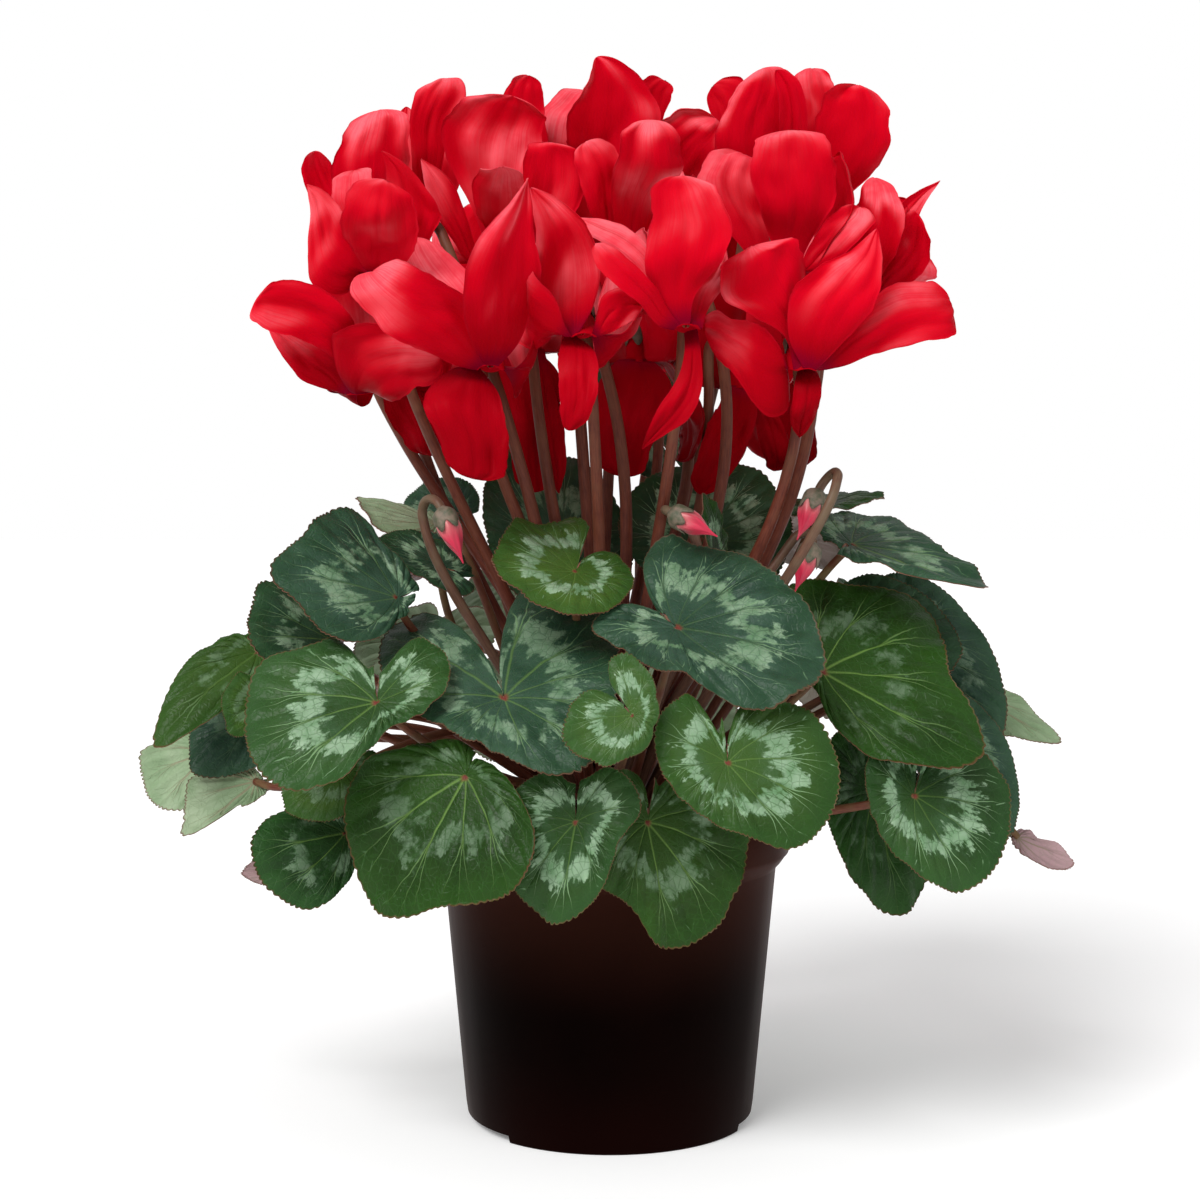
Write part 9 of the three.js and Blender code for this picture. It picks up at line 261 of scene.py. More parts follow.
 "Sd:08":[[3.3,-4,107.2],[4.6,-5.5,127],[7.2,-5.9,145.3],[10.6,-5.4,162.3],[14.6,-4.4,178.1],[18.6,-3.1,193.1],[22.5,-1.7,207.4],[25.7,-0.6,221.1],[27.9,-0.1,234.5],[28.8,-0.3,247.8],[27.9,-1.6,261.2],[24.9,-4.2,274.9],[19.3,-8.5,289],[18,-9.5,290.9],[16.1,-10.8,292],[14,-12.3,292.1],[12,-13.6,291.3],[10.4,-14.6,289.6],[9.5,-15.2,287.3],[9.3,-15.2,284.8]],
 "Sd:14":[[4,-6.5,119.9],[8.9,-8.5,134.3],[14.4,-11.8,149.8],[20.6,-15.5,166.4],[27.1,-19.3,184],[32.9,-23,202.5],[37.4,-26.2,221.8],[40,-28.9,241.7],[39.9,-30.6,262.1],[36.4,-31.2,282.9],[28.8,-30.4,303.9],[16.5,-27.9,325.1],[14.7,-27.7,326.8],[12.5,-27.6,327.8],[10,-27.7,328],[7.7,-28,327.3],[5.7,-28.5,325.8],[4.5,-29,323.8],[4,-29.5,321.4]],
 "Se:16":[[7.9,-1.7,119.1],[14.1,-2.4,132.3],[21.9,-4.4,146],[30.8,-6.6,160.6],[40.3,-9,176.1],[49.7,-11.5,192.5],[58.1,-14.1,210],[65,-16.7,228.5],[69.6,-19.3,248.1],[71.2,-21.9,268.9],[69.1,-24.5,290.9],[62.7,-26.9,314.1],[61.9,-27.3,315.6],[60.9,-28.2,316.8],[59.7,-29.5,317.4],[58.7,-30.9,317.3],[57.8,-32.3,316.6],[57.3,-33.5,315.3],[57.1,-34.2,313.7]],
 "N12:12":[[16,-5.8,103.9],[19.4,-7.3,105.7],[22.7,-10,107.3],[26,-13.7,108.7],[29.4,-18.3,110],[33,-23.5,111.2],[37.1,-29.1,112.3],[41.7,-35,113.5],[46.9,-40.8,114.7],[53,-46.5,116.1],[60.1,-51.9,117.6],[68.3,-56.7,119.3],[77.7,-60.7,121.3],[88.5,-63.7,123.6],[100.8,-65.6,126.2]],
 "N15:15":[[-16,-5.8,103.9],[-22.5,-7.8,107.6],[-29.3,-10.2,110.3],[-36.4,-12.9,112.3],[-43.6,-16,113.5],[-50.8,-19.4,114.2],[-57.7,-22.8,114.4],[-64.4,-26.4,114.2],[-70.6,-30,113.7],[-76.2,-33.5,113],[-81.1,-36.9,112.3],[-85.2,-40.1,111.6],[-88.2,-43,111.1],[-90.1,-45.5,110.8],[-90.8,-47.6,110.8]],
 "NB:21b":[[-3,16.7,103.9],[-11.4,18.8,117.9],[-20.1,17.4,128.2],[-28.9,13.2,135.3],[-37.8,6.7,139.6],[-46.8,-1.4,141.5],[-55.8,-10.3,141.6],[-64.7,-19.6,140.2],[-73.6,-28.4,137.8],[-82.4,-36.1,134.8],[-90.9,-42.2,131.7],[-99.3,-45.9,128.9],[-107.4,-46.6,126.9],[-115.2,-43.7,126.1],[-122.6,-36.4,127]],
 "NB:21c":[[-3,16.7,103.9],[-19.1,20.4,115.7],[-34.3,21.2,125],[-48.5,19.8,132],[-61.9,16.5,137],[-74.3,11.9,140.2],[-85.7,6.4,141.9],[-96.3,0.4,142.4],[-105.8,-5.6,141.9],[-114.5,-11,140.8],[-122.1,-15.5,139.3],[-128.8,-18.5,137.6],[-134.6,-19.7,136.1],[-139.3,-18.5,134.9],[-143.1,-14.5,134.4]],
 "NB:22b":[[-3,16.7,103.9],[-14,21.6,118.8],[-25.1,24.5,128],[-36.1,25.6,132.4],[-46.9,24.9,132.8],[-57.3,22.8,129.9],[-67.2,19.4,124.7],[-76.4,14.8,118],[-84.9,9.2,110.5],[-92.4,2.9,103.1],[-98.9,-4.1,96.7],[-104.1,-11.4,92],[-108,-19.1,89.9],[-110.4,-26.8,91.1],[-111.2,-34.4,96.6]],
 "NF:25b":[[20.6,6,107.5],[27,2.3,110.3],[34.2,0,113.3],[42.1,-2.7,116],[50.7,-5.5,118.7],[59.6,-8.3,121.1],[68.8,-11.2,123.5],[77.9,-14,125.8],[86.8,-16.6,127.9],[95.3,-18.9,130],[103.2,-20.8,132],[110.2,-22.3,134],[116.2,-23.3,136],[121,-23.6,137.9]],
 "NF:25c":[[22.3,6,108.8],[32.1,5,110.7],[42.2,3.8,113.1],[53.3,2.2,114.8],[64.9,0.3,116],[76.9,-1.7,116.6],[88.8,-3.8,116.7],[100.4,-5.9,116.2],[111.4,-7.9,115.2],[121.4,-9.6,113.8],[130.2,-11,111.8],[137.4,-12,109.5],[142.7,-12.5,106.7],[145.8,-12.3,103.5]],
 "NG:26a":[[6.9,14.5,117.3],[6.7,16,128.2],[7,16.2,137.9],[7.2,14.8,146.8],[7.3,12.2,155],[7.5,8.3,162.5],[8.1,3.6,169.4],[9.1,-1.8,175.7],[10.8,-7.6,181.6],[13.4,-13.7,186.9],[17,-19.8,191.9],[21.7,-25.6,196.5],[27.9,-31.1,200.9],[35.6,-35.8,205]],
 "NL:35":[[-6.3,9,106.2],[-9.9,11.5,116],[-13.2,14,125],[-16.4,16.6,132.9],[-19.4,19.3,140],[-22.6,22.4,146.1],[-25.9,26,151.4],[-29.5,30.1,155.8],[-33.5,35,159.4],[-38,40.7,162.2],[-43.2,47.4,164.2],[-49.1,55.2,165.4],[-55.9,64.2,165.9],[-63.7,74.6,165.6],[-72.6,86.5,164.6]],
 "NL:36a":[[-8.4,10.5,112],[-14.6,11.9,116.3],[-19.6,12.7,121.3],[-25.1,13.3,126.4],[-30.9,13.9,131.5],[-37.1,14.6,136.7],[-43.5,15.8,142],[-50.2,17.6,147.4],[-56.9,20.2,153],[-63.7,23.8,158.8],[-70.5,28.6,164.8],[-77.3,34.8,171.1],[-83.8,42.6,177.6],[-90.2,52.2,184.5]],
 "NL:36b":[[-17.2,12.3,118.9],[-21.4,15.7,124.5],[-26.1,18.1,129],[-30.8,20.6,132.7],[-35.7,23,135.8],[-41.1,25.5,138.3],[-47,27.8,140.1],[-53.7,30,141.5],[-61.3,32.1,142.4],[-69.9,33.9,142.8],[-79.8,35.5,142.9],[-91,36.8,142.6],[-103.9,37.8,142.1]]}
LEAF_NODES = [{"id":"N01","name":"leaf_01","m":["01"]},
 {"id":"N02","name":"leaf_02","m":["02"]},
 {"id":"N03","name":"leaf_03","m":["03"]},
 {"id":"N04","name":"leaf_04","m":["04"]},
 {"id":"N05","name":"leaf_05","m":["05"]},
 {"id":"N06","name":"leaf_06","m":["06"]},
 {"id":"N07","name":"leaf_07","m":["07"]},
 {"id":"N08","name":"leaf_08","m":["08"]},
 {"id":"N09","name":"leaf_09","m":["09"]},
 {"id":"N10","name":"leaf_10","m":["10"]},
 {"id":"N11","name":"leaf_11","m":["11"]},
 {"id":"N12","name":"leaf_12","m":["12"]},
 {"id":"N13","name":"leaf_13","m":["13"]},
 {"id":"N14","name":"leaf_14","m":["14"]},
 {"id":"N15","name":"leaf_15","m":["15"]},
 {"id":"ND","name":"leaf_group_a","m":["23a","23b","23c"]},
 {"id":"NE","name":"leaf_group_b","m":["24a","24b","24c"]},
 {"id":"NF","name":"leaf_group_c","m":["25a","25b","25c"]},
 {"id":"NI","name":"leaf_group_d","m":["30a","30b","36c"]},
 {"id":"NJ","name":"leaf_group_e","m":["31","32a","32b"]},
 {"id":"NK","name":"leaf_group_f","m":["33","34a","34b"]},
 {"id":"NL","name":"leaf_group_g","m":["35","36a","36b"]},
 {"id":"NA","name":"leaf_group_h","m":["20a","20b","20c","22a"]},
 {"id":"NB","name":"leaf_group_i","m":["21a","21b","21c","22b"]},
 {"id":"NG","name":"leaf_group_j","m":["26a","26b","26c","27a"]}]
STEM_NODES = [{"id":"Sa","name":"flower_stems_a","m":["05","06","10"]},
 {"id":"Sb","name":"flower_stems_b","m":["01","11","12"]},
 {"id":"Sc","name":"flower_stems_c","m":["02","07","13"]},
 {"id":"Sd","name":"flower_stems_d","m":["03","08","14"]},
 {"id":"Se","name":"flower_stems_e","m":["04","09","16"]},
 {"id":"Sf","name":"flower_stems_f","m":["15","19","20"]},
 {"id":"Sg","name":"flower_stems_g","m":["17","18","21"]}]

MM = 0.001
rng = np.random.default_rng(7)


# ---------- small helpers ----------
def unit(a):
    return a / np.maximum(np.linalg.norm(a, axis=-1, keepdims=True), 1e-12)


def smooth(x, a, b):
    t = np.clip((x - a) / (b - a), 0, 1)
    return t * t * (3 - 2 * t)


def lattice(x, y, z, seed=0):
    """Smooth value noise in -1..1."""
    xi, yi, zi = np.floor(x), np.floor(y), np.floor(z)
    fx, fy, fz = x - xi, y - yi, z - zi
    fx, fy, fz = (f * f * (3 - 2 * f) for f in (fx, fy, fz))

    def h(a, b, c):
        v = np.sin(a * 127.1 + b * 311.7 + c * 74.7 + seed * 53.3) * 43758.5453
        return (v - np.floor(v)) * 2 - 1

    out = 0
    for dx in (0, 1):
        for dy in (0, 1):
            for dz in (0, 1):
                w = (fx if dx else 1 - fx) * (fy if dy else 1 - fy) * (fz if dz else 1 - fz)
                out = out + w * h(xi + dx, yi + dy, zi + dz)
    return out


def table(xs, ys, x):
    """Smooth curve through a table; ys may hold vectors."""
    xs, ys, x = np.asarray(xs, float), np.asarray(ys, float), np.asarray(x, float)
    if ys.ndim == 1:
        return table(xs, ys[:, None], x)[..., 0]
    n = len(xs)
    i = np.clip(np.searchsorted(xs, x, side="right") - 1, 0, n - 2)
    h = xs[i + 1] - xs[i]
    t = np.clip((x - xs[i]) / h, 0, 1)[..., None]
    lo, hi = np.maximum(i - 1, 0), np.minimum(i + 2, n - 1)
    m0 = (ys[i + 1] - ys[lo]) / (xs[i + 1] - xs[lo])[..., None]
    m1 = (ys[hi] - ys[i]) / (xs[hi] - xs[i])[..., None]
    h = h[..., None]
    return (2 * t**3 - 3 * t**2 + 1) * ys[i] + (t**3 - 2 * t**2 + t) * h * m0 + (3 * t**2 - 2 * t**3) * ys[i + 1] + (t**3 - t**2) * h * m1


class Builder:
    """Collects vertices, faces, material numbers and point attributes of one piece."""

    def __init__(self):
        self.v, self.q, self.t, self.qm, self.tm, self.a, self.b, self.n = [], [], [], [], [], [], [], 0

    def add(self, verts, quads=None, tris=None, mat=0, a=None, b=None, qm=None, tm=None):
        verts = np.asarray(verts, float).reshape(-1, 3)
        k = len(verts)
        self.v.append(verts)
        self.a.append(np.broadcast_to(np.zeros(3) if a is None else a, (k, 3)))
        self.b.append(np.broadcast_to(np.zeros(4) if b is None else b, (k, 4)))
        if quads is not None and len(quads):
            self.q.append(np.asarray(quads) + self.n)
            self.qm.append(np.full(len(quads), mat) if qm is None else qm)
        if tris is not None and len(tris):
            self.t.append(np.asarray(tris) + self.n)
            self.tm.append(np.full(len(tris), mat) if tm is None else tm)
        self.n += k

    def make(self, name, mats):
        v = np.concatenate(self.v) * MM
        q = np.concatenate(self.q) if self.q else np.zeros((0, 4), int)
        t = np.concatenate(self.t) if self.t else np.zeros((0, 3), int)
        me = bpy.data.meshes.new(name)
        me.vertices.add(len(v))
        me.vertices.foreach_set("co", v.astype(np.float32).ravel())
        me.loops.add(q.size + t.size)
        me.loops.foreach_set("vertex_index", np.concatenate([q.ravel(), t.ravel()]).astype(np.int32))
        me.polygons.add(len(q) + len(t))
        me.polygons.foreach_set("loop_start", np.concatenate([np.arange(len(q)) * 4, q.size + np.arange(len(t)) * 3]).astype(np.int32))
        me.polygons.foreach_set("material_index", np.concatenate(self.qm + self.tm).astype(np.int32))
        me.polygons.foreach_set("use_smooth", np.ones(len(q) + len(t), bool))
        me.update(calc_edges=True)
        at = me.attributes.new("pol", "FLOAT_VECTOR", "POINT")
        at.data.foreach_set("vector", np.concatenate(self.a).astype(np.float32).ravel())
        at = me.attributes.new("lk", "FLOAT_COLOR", "POINT")
        at.data.foreach_set("color", np.concatenate(self.b).astype(np.float32).ravel())
        for m in mats:
            me.materials.append(m)
        me.validate()
        o = bpy.data.objects.new(name, me)
        bpy.context.scene.collection.objects.link(o)
        return o


def grid_faces(rows, cols, wrap=False):
    r, c = np.meshgrid(np.arange(rows - 1), np.arange(cols if wrap else cols - 1), indexing="ij")
    a, b = r * cols + c, r * cols + (c + 1) % cols
    return np.stack([a, b, b + cols, a + cols], -1).reshape(-1, 4)


def sheet(bd, P, thick, mats, a, b, fan=None):
    """A thin closed sheet round mid points P[rows, cols]; fan is one mid point that row 0 closes on."""
    rows, cols = P.shape[:2]
    du, dv = np.gradient(P, axis=0), np.gradient(P, axis=1)
    N = unit(np.cross(du, dv))
    th = np.broadcast_to(thick, (rows, cols))[..., None] / 2
    top, bot = (P + N * th).reshape(-1, 3), (P - N * th).reshape(-1, 3)
    k = rows * cols
    f = grid_faces(rows, cols)
    quads, qm = [f, f[:, ::-1] + k], [np.full(len(f), mats[0]), np.full(len(f), mats[1])]
    loop = [(rows - 1) * cols + j for j in range(cols)]
    left, right = [i * cols for i in range(rows)], [i * cols + cols - 1 for i in range(rows)]
    edge = left + loop[1:] + right[::-1][1:]
    if fan is None:
        edge += [j for j in range(cols - 2, 0, -1)] + [left[0]]
    e = np.array(edge)
    rim = np.stack([e[:-1], e[:-1] + k, e[1:] + k, e[1:]], -1)
    quads.append(rim)
    qm.append(np.full(len(rim), mats[2]))
    V = [top, bot]
    b = np.asarray(b, float)
    A, B = [a.reshape(-1, 3)] * 2, [b.reshape(-1, 4) if b.ndim > 1 else np.broadcast_to(b, (k, 4))] * 2
    tris, tm = [], []
    if fan is not None:
        n0 = unit(N[0].mean(0))
        V.append(np.array([fan + n0 * th[0, 0], fan - n0 * th[0, 0]]))
        c = np.arange(cols - 1)
        tris = np.concatenate([np.stack([c, np.full_like(c, 2 * k), c + 1], -1)[:, ::-1] * 1, np.stack([c + k, np.full_like(c, 2 * k + 1), c + 1 + k], -1)])
        tris[: cols - 1] = np.stack([np.full_like(c, 2 * k), c + 1, c], -1)[:, [0, 2, 1]][:, [0, 2, 1]]
        tris[cols - 1 :] = np.stack([np.full_like(c, 2 * k + 1), c + k, c + 1 + k], -1)
        tm = np.concatenate([np.full(cols - 1, mats[0]), np.full(cols - 1, mats[1])])
        quads.append(np.array([[0, k, 2 * k + 1, 2 * k], [cols - 1, 2 * k, 2 * k + 1, cols - 1 + k]]))
        qm.append(np.array([mats[2], mats[2]]))
        A.append(np.zeros((2, 3)))
        B.append(np.broadcast_to(b if b.ndim == 1 else b[0, 0], (2, 4)))
    bd.add(np.concatenate(V), np.concatenate(quads), tris if len(tris) else None, a=np.concatenate(A), b=np.concatenate(B), qm=np.concatenate(qm), tm=tm if len(tm) else None)


def spline(P, sub):
    P = np.asarray(P, float)
    if len(P) == 2:
        return np.linspace(P[0], P[1], sub + 1)
    k = np.concatenate([[0], np.cumsum(np.linalg.norm(np.diff(P, axis=0), axis=1))])
    n = np.interp(np.linspace(0, len(P) - 1, (len(P) - 1) * sub + 1), np.arange(len(P)), k)
    return table(k, P, n)


def tube(bd, P, radius, sides, mat, b=(0, 0, 0, 0), wob=0.0):
    """A round stalk with closed ends. pol = (around, along 0..1, mm along)."""
    P = np.asarray(P, float)
    T = unit(np.gradient(P, axis=0))
    U = np.zeros_like(P)
    u = unit(np.cross(T[0], [0.3, 1, 0.2]))
    for i in range(len(P)):
        u = unit(u - T[i] * np.dot(u, T[i]))
        U[i] = u
    W = np.cross(T, U)
    L = np.concatenate([[0], np.cumsum(np.linalg.norm(np.diff(P, axis=0), axis=1))])
    s = L / L[-1]
    r = radius(s) if callable(radius) else np.full(len(P), radius)
    ang = np.arange(sides) * 2 * np.pi / sides
    rr = r[:, None] * (1 + wob * lattice(ang[None, :] * 1.3 + 5, L[:, None] * 0.12, 0 * L[:, None] + P[0, 0]))
    V = P[:, None] + (U[:, None] * np.cos(ang)[None, :, None] + W[:, None] * np.sin(ang)[None, :, None]) * rr[..., None]
    k = len(P)
    A = np.stack(np.broadcast_arrays(ang[None, :] / 6.2832, s[:, None], L[:, None]), -1).reshape(-1, 3)
    V = np.concatenate([V.reshape(-1, 3), P[:1] - T[:1] * r[0] * 0.25, P[-1:] + T[-1:] * r[-1] * 0.25])
    A = np.concatenate([A, [[0, 0, 0]], [[0, 1, L[-1]]]])
    c = np.arange(sides)
    tris = np.concatenate([np.stack([(c + 1) % sides, c, np.full_like(c, k * sides)], -1), np.stack([c + (k - 1) * sides, (c + 1) % sides + (k - 1) * sides, np.full_like(c, k * sides + 1)], -1)])
    bd.add(V, grid_faces(k, sides, True), tris, mat, A, np.broadcast_to(b, (len(V), 4)))


def revolve(bd, at, axis, prof, sides, mat, shape=None, b=(0, 0, 0, 0)):
    """prof: list of (radius, height); shape(phi, i) -> (radius factor, height shift). Ends on the axis or open."""
    at, axis = np.asarray(at, float), unit(np.asarray(axis, float))
    U = unit(np.cross(axis, [0, 0, 1] if abs(axis[2]) < 0.9 else [1, 0, 0]))
    W = np.cross(axis, U)
    phi = np.arange(sides) * 2 * np.pi / sides
    rows, A = [], []
    for i, (r, z) in enumerate(prof):
        f, dz = shape(phi, i) if shape else (1.0, 0.0)
        rr, zz = r * f + 0 * phi, z + dz + 0 * phi
        rows.append(at + axis * zz[:, None] + (U * np.cos(phi)[:, None] + W * np.sin(phi)[:, None]) * rr[:, None])
        A.append(np.stack([phi / 6.2832, np.full(sides, i / (len(prof) - 1.0)), zz], -1))
    bd.add(np.concatenate(rows), grid_faces(len(prof), sides, True), None, mat, np.concatenate(A), np.broadcast_to(b, (sides * len(prof), 4)))


# ---------- node material helpers ----------
class Mat:
    def __init__(self, name):
        self.m = bpy.data.materials.new(name)
        self.m.use_nodes = True
        self.t = self.m.node_tree
        self.bs = self.t.nodes["Principled BSDF"]

    def n(self, kind, **kw):
        x = self.t.nodes.new(kind)
        for k, v in kw.items():
            setattr(x, k, v)
        return x

    def l(self, a, b):
        self.t.links.new(a, b)

    def put(self, sock, v):
        if hasattr(v, "is_output") or isinstance(v, bpy.types.NodeSocket):
            self.l(v, sock)
        else:
            sock.default_value = v

    def math(self, op, a, b=0.0, c=0.0, clamp=False):
        x = self.n("ShaderNodeMath", operation=op, use_clamp=clamp)
        self.put(x.inputs[0], a)
        self.put(x.inputs[1], b)
        self.put(x.inputs[2], c)
        return x.outputs[0]

    def step(self, v, lo, hi, a=0.0, b=1.0):
        x = self.n("ShaderNodeMapRange", interpolation_type="SMOOTHSTEP")
        self.put(x.inputs["Value"], v)
        self.put(x.inputs["From Min"], lo)
        self.put(x.inputs["From Max"], hi)
        self.put(x.inputs["To Min"], a)
        self.put(x.inputs["To Max"], b)
        return x.outputs["Result"]

    def mix(self, f, a, b, mode="MIX"):
        x = self.n("ShaderNodeMix", data_type="RGBA", blend_type=mode)
        self.put(x.inputs[0], f)
        self.put(x.inputs[6], a if not isinstance(a, tuple) else (*a, 1) if len(a) == 3 else a)
        self.put(x.inputs[7], b if not isinstance(b, tuple) else (*b, 1) if len(b) == 3 else b)
        return x.outputs[2]

    def noise(self, vec, scale, detail=3.0, rough=0.5, dist=0.0):
        x = self.n("ShaderNodeTexNoise")
        if vec is not None:
            self.l(vec, x.inputs["Vector"])
        x.inputs["Scale"].default_value = scale
        x.inputs["Detail"].default_value = detail
        x.inputs["Roughness"].default_value = rough
        x.inputs["Distortion"].default_value = dist
        return x.outputs[0]

    def voro(self, vec, scale, feature="DISTANCE_TO_EDGE"):
        x = self.n("ShaderNodeTexVoronoi", feature=feature)
        self.l(vec, x.inputs["Vector"])
        x.inputs["Scale"].default_value = scale
        return x.outputs["Distance"]

    def obj(self):
        return self.n("ShaderNodeTexCoord").outputs["Object"]

    def attr(self, name):
        return self.n("ShaderNodeAttribute", attribute_name=name)

    def xyz(self, v):
        x = self.n("ShaderNodeSeparateXYZ")
        self.l(v, x.inputs[0])
        return x.outputs

    def vec(self, x, y, z=0.0):
        c = self.n("ShaderNodeCombineXYZ")
        for s, v in zip(c.inputs, (x, y, z)):
            self.put(s, v)
        return c.outputs[0]

    def bump(self, h, strength, dist):
        x = self.n("ShaderNodeBump")
        x.inputs["Strength"].default_value = strength
        x.inputs["Distance"].default_value = dist
        self.l(h, x.inputs["Height"])
        self.l(x.outputs[0], self.bs.inputs["Normal"])

    def set(self, **kw):
        for k, v in kw.items():
            self.put(self.bs.inputs[k.replace("_", " ")], v)


# ---------- leaf materials: pol = (vein coordinate, radius 0..1, size), lk = (silver, yellowness, seed, vein strength) ----------
def leaf_fields(M):
    at = M.attr("pol")
    x, y, size = M.xyz(at.outputs["Vector"])
    lk = M.attr("lk")
    sp = M.n("ShaderNodeSeparateColor")
    M.l(lk.outputs["Color"], sp.inputs[0])
    silver, yellow, seed = sp.outputs
    veins = lk.outputs["Alpha"]
    P = M.obj()
    wob = M.noise(P, 90, 2.0)
    x2 = M.math("ADD", x, M.math("MULTIPLY", M.math("SUBTRACT", wob, 0.5), 0.20))
    fr = M.math("FRACT", M.math("ADD", x2, 200.5))
    a = M.math("ABSOLUTE", M.math("SUBTRACT", fr, 0.5))
    fork = M.step(y, 0.34, 1.05, 0.0, 0.27)
    d1 = M.math("MULTIPLY", a, y)
    d2 = M.math("MULTIPLY", M.math("ABSOLUTE", M.math("SUBTRACT", a, fork)), y)
    w = M.math("ADD", M.math("MULTIPLY", M.math("SUBTRACT", 1.0, y), 0.009), 0.0035)
    w2 = M.math("MULTIPLY", w, 2.6)
    v1 = M.step(d1, w2, M.math("MULTIPLY", w, 0.5))
    v1 = M.math("MULTIPLY", v1, M.step(y, 0.95, 0.35, 0.15, 1.0))
    v2 = M.math("MULTIPLY", M.step(d2, M.math("MULTIPLY", w, 2.2), M.math("MULTIPLY", w, 0.3)), M.math("MULTIPLY", M.step(y, 0.34, 0.48), M.step(y, 1.0, 0.6, 0.05, 0.55)))
    # side veins leave the main ones at a slant
    sl = M.math("FRACT", M.math("ADD", M.math("MULTIPLY", y, 5.5), M.math("ADD", M.math("MULTIPLY", a, -4.5), M.math("MULTIPLY", wob, 1.4))))
    d3 = M.math("ABSOLUTE", M.math("SUBTRACT", sl, 0.5))
    v3 = M.math("MULTIPLY", M.step(d3, 0.10, 0.02), M.math("MULTIPLY", M.step(M.noise(P, 160, 2.0), 0.42, 0.6), 0.55))
    net = M.voro(P, 330)
    v4 = M.step(net, 0.09, 0.01, 0.0, 0.35)
    main = M.math("MAXIMUM", v1, v2)
    fine = M.math("MAXIMUM", v3, v4)
    return dict(x=x2, y=y, a=a, silver=silver, yellow=yellow, seed=seed, veins=veins, P=P, main=main, fine=fine, side=v3, size=size)


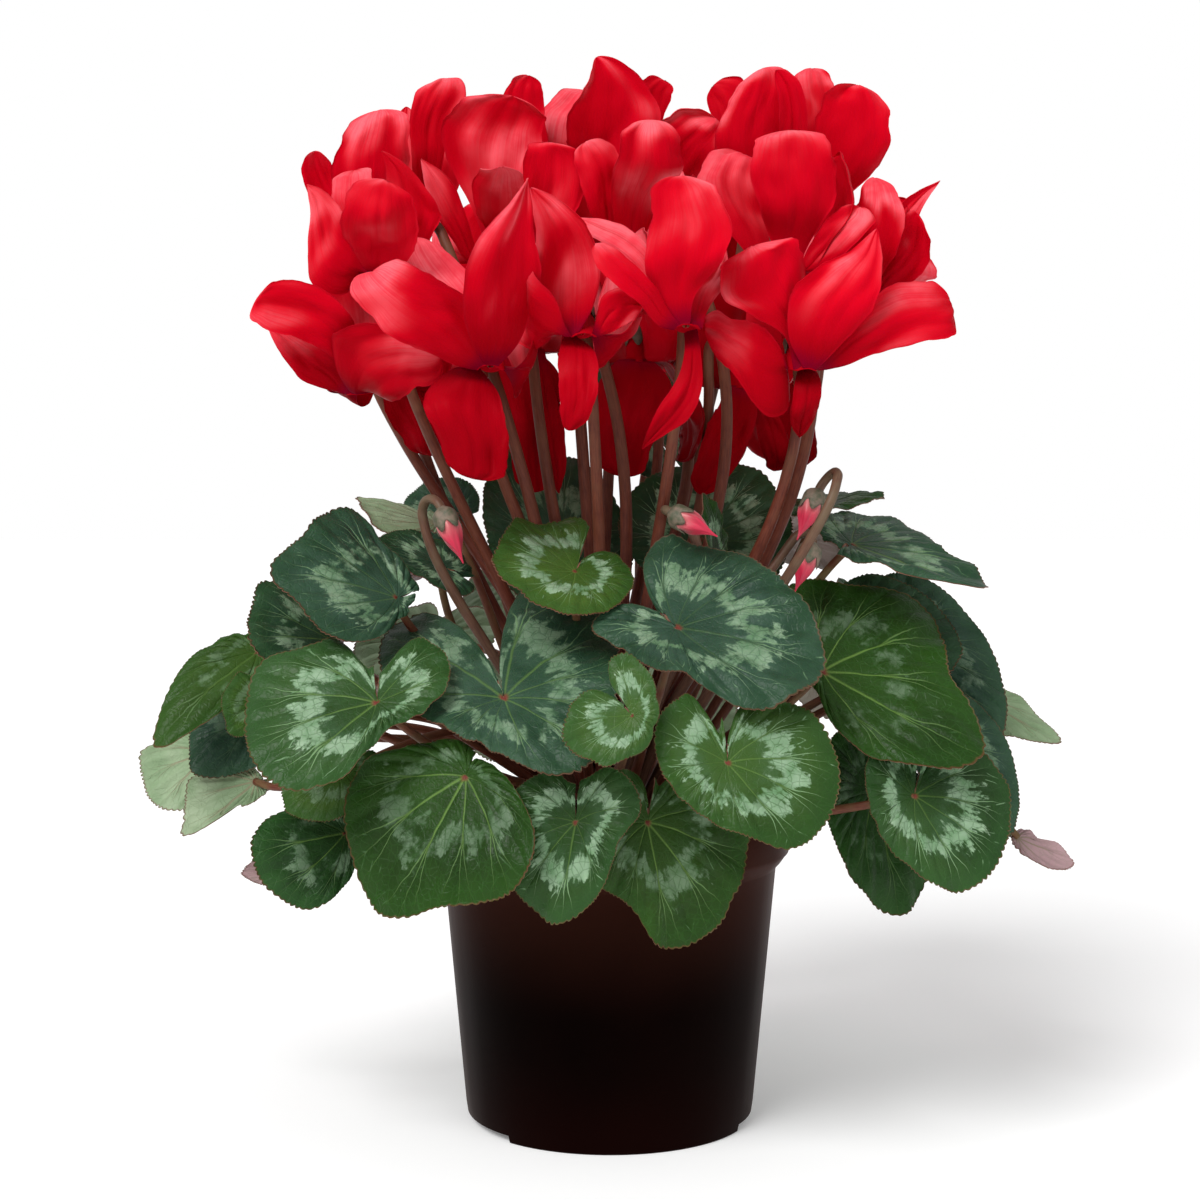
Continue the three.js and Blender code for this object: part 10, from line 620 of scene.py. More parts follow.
def leaf_top():
    M = Mat("leaf_upper")
    F = leaf_fields(M)
    P, y, a = F["P"], F["y"], F["a"]
    seedv = M.vec(M.math("MULTIPLY", F["seed"], 37.0), M.math("MULTIPLY", F["seed"], 11.0), 0.0)
    mp = M.n("ShaderNodeVectorMath", operation="ADD")
    M.l(P, mp.inputs[0])
    M.l(seedv, mp.inputs[1])
    Ps = mp.outputs[0]
    big = M.noise(Ps, 22, 3.0)
    mid = M.noise(Ps, 75, 4.0, 0.6)
    # streaks that run outwards from the petiole
    st = M.noise(M.vec(M.math("MULTIPLY", F["x"], 2.6), M.math("MULTIPLY", y, 2.4), M.math("MULTIPLY", F["seed"], 19.0)), 1.0, 3.0, 0.6)
    st2 = M.noise(M.vec(M.math("MULTIPLY", F["x"], 8.0), M.math("MULTIPLY", y, 3.5), M.math("MULTIPLY", F["seed"], 7.0)), 1.0, 4.0, 0.7)
    dark = M.mix(M.step(big, 0.35, 0.65), (0.0055, 0.024, 0.0075, 1), (0.015, 0.054, 0.015, 1))
    deepg = M.mix(M.step(big, 0.35, 0.65), (0.0030, 0.016, 0.0018, 1), (0.0085, 0.040, 0.0035, 1))
    # leaves with a low tone value turn a darker, deeper green
    deep_green_share = M.step(F["seed"], 0.28, 0.12)
    dark = M.mix(deep_green_share, dark, deepg)
    yel = M.mix(M.step(big, 0.3, 0.7), (0.042, 0.100, 0.012, 1), (0.090, 0.165, 0.028, 1))
    # bluish grey-green for leaves with a high tone value: partly their own tone, partly a painted sheen, the pale
    # grey-blue veil of a waxy leaf under white light
    bluish_tone_and_sheen = M.mix(M.step(mid, 0.3, 0.7), (0.018, 0.046, 0.030, 1), (0.042, 0.086, 0.060, 1))
    base = M.mix(M.step(F["seed"], 0.55, 0.8, 0.0, 0.75), dark, bluish_tone_and_sheen)
    base = M.mix(F["yellow"], base, yel)
    # fresher green band at the rim
    base = M.mix(M.math("MULTIPLY", M.step(y, 0.70, 0.92), M.step(F["seed"], 0.55, 0.8, 0.5, 0.2)), base, M.mix(deep_green_share, M.mix(mid, (0.013, 0.052, 0.011, 1), (0.031, 0.092, 0.024, 1)), (0.016, 0.060, 0.005, 1)))
    # silver zone: a ring of blotches, ragged towards the rim, broken by the veins
    ce = M.math("ADD", 0.58, M.math("MULTIPLY", M.math("SUBTRACT", st, 0.5), 0.52))
    blot = M.noise(Ps, 130, 4.0, 0.62)
    rag = M.noise(Ps, 210, 4.0, 0.7)
    wob_i = M.math("ADD", M.math("MULTIPLY", M.math("SUBTRACT", mid, 0.5), 0.30), M.math("MULTIPLY", M.math("SUBTRACT", rag, 0.5), 0.22))
    inner = M.step(M.math("SUBTRACT", M.math("ADD", y, wob_i), M.math("SUBTRACT", ce, 0.16)), -0.02, 0.05)
    wob_o = M.math("ADD", M.math("MULTIPLY", M.math("SUBTRACT", st2, 0.47), 0.42), M.math("MULTIPLY", M.math("SUBTRACT", blot, 0.5), 0.55))
    wob_o = M.math("ADD", wob_o, M.math("MULTIPLY", M.math("SUBTRACT", rag, 0.5), 0.25))
    outer = M.step(M.math("SUBTRACT", M.math("ADD", ce, M.math("ADD", 0.06, wob_o)), y), -0.02, 0.05)
    ring = M.math("MULTIPLY", inner, outer)
    ring = M.math("MULTIPLY", ring, M.step(M.math("ADD", a, M.math("MULTIPLY", M.math("SUBTRACT", rag, 0.5), 0.16)), 0.02, 0.105, 0.08, 1.0))
    ring = M.math("MULTIPLY", ring, M.step(M.math("ADD", M.math("ADD", M.math("MULTIPLY", mid, 0.6), M.math("MULTIPLY", blot, 0.4)), M.math("MULTIPLY", F["silver"], 0.26)), 0.50, 0.60))
    ring = M.math("MULTIPLY", ring, M.step(F["fine"], 0.5, 0.1, 0.45, 1.0))
    ring = M.math("MULTIPLY", ring, M.math("MINIMUM", M.math("MULTIPLY", F["silver"], 1.5), 1.0))
    silv = M.mix(M.step(blot, 0.3, 0.7), (0.12, 0.24, 0.115, 1), (0.33, 0.47, 0.31, 1))
    col = M.mix(M.math("MULTIPLY", ring, 0.92), base, silv)
    haze = M.math("MULTIPLY", M.math("MULTIPLY", M.step(M.math("ADD", y, M.math("MULTIPLY", st2, 0.2)), 0.3, 0.5), M.step(M.math("ADD", y, M.math("MULTIPLY", st2, 0.4)), 1.0, 0.8)), M.math("MULTIPLY", M.step(blot, 0.35, 0.65), M.math("MULTIPLY", F["silver"], 0.35)))
    col = M.mix(haze, col, (0.07, 0.145, 0.08, 1))
    thread = M.math("MULTIPLY", M.math("MULTIPLY", M.step(y, 0.50, 0.62), M.step(M.math("ADD", y, M.math("MULTIPLY", M.math("SUBTRACT", st2, 0.5), 0.35)), 0.97, 0.88)), M.step(M.math("MAXIMUM", F["main"], M.math("MULTIPLY", F["side"], M.step(blot, 0.42, 0.60, 0.0, 0.8))), 0.08, 0.5))
    col = M.mix(M.math("MULTIPLY", thread, M.math("MINIMUM", M.math("MULTIPLY", F["silver"], 1.1), 0.85)), col, (0.22, 0.36, 0.20, 1))
    # veins
    col = M.mix(M.math("MULTIPLY", F["fine"], M.math("MULTIPLY", F["veins"], 0.30)), col, (0.045, 0.15, 0.03, 1))
    col = M.mix(M.math("MULTIPLY", F["main"], M.math("MULTIPLY", M.math("POWER", F["veins"], 1.6), 0.72)), col, (0.14, 0.25, 0.055, 1))
    # petiole joint and margin are brownish red
    col = M.mix(M.step(y, 0.055, 0.015), col, (0.16, 0.035, 0.025, 1))
    col = M.mix(M.step(M.math("ADD", y, M.math("MULTIPLY", M.math("SUBTRACT", mid, 0.5), 0.02)), 0.982, 0.998, 0.0, 0.6), col, (0.15, 0.055, 0.03, 1))
    M.set(Base_Color=col, Roughness=M.step(mid, 0.2, 0.8, 0.30, 0.44))
    M.bs.inputs["Specular IOR Level"].default_value = 0.13
    M.bs.inputs["Subsurface Weight"].default_value = 0.04
    M.bs.inputs["Subsurface Radius"].default_value = (0.3, 1.0, 0.2)
    M.bs.inputs["Subsurface Scale"].default_value = 0.0012
    cells = M.voro(P, 900, "F1")
    h = M.math("SUBTRACT", M.math("MULTIPLY", cells, 0.25), M.math("ADD", M.math("MULTIPLY", F["main"], 0.9), M.math("MULTIPLY", F["fine"], 0.55)))
    M.bump(h, 0.5, 0.0007)
    return M.m


def leaf_under():
    M = Mat("leaf_underside")
    F = leaf_fields(M)
    mid = M.noise(F["P"], 60, 3.0)
    col = M.mix(M.step(mid, 0.3, 0.7), (0.19, 0.29, 0.15, 1), (0.30, 0.39, 0.24, 1))
    col = M.mix(M.math("MULTIPLY", M.step(F["seed"], 0.45, 0.9), 0.8), col, (0.42, 0.22, 0.27, 1))
    col = M.mix(M.math("MULTIPLY", F["fine"], 0.35), col, (0.16, 0.23, 0.11, 1))
    col = M.mix(M.math("MULTIPLY", F["main"], 0.75), col, (0.24, 0.20, 0.12, 1))
    col = M.mix(M.step(F["y"], 0.97, 0.995, 0.0, 0.7), col, (0.17, 0.06, 0.045, 1))
    M.set(Base_Color=col, Roughness=0.55)
    M.bs.inputs["Specular IOR Level"].default_value = 0.35
    h = M.math("ADD", M.math("MULTIPLY", F["main"], 1.0), M.math("MULTIPLY", F["fine"], 0.5))
    M.bump(h, 0.6, 0.0006)
    return M.m


def leaf_edge():
    M = Mat("leaf_margin")
    n = M.noise(M.obj(), 240, 2.0)
    M.set(Base_Color=M.mix(n, (0.10, 0.05, 0.022, 1), (0.24, 0.09, 0.05, 1)), Roughness=0.6)
    M.bump(n, 0.3, 0.0003)
    return M.m


def stalk_mat(name, c0, c1, c2, rough=0.42):
    """pol = (around, along 0..1, mm)."""
    M = Mat(name)
    P = M.obj()
    x, s, L = M.xyz(M.attr("pol").outputs["Vector"])
    n = M.noise(P, 120, 3.0)
    streak = M.noise(M.vec(M.math("SINE", M.math("MULTIPLY", x, 6.2832)), M.math("COSINE", M.math("MULTIPLY", x, 6.2832)), M.math("MULTIPLY", L, 0.05)), 4.0, 3.0, 0.6)
    col = M.mix(M.step(streak, 0.22, 0.78), c0, c1)
    col = M.mix(M.math("MULTIPLY", M.step(s, 0.25, 1.0), M.step(n, 0.3, 0.75)), col, c2)
    M.set(Base_Color=col, Roughness=M.step(n, 0.2, 0.8, rough, rough + 0.16))
    M.bs.inputs["Specular IOR Level"].default_value = 0.22
    M.bump(M.math("ADD", streak, M.math("MULTIPLY", n, 0.5)), 0.12, 0.0004)
    return M.m


# petal: pol = (across -1..1, along 0..1, width mm), lk = (painted highlight: salmon pink where the key light falls,
# seed, painted shade on low, inner and light-averted parts, 0)
def petal_mat():
    M = Mat("petal")
    P = M.obj()
    v, s, wd = M.xyz(M.attr("pol").outputs["Vector"])
    lk = M.attr("lk")
    sp = M.n("ShaderNodeSeparateColor")
    M.l(lk.outputs["Color"], sp.inputs[0])
    painted_highlight, seed, painted_shade = sp.outputs
    big = M.noise(P, 28, 2.0)
    veins = M.noise(M.vec(M.math("MULTIPLY", v, M.math("ADD", 11.0, M.math("MULTIPLY", s, 9.0))), M.math("MULTIPLY", s, 0.9), M.math("MULTIPLY", seed, 31.0)), 1.0, 4.0, 0.62)
    mott = M.noise(P, 75, 3.0, 0.55)
    red = M.mix(M.step(big, 0.3, 0.7), (0.50, 0.0, 0.0075, 1), (0.66, 0.0006, 0.0125, 1))
    # salmon pink of the painted highlight, mottled and veined
    highlight_pink = M.mix(M.step(M.math("ADD", M.math("MULTIPLY", veins, 0.5), M.math("MULTIPLY", mott, 0.5)), 0.38, 0.62), (0.82, 0.050, 0.078, 1), (0.90, 0.145, 0.175, 1))
    # painted highlight: the red turns pink where the petal faces the key light, held back where painted shade lies
    col = M.mix(M.math("MULTIPLY", M.math("MULTIPLY", painted_highlight, M.step(painted_shade, 0.15, 0.6, 1.0, 0.1)), M.step(mott, 0.2, 0.55, 0.7, 1.0)), red, highlight_pink)
    col = M.mix(M.step(M.math("ABSOLUTE", v), 0.90, 1.0, 0.0, 0.25), col, (0.80, 0.010, 0.03, 1))
    col = M.mix(M.math("MULTIPLY", M.step(veins, 0.52, 0.68), 0.13), col, (0.42, 0.0, 0.010, 1))
    # painted shade: low, inner and light-averted parts of the petals darken to deep red
    col = M.mix(M.math("MULTIPLY", painted_shade, 0.88), col, (0.17, 0.0, 0.002, 1))
    # deep crimson at the throat
    col = M.mix(M.step(M.math("ADD", s, M.math("MULTIPLY", M.math("SUBTRACT", veins, 0.5), 0.14)), 0.22, 0.02, 0.0, 0.8), col, (0.14, 0.0, 0.012, 1))
    M.set(Base_Color=col, Roughness=M.step(veins, 0.3, 0.7, 0.42, 0.55))
    bs = M.bs
    bs.inputs["Specular IOR Level"].default_value = 0.04
    bs.inputs["Specular Tint"].default_value = (1.0, 0.35, 0.4, 1)
    bs.inputs["Subsurface Weight"].default_value = 0.12
    bs.inputs["Subsurface Radius"].default_value = (1.0, 0.12, 0.1)
    bs.inputs["Subsurface Scale"].default_value = 0.003
    M.bump(M.math("ADD", M.math("MULTIPLY", veins, 1.0), M.math("MULTIPLY", M.noise(P, 420, 2.0), 0.3)), 0.28, 0.0006)
    return M.m


def simple_mat(name, ca, cb, scale, rough, bump=0.3, dist=0.0005, spec=0.4, detail=4.0):
    M = Mat(name)
    n = M.noise(M.obj(), scale, detail, 0.6)
    M.set(Base_Color=M.mix(M.step(n, 0.3, 0.7), ca, cb), Roughness=M.step(n, 0.2, 0.8, rough, min(1.0, rough + 0.15)))
    M.bs.inputs["Specular IOR Level"].default_value = spec
    M.bump(n, bump, dist)
    return M.m


def pot_mat():
    M = Mat("pot_plastic_dark_brown")
    P = M.obj()
    n = M.noise(P, 14, 4.0, 0.55)
    f = M.noise(P, 900, 3.0, 0.6)
    x, y, z = M.xyz(P)
    draw = M.noise(M.vec(M.math("MULTIPLY", x, 60.0), M.math("MULTIPLY", y, 60.0), M.math("MULTIPLY", z, 3.0)), 1.0, 3.0)
    col = M.mix(M.step(n, 0.3, 0.75), (0.0006, 0.0002, 0.0002, 1), (0.0022, 0.0006, 0.0005, 1))
    col = M.mix(M.math("MULTIPLY", M.step(z, 0.045, 0.110), 0.85), col, (0.043, 0.0130, 0.0085, 1))
    col = M.mix(M.step(z, 0.035, 0.0, 0.0, 0.3), col, (0.010, 0.0015, 0.0012, 1))
    M.set(Base_Color=col, Roughness=M.step(draw, 0.3, 0.7, 0.34, 0.46))
    M.bs.inputs["Specular IOR Level"].default_value = 0.018
    M.bs.inputs["Specular Tint"].default_value = (1.0, 0.5, 0.38, 1)
    M.bs.inputs["Sheen Weight"].default_value = 0.045
    M.bs.inputs["Sheen Roughness"].default_value = 0.35
    M.bs.inputs["Sheen Tint"].default_value = (1.0, 0.48, 0.40, 1)
    M.bump(M.math("ADD", M.math("MULTIPLY", f, 0.4), draw), 0.12, 0.0004)
    return M.m


def soil_mat():
    M = Mat("peat_compost")
    P = M.obj()
    n = M.noise(P, 130, 6.0, 0.65)
    f = M.noise(P, 700, 4.0, 0.6)
    col = M.mix(M.step(n, 0.35, 0.65), (0.008, 0.005, 0.003, 1), (0.035, 0.020, 0.012, 1))
    col = M.mix(M.step(f, 0.62, 0.75, 0.0, 0.6), col, (0.09, 0.06, 0.035, 1))
    M.set(Base_Color=col, Roughness=0.95)
    M.bs.inputs["Specular IOR Level"].default_value = 0.15
    M.bump(M.math("ADD", n, M.math("MULTIPLY", f, 0.6)), 0.8, 0.0015)
    return M.m


def bud_mat():
    M = Mat("bud_petals")
    x, s, z = M.xyz(M.attr("pol").outputs["Vector"])
    st = M.noise(M.vec(M.math("MULTIPLY", x, 14.0), M.math("MULTIPLY", s, 2.0), 0.0), 1.0, 3.0)
    col = M.mix(M.step(s, 0.15, 0.6), (0.58, 0.24, 0.22, 1), (0.58, 0.006, 0.050, 1))
    col = M.mix(M.math("MULTIPLY", M.step(st, 0.4, 0.65), 0.5), col, (0.33, 0.001, 0.022, 1))
    M.set(Base_Color=col, Roughness=0.42)
    M.bs.inputs["Sheen Weight"].default_value = 0.2
    M.bump(st, 0.3, 0.0006)
    return M.m


LEAF = [leaf_top(), leaf_under(), leaf_edge(), stalk_mat("petiole", (0.095, 0.022, 0.013, 1), (0.17, 0.050, 0.026, 1), (0.15, 0.11, 0.045, 1))]
STEM = [stalk_mat("peduncle", (0.075, 0.013, 0.008, 1), (0.17, 0.040, 0.020, 1), (0.15, 0.055, 0.028, 1), 0.42), simple_mat("calyx", (0.055, 0.05, 0.028, 1), (0.15, 0.11, 0.075, 1), 260, 0.5)]
PETAL = [petal_mat(), simple_mat("anthers", (0.10, 0.012, 0.02, 1), (0.30, 0.12, 0.05, 1), 500, 0.6)]
BUD = [stalk_mat("bud_stalk", (0.085, 0.035, 0.025, 1), (0.16, 0.075, 0.045, 1), (0.14, 0.10, 0.06, 1), 0.36), simple_mat("bud_calyx", (0.06, 0.075, 0.04, 1), (0.20, 0.15, 0.11, 1), 420, 0.5), bud_mat()]


# ---------- leaves ----------
NT = 360
RN = np.concatenate([[0.025, 0.06], np.linspace(0.11, 0.93, 18), [0.96, 0.982, 1.0]])
VEIN_STEP = 31.0


def vein_x(t, rn, seed):
    """Vein coordinate: whole numbers are the main veins, which bend towards the tip as they run out."""
    return (t + 16 * np.sin(np.radians(t)) * (rn - 0.35)) / VEIN_STEP + 0.06 * np.sin(t * 0.05 + seed * 20)


def blade(bd, name, lf):
    droop, back, across, funnel, ruffle, ruffles, phase, width = lf["S"]
    look = LOOKS.get(name, None)
    seed = (sum(ord(c) * (i + 3) for i, c in enumerate(name)) * 0.137) % 1.0
    silver, yellow, tone, veins = look if look else (0.35 + 0.4 * seed, 0.1, (seed * 7) % 1.0, 0.5)
    th = np.linspace(-176, 176, NT + 1)
    R0 = table(np.arange(33) * 11 - 176.0, lf["R"], th)
    TH, Q = np.meshgrid(th, RN)
    Rt = R0[None, :]
    ph = TH / 3.4 + 0.5 * np.sin(TH * 0.09 + seed * 30) + 0.3 * np.sin(TH * 0.23 + seed * 11)
    teeth = (np.abs(np.sin(np.pi * ph)) ** 0.8 - 0.55) * (0.75 + 0.25 * np.sin(TH * 0.4 + seed * 9))
    amp = 1.25 / max(lf["L"], 18)
    R = Rt * Q * (1 + amp * teeth * smooth(Q, 0.90, 1.0))
    t = np.radians(TH)
    X, Y = R * np.cos(t), R * np.sin(t) * width
    r2 = X * X + Y * Y
    r = np.sqrt(r2)
    h = np.where(X > 0, -droop * X * X, -back * X * X) + across * Y * Y + funnel * r * (1 - 0.45 * r) + ruffle * r2 * np.sin(ruffles * t + phase)
    vx = vein_x(TH - lf["v"], Q, seed)
    a = np.abs((vx + 200.5) % 1.0 - 0.5)
    fork = 0.27 * smooth(Q, 0.34, 1.05)
    d1, d2 = a * Q, np.abs(a - fork) * Q + (Q < 0.36) * 1.0
    side = lf["f"]
    groove = np.exp(-((d1 / 0.022) ** 2)) * (1 - 0.5 * Q) + 0.75 * np.exp(-((d2 / 0.022) ** 2)) * smooth(Q, 0.36, 0.5)
    pucker = np.sin(np.pi * np.clip(a * 2, 0, 1)) * smooth(Q, 0.28, 0.7) * (1 - smooth(Q, 0.9, 1.0))
    size = lf["L"] / 60
    mm = -0.42 * groove * size + 1.15 * pucker * size
    mm = mm + 0.9 * size * lattice(X * 7 + seed * 50, Y * 7, 0 * X, 3) * smooth(Q, 0.2, 0.6) + 1.7 * size * lattice(TH * 0.085 + seed * 70, 0 * X, 0 * X, 5) * smooth(Q, 0.7, 1.0)
    A0, Xv, N = (np.array(lf[k], float) for k in ("A", "X", "N"))
    Yv = np.cross(N, Xv)
    P = A0 + (Xv * X[..., None] + Yv * Y[..., None] + N * h[..., None]) * lf["L"] + N * mm[..., None]
    thick = 0.62 - 0.30 * smooth(Q, 0.6, 1.0)
    a3 = np.stack([vx, Q, np.full_like(Q, size)], -1)
    sheet(bd, P, thick, (0, 1, 2), a3, (silver, yellow, tone, veins), fan=A0)
    return R0


# (silver, yellowness, tone, vein strength)
LOOKS = {
    "01": (0.66, 0.66, 0.2, 0.8), "02": (0.46, 0.0, 0.84, 0.38), "03": (0.80, 0.50, 0.3, 0.7), "04": (0.74, 0.34, 0.2, 0.7), "05": (0.85, 0.25, 0.3, 0.7),
    "06": (0.28, 0.30, 0.1, 1.0), "07": (0.22, 0.16, 0.1, 1.0), "08": (0.68, 0.22, 0.3, 0.8), "09": (0.45, 0.0, 0.85, 0.5), "10": (0.38, 0.02, 0.95, 0.7),
    "11": (0.16, 0.14, 0.1, 1.0), "12": (0.88, 0.24, 0.3, 0.6), "13": (0.15, 0.10, 0.2, 0.8), "14": (0.38, 0.0, 0.8, 0.8), "15": (0.25, 0.14, 0.3, 0.9),
    "20a": (0.45, 0.05, 0.7, 0.7), "20b": (0.2, 0.35, 0.1, 0.6), "20c": (0.2, 0.75, 0.3, 0.6), "21a": (0.15, 0.0, 0.9, 0.3), "21b": (0.2, 0.1, 0.5, 0.5), "21c": (0.2, 0.1, 0.35, 0.5),
    "22a": (0.3, 0.8, 0.3, 0.7), "22b": (0.2, 0.1, 0.95, 0.5), "23a": (0.3, 0.0, 0.3, 0.6), "23b": (0.3, 0.0, 0.8, 0.6), "23c": (0.6, 0.0, 0.7, 0.6),
    "24a": (0.3, 0.1, 0.3, 0.6), "24b": (0.3, 0.05, 0.75, 0.6), "24c": (0.2, 0.0, 0.85, 0.6), "25a": (0.2, 0.1, 0.3, 0.6), "25b": (0.3, 0.0, 0.85, 0.5), "25c": (0.2, 0.1, 0.98, 0.5),
}


def petiole(bd, key, r0, r1, mat, sides=14):
    P = spline(STALKS[key], 5)
    tube(bd, P, lambda s: r0 + (r1 - r0) * s + 0.35 * np.exp(-s * 18), sides, mat, wob=0.05)


made = []
for nd in LEAF_NODES:
    bd = Builder()
    for m in nd["m"]:
        blade(bd, m, BLADES[m])
        petiole(bd, nd["id"] + ":" + m, 2.0, 1.3, 3)
    made.append((bd.make("look_" + nd["name"], LEAF), nd["name"], "leaf"))


# ---------- corollas ----------
ST = [0, 0.2, 0.42, 0.64, 0.82, 0.94, 1]
NS, NV = ((44, 22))


def petal(bd, fl, k, q):
    seed = (int(fl["n"]) * 0.37 + k * 0.213) % 1.0
    s = np.concatenate([np.linspace(0, 0.88, NS - 8), 1 - 0.12 * np.linspace(1, 0.03, 9)[1:] ** 1.5])
    v = np.linspace(-1, 1, NV + 1)
    l, r = table(ST, q["l"], s), table(ST, q["r"], s)
    # a blunt petal ends in a round lobe, a pointed one keeps its tip
    e0, e1, tip = (np.array(q[m][i], float) for m, i in (("l", 5), ("r", 5), ("l", 6)))
    blunt = float(smooth(np.linalg.norm(e1 - e0) / (2 * np.linalg.norm((e0 + e1) / 2 - tip) + 1e-6), 0.42, 0.75))
    c, W0 = (l + r) / 2, np.linalg.norm(r - l, axis=1)
    wd = unit(r - l)
    wd[-3:] = wd[-4]
    W0 = W0 * (1 + (0.42 if q["w"] else 0.12) * smooth(s, 0.0, 0.30))
    at7 = np.interp(0.72, s, W0)
    lobe = at7 * np.sqrt(np.clip(1 - np.clip((s - 0.72) / 0.28, 0, 1) ** 2.4, 0, 1))
    lobe = lobe * (1 + 0.05 * np.sin(s * 37 + seed * 20) * smooth(s, 0.75, 0.9))
    W0 = np.where(s > 0.72, W0 + (np.maximum(lobe, W0) - W0) * blunt, W0)
    l, r = c - wd * W0[:, None] / 2, c + wd * W0[:, None] / 2
    mid = (l + r) / 2
    lm, rm = table(ST, q["l"], np.minimum(s + 0.03, 0.995)), table(ST, q["r"], np.minimum(s + 0.03, 0.995))
    l0, r0 = table(ST, q["l"], np.maximum(s - 0.03, 0)), table(ST, q["r"], np.maximum(s - 0.03, 0))
    along = (lm + rm) / 2 - (l0 + r0) / 2
    w = r - l
    N = unit(np.cross(w, along))
    for _ in range(3):
        N = unit(N + np.vstack([N[:1], N[:-1]]) + np.vstack([N[1:], N[-1:]]))
    W = np.linalg.norm(w, axis=1)
    S, V = np.meshgrid(s, v, indexing="ij")
    turn = np.cos(seed * 50)
    hh = 0.6 * q["b"] * (1 - V**2) * W[:, None] * np.minimum(1, 4 * S)
    hh = hh + 0.13 * turn * W[:, None] * V * (1 - V**2) * smooth(S, 0.1, 0.6)
    side = np.sign(q["b"]) or 1.0
    fade = smooth(S, 0.12, 0.5)
    hh = hh + side * W[:, None] * fade * 0.07 * smooth(np.abs(V), 0.5, 1.0)
    rel = np.clip(W / 17.0, 0.25, 1.2)[:, None] * fade
    hh = hh + 0.055 * W[:, None] * fade * np.abs(V) ** 2.4 * np.sin(S * 9.0 + V * 2.0 + seed * 40)
    hh = hh + 2.3 * rel * lattice(V * 1.2 + seed * 60, S * 2.6, 0 * S, 2) + 0.95 * rel * lattice(V * 2.9 + seed * 90, S * 5.5, 0 * S, 4) + 0.35 * rel * lattice(V * 6.5 + seed * 20, S * 8.0, 0 * S, 8)
    hh = hh - side * 0.55 * np.exp(-((V / 0.10) ** 2)) * smooth(S, 0.1, 0.3) * (1 - smooth(S, 0.8, 1.0))
    P = l[:, None] * (1 - (V[..., None] + 1) / 2) + r[:, None] * ((V[..., None] + 1) / 2) + N[:, None] * hh[..., None]
    # margins waver a little in the blade's own plane
    inp = (0.030 * lattice(S * 8 + seed * 33, V * 0.7, 0 * S, 6) + 0.012 * lattice(S * 26 + seed * 13, V, 0 * S, 9)) * W[:, None] * np.abs(V) ** 3 * np.sign(V) * fade
    P = P + unit(w)[:, None] * inp[..., None]
    P = P + level(P, fl)[..., None] * np.array(fl["a"]) * (1 - smooth(S, 0.0, 0.38))[..., None]
    P = clear_stalks(P, fl)
    thick = 0.55 - 0.28 * np.maximum(np.abs(V) ** 4, smooth(S, 0.8, 1.0))
    a3 = np.stack([V, S, np.broadcast_to(W[:, None], S.shape)], -1)
    z = P[..., 2]
    # painted shade: petals hanging below the mouths are darkened, standing in for the shade of the flowers above
    low = 1 - smooth(z, 236, 292)
    flat = np.zeros(S.shape + (4,))
    # painted highlight and painted shade follow how each part faces the key light from the upper left front
    up = unit(np.cross(np.gradient(P, axis=0), np.gradient(P, axis=1)))
    out = unit(P - np.array([0, 0, 215.0]))
    up = up * np.sign((up * out).sum(-1) + 1e-9)[..., None]
    lit = up @ unit(np.array([-0.46, -0.30, 0.84]))
    for _ in range(6):
        lit = (lit + np.vstack([lit[:1], lit[:-1]]) + np.vstack([lit[1:], lit[-1:]]) + np.hstack([lit[:, :1], lit[:, :-1]]) + np.hstack([lit[:, 1:], lit[:, -1:]])) / 5
    vary = (seed * 5.3) % 1.0
    # painted highlight: salmon pink where the petal faces the key light, with a share that varies from petal to petal
    highlight_share = 0.88 * smooth(lit, 0.10 + 0.25 * vary, 0.88) + (0.60 * (vary < 0.5) + 0.10) * smooth(S, 0.25, 0.85) * smooth(lit, 0.0, 0.6)
    flat[..., 0] = np.clip(highlight_share, 0, 1) * smooth(z, 240, 300) * smooth(S, 0.15, 0.5)
    flat[..., 1] = seed
    # painted shade: low petals, the part near the mouth and parts turned away from the key light are darkened
    flat[..., 2] = np.clip(0.9 * low + 0.45 * (1 - smooth(S, 0.12, 0.5)) + 0.22 * (1 - smooth(lit, -0.5, 0.4)) * smooth(S, 0.1, 0.4), 0, 1)
    sheet(bd, P, thick, (0, 0, 0), a3, flat)


def level(P, fl, k=1.35):
    """How far along the flower's axis a point of the mouth moves, so that the mouth faces the ground."""
    return np.clip(k * (fl["M"][2] - P[..., 2]) / fl["a"][2], -4.2, 4.2)


OWN = {}
for nd in STEM_NODES:
    for m in nd["m"]:
        OWN[m] = [spline(STALKS[nd["id"] + ":" + x], 4) for x in nd["m"]]


def clear_stalks(P, fl):
    """A petal gives way where a stalk of its own cluster passes through it."""
    shp = P.shape
    Q = P.reshape(-1, 3).copy()
    for C in OWN[fl["n"]]:
        D = Q[:, None] - C[None]
        d = np.linalg.norm(D, axis=2)
        i = d.argmin(1)
        dm = d[np.arange(len(Q)), i]
        near = dm < 6.5
        if near.any():
            away = D[np.arange(len(Q)), i]
            want = 2.75 + dm * (6.5 - 2.75) / 6.5
            Q[near] = (C[i] + unit(away) * want[:, None])[near]
    return Q.reshape(shp)


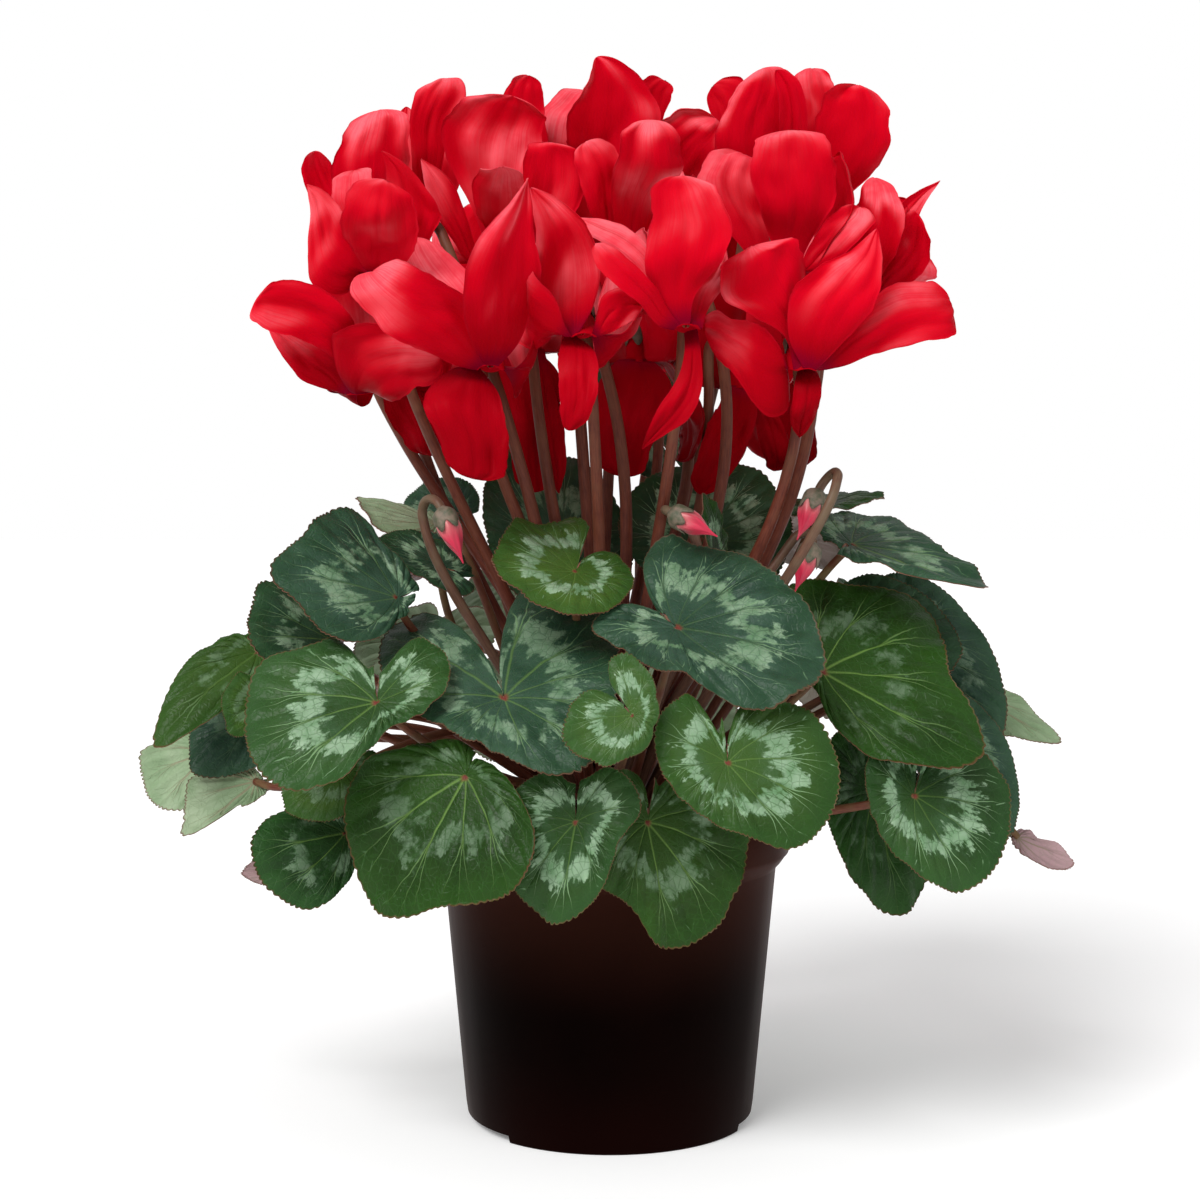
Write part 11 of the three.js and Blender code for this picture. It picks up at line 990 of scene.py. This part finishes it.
TUBE_L, MOUTH = 9.3, 5.6
for fl in FLOWERS:
    bd = Builder()
    for k, q in enumerate(fl["q"]):
        petal(bd, fl, k, q)
    M, ax = fl["M"], fl["a"]
    axn = unit(np.array(ax, float))
    Uz = unit(np.cross(axn, [0, 0, 1] if abs(axn[2]) < 0.9 else [1, 0, 0]))
    Wz = np.cross(axn, Uz)

    def rib(phi, i):
        lean = np.clip(-1.35 * 5.0 * (Uz[2] * np.cos(phi) + Wz[2] * np.sin(phi)) / axn[2], -4.2, 4.2)
        return 1 + 0.05 * np.cos(5 * phi) * (i in (2, 3, 4, 5)), lean * (0, 0, 0, 0.15, 0.5, 0.9, 1, 1, 0.95, 0.8, 0.55, 0.3, 0.1, 0)[i]

    # the corolla tube carries a fixed painted shade of 0.55 in its lk
    revolve(bd, M, ax, [(0.02, -TUBE_L), (2.4, -TUBE_L), (3.4, -TUBE_L + 0.4), (4.1, -6.5), (4.6, -3.2), (4.9, -0.8), (5.1, 0.1), (4.9, 0.45), (4.3, 0.1), (3.5, -0.9), (2.6, -1.9), (1.6, -2.6), (0.7, -2.9), (0.02, -3.0)], 40, 0, rib, b=(0, 0.5, 0.55, 0))
    for j in range(5):
        an = 2 * np.pi * j / 5
        axv = unit(np.array(ax, float))
        U = unit(np.cross(axv, [0.1, 0.2, 1.0]))
        W = np.cross(axv, U)
        o = (U * np.cos(an) + W * np.sin(an))
        p0 = np.array(M) + axv * -2.7 + o * 1.3
        p1 = np.array(M) + axv * -0.9 + o * 0.5
        tube(bd, np.linspace(p0, p1, 8), lambda s: 0.55 * (1 - 0.75 * s**1.5), 8, 1)
    # the style carries a fixed painted highlight of 0.2 and a fixed painted shade of 0.4 in its lk
    tube(bd, np.linspace(np.array(M) + np.array(ax) * -2.9, np.array(M) + np.array(ax) * 0.2, 6), 0.32, 8, 0, b=(0.2, 0, 0.4, 0))
    made.append((bd.make("look_corolla_" + fl["n"], PETAL), "corolla_" + fl["n"], "petal"))

# ---------- flower stems with their calyces ----------
FL = {f["n"]: f for f in FLOWERS}


def calyx(bd, at, ax, mat, r=4.5, z0=-13.9, z1=-9.7, tip=3.6, base=1.9):
    def lobes(phi, i):
        g = (i / 11.0)
        up = (0.5 + 0.5 * np.cos(5 * phi)) ** 0.9
        return (1.0 + 0.04 * np.cos(5 * phi) * g, tip * up * smooth(np.array(g), 0.45, 1.0) + 0 * phi)

    zs = [z0 + (z1 - z0) * t for t in (0, 0.06, 0.16, 0.3, 0.48, 0.7, 0.9, 1.0)]
    rs = [0.05, base * 0.7, base, r * 0.72, r * 0.93, r, r * 1.0, r * 1.02]
    outer = list(zip(rs, zs))
    inner = [(r * 0.94, z1 - 0.1), (r * 0.86, z1 - 0.5), (r * 0.6, z1 - 0.25), (0.05, z1 - 0.2)]
    prof = outer + inner

    def shape(phi, i):
        if i == 7:
            return (1 + 0.03 * np.cos(5 * phi), tip * (0.5 + 0.5 * np.cos(5 * phi)) ** 0.8)
        if i == 8:
            return (1 + 0.03 * np.cos(5 * phi), tip * 0.97 * (0.5 + 0.5 * np.cos(5 * phi)) ** 0.8)
        if i == 6:
            return (1 + 0.02 * np.cos(5 * phi), tip * 0.45 * (0.5 + 0.5 * np.cos(5 * phi)))
        return (1 + (0.05 if 2 <= i <= 5 else 0) * np.cos(5 * phi), 0.0)

    revolve(bd, at, ax, prof, 50, mat, shape)


for nd in STEM_NODES:
    bd = Builder()
    for m in nd["m"]:
        petiole(bd, nd["id"] + ":" + m, 2.35, 1.8, 0, 16)
        calyx(bd, FL[m]["M"], FL[m]["a"], 1)
    made.append((bd.make("look_" + nd["name"], STEM), nd["name"], "flower_stem"))

# ---------- buds ----------
for bu in BUDS:
    bd = Builder()
    petiole(bd, bu["id"] + ":" + bu["n"], 2.2, 1.55, 0, 16)
    n = bu["len"]
    calyx(bd, bu["C"], bu["a"], 1, 4.2, -1.7, 4.6, 3.4, 1.7)
    tw = lambda phi, i: (1 + 0.10 * np.cos(5 * phi + i * 0.55) * (i > 0), 0.0)
    L = n + 8.5
    z = np.linspace(1.0, L, 16)
    f = (z - 1.0) / (L - 1.0)
    rr = 3.75 * np.sqrt(np.clip(np.minimum(1, 0.35 + 3 * f), 0, 1)) * (1 - smooth(f, 0.35, 1.0) * 0.93)
    prof = [(0.02, 0.8)] + list(zip(rr, z)) + [(0.02, L + 0.3)]
    revolve(bd, bu["C"], bu["a"], prof, 40, 2, tw)
    made.append((bd.make("look_" + bu["name"], BUD), bu["name"], "bud"))

# ---------- pot ----------
F_R, N_R, N_Z, R_R, R_Z, W_R, W_Z = 51.4, 60.2, 92.5, 65.0, 98.5, 52.3, 6.6
prof = [(0.01, 0), (8.7, 0), (9.1, 0.25), (9.8, 2.9), (10.3, 3.0), (F_R - 3.1, 3.0), (F_R - 2.7, 2.7), (F_R - 2.3, 0.25), (F_R - 2.0, 0), (F_R - 0.6, 0), (F_R - 0.1, 0.35),
        (F_R + 0.3, 2.6), (W_R - 0.3, 4.6), (W_R, W_Z)]
for i in range(1, 12):
    t = i / 12
    prof.append((W_R + (N_R - W_R) * t, W_Z + (N_Z - W_Z) * t))
prof += [(N_R - 0.06, N_Z - 0.8), (N_R + 0.3, N_Z), (N_R + 2.0, N_Z + 1.8), (R_R - 1.2, R_Z - 1.9), (R_R - 0.3, R_Z - 0.9), (R_R, R_Z), (R_R, 104), (R_R, 109.2), (R_R - 0.25, 109.8), (R_R - 0.7, 110), (R_R - 1.0, 109.95),
         (R_R - 1.3, 109.6), (R_R - 1.45, 104), (R_R - 1.5, R_Z + 0.8), (R_R - 1.9, R_Z - 0.4), (N_R - 0.9, N_Z + 1.2), (N_R - 1.3, N_Z + 0.2), (W_R - 1.4, W_Z + 1.4), (F_R - 1.3, 6.2), (F_R - 1.9, 5.0), (F_R - 2.6, 4.5), (0.01, 4.4)]
bd = Builder()
revolve(bd, (0, 0, 0), (0, 0, 1), prof, 180, 0)
pot = bd.make("look_pot", [pot_mat()])


def weld(o):
    import bmesh

    b = bmesh.new()
    b.from_mesh(o.data)
    bmesh.ops.remove_doubles(b, verts=b.verts, dist=2.2e-5)
    bmesh.ops.recalc_face_normals(b, faces=b.faces)
    b.to_mesh(o.data)
    b.free()


weld(pot)
cut = Builder()
for i in range(6):
    an = 2 * math.pi * (i + 0.5) / 6
    cx, cy = 28 * math.cos(an), 28 * math.sin(an)
    revolve(cut, (cx, cy, 0), (0, 0, 1), [(0.01, -1), (4.9, -1), (4.9, 2.9), (4.5, 3.4), (4.5, 6), (0.01, 6)], 32, 0)
for at in (-156, -5, 62, 128):
    c, s = math.cos(math.radians(at)), math.sin(math.radians(at))
    B = np.array([[x, y, z] for x in (F_R - 8, F_R + 4) for y in (-20, 20) for z in (-2.7, 2.7)])
    B = np.stack([B[:, 0] * c - B[:, 1] * s, B[:, 0] * s + B[:, 1] * c, B[:, 2]], -1)
    cut.add(B, [[0, 1, 3, 2], [4, 6, 7, 5], [0, 4, 5, 1], [2, 3, 7, 6], [0, 2, 6, 4], [1, 5, 7, 3]])
cutter = cut.make("cutter", [pot.data.materials[0]])
weld(cutter)
md = pot.modifiers.new("holes", "BOOLEAN")
md.operation, md.solver, md.object = "DIFFERENCE", "EXACT", cutter
dg = bpy.context.evaluated_depsgraph_get()
done = bpy.data.meshes.new_from_object(pot.evaluated_get(dg))
pot.modifiers.clear()
pot.data = done
bpy.data.objects.remove(cutter)
done.polygons.foreach_set("use_smooth", np.ones(len(done.polygons), bool))
done.set_sharp_from_angle(angle=math.radians(40))
made.append((pot, "pot", "pot_plastic"))

# ---------- compost ----------
bd = Builder()
K = 160
rs = np.concatenate([[0.02], np.linspace(2, 62.2, 60)])
ang = np.arange(K) * 2 * np.pi / K
RR, AA = np.meshgrid(rs, ang, indexing="ij")
X, Y = RR * np.cos(AA), RR * np.sin(AA)
Z = 99.4 - 1.3 * smooth(RR, 46, 62) + 1.0 * (1 - smooth(RR, 22, 34)) + 0.9 * lattice(X * 0.16, Y * 0.16, 0 * X, 1) + 0.55 * lattice(X * 0.5, Y * 0.5, 0 * X, 2) + 0.35 * lattice(X * 1.3, Y * 1.3, 0 * X, 3)
top = np.stack([X, Y, Z], -1)
low = [(62.4, 97.5), (59.0, 93.0), (56, 60), (50.5, 9.0), (49.4, 6.4), (48.4, 4.8), (0.02, 4.8)]
rows = [top]
for r, z in low:
    rows.append(np.stack([r * np.cos(ang), r * np.sin(ang), np.full(K, z)], -1)[None])
allv = np.concatenate(rows)
bd.add(allv, grid_faces(len(allv), K, True)[:, ::-1])
ico = np.array([[0, 0, 1], [0.89, 0, 0.45], [0.28, 0.85, 0.45], [-0.72, 0.53, 0.45], [-0.72, -0.53, 0.45], [0.28, -0.85, 0.45], [0.72, 0.53, -0.45], [-0.28, 0.85, -0.45], [-0.89, 0, -0.45], [-0.28, -0.85, -0.45], [0.72, -0.53, -0.45], [0, 0, -1]])
icf = np.array([[0, 1, 2], [0, 2, 3], [0, 3, 4], [0, 4, 5], [0, 5, 1], [1, 6, 2], [2, 7, 3], [3, 8, 4], [4, 9, 5], [5, 10, 1], [6, 7, 2], [7, 8, 3], [8, 9, 4], [9, 10, 5], [10, 6, 1], [11, 7, 6], [11, 8, 7], [11, 9, 8], [11, 10, 9], [11, 6, 10]])
for i in range(1400):
    r, an = 61 * math.sqrt(rng.random()), rng.random() * 6.2832
    if r < 20:
        continue
    x, y = r * math.cos(an), r * math.sin(an)
    z = 99.4 - 1.3 * float(smooth(np.array(r), 46, 62)) + 0.9 * float(lattice(np.array(x * 0.16), np.array(y * 0.16), np.array(0.0), 1))
    sc = 0.35 + 1.3 * rng.random() ** 3
    V = ico * sc * (0.6 + 0.5 * rng.random((12, 1))) * np.array([1.0, 0.8, 0.6]) * (0.7 + 0.6 * rng.random(3))
    bd.add(V + [x, y, z + 0.2 * sc], None, icf)
soil = bd.make("look_soil", [soil_mat()])
made.append((soil, "soil", "soil"))

# ---------- tuber ----------
bd = Builder()
u = np.linspace(-np.pi / 2 + 0.01, np.pi / 2 - 0.01, 60)
UU, AA = np.meshgrid(u, np.arange(120) * 2 * np.pi / 120, indexing="ij")
nx, ny, nz = np.cos(UU) * np.cos(AA), np.cos(UU) * np.sin(AA), np.sin(UU)
f = 1 + 0.035 * lattice(nx * 2 + 9, ny * 2, nz * 2, 1) + 0.02 * lattice(nx * 6, ny * 6, nz * 9, 2) - 0.01 * np.abs(lattice(nx * 14, ny * 14, nz * 30, 3))
V = np.stack([23 * nx * f, 23 * ny * f, 96 + 10.4 * nz * f], -1)
# the crown rises in small knobs where stalks leave it
for C in STALKS.values():
    c = np.array(C[0])
    if c[2] > 112:
        continue
    d = np.hypot(V[..., 0] - c[0], V[..., 1] - c[1])
    V[..., 2] += np.where(nz > 0, 0.9 * np.exp(-((d / 2.6) ** 2)), 0) * (V[..., 2] < c[2] + 0.4)
bd.add(V, grid_faces(60, 120, True))
tuber = bd.make("look_tuber", [simple_mat("tuber_skin", (0.04, 0.022, 0.014, 1), (0.14, 0.085, 0.055, 1), 150, 0.8, 0.6, 0.001, 0.25)])
made.append((tuber, "tuber", "tuber"))

for o, node, slot in made:
    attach(o, "root")
    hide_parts(node)

# ---------- floor, light and camera ----------
fl_me = bpy.data.meshes.new("floor")
fl_me.from_pydata([(-6, -6, 0), (6, -6, 0), (6, 6, 0), (-6, 6, 0)], [], [(0, 1, 2, 3)])
floor = bpy.data.objects.new("floor", fl_me)
bpy.context.scene.collection.objects.link(floor)
FM = Mat("pale_floor")
fn = FM.noise(FM.obj(), 3.0, 2.0)
FM.bs.inputs["Specular IOR Level"].default_value = 0.1
FM.bs.inputs["Emission Color"].default_value = (1, 1, 1, 1)
FM.bs.inputs["Emission Strength"].default_value = 0.16
FM.set(Base_Color=FM.mix(fn, (0.90, 0.90, 0.90, 1), (0.93, 0.93, 0.93, 1)), Roughness=0.7)
fl_me.materials.append(FM.m)

world = bpy.data.worlds.new("studio") if not bpy.context.scene.world else bpy.context.scene.world
bpy.context.scene.world = world
world.use_nodes = True
bg = world.node_tree.nodes.get("Background") or world.node_tree.nodes.new("ShaderNodeBackground")
bg.inputs[0].default_value = (1.0, 1.0, 1.0, 1)
wt = world.node_tree
lp = wt.nodes.new("ShaderNodeLightPath")
mr = wt.nodes.new("ShaderNodeMapRange")
mr.inputs["To Min"].default_value, mr.inputs["To Max"].default_value = WORLD, 1.0
wt.links.new(lp.outputs["Is Camera Ray"], mr.inputs["Value"])
wt.links.new(mr.outputs["Result"], bg.inputs[1])
bpy.context.scene.view_settings.view_transform = "Standard"


def sun(name, frm, strength, angle, col=(1, 1, 1)):
    d = bpy.data.lights.new(name, "SUN")
    d.energy, d.angle, d.color = strength, math.radians(angle), col
    o = bpy.data.objects.new(name, d)
    bpy.context.scene.collection.objects.link(o)
    o.location = frm
    o.rotation_euler = (-Vector(frm)).to_track_quat("-Z", "Y").to_euler()


sun("key", (-0.60, -0.95, 1.05), KEY, 30)
sun("fill", (0.9, -0.8, 0.75), FILL, 50)

cam_d = bpy.data.cameras.new("camera")
cam_d.lens, cam_d.sensor_width = 66.69, 36
cam = bpy.data.objects.new("camera", cam_d)
cam.location = (-0.0035, -0.8, 0.237)
cam.rotation_euler = (math.radians(86.47), 0, 0)
cam_d.clip_end = 50
bpy.context.scene.collection.objects.link(cam)
bpy.context.scene.camera = cam

bpy.context.view_layer.update()
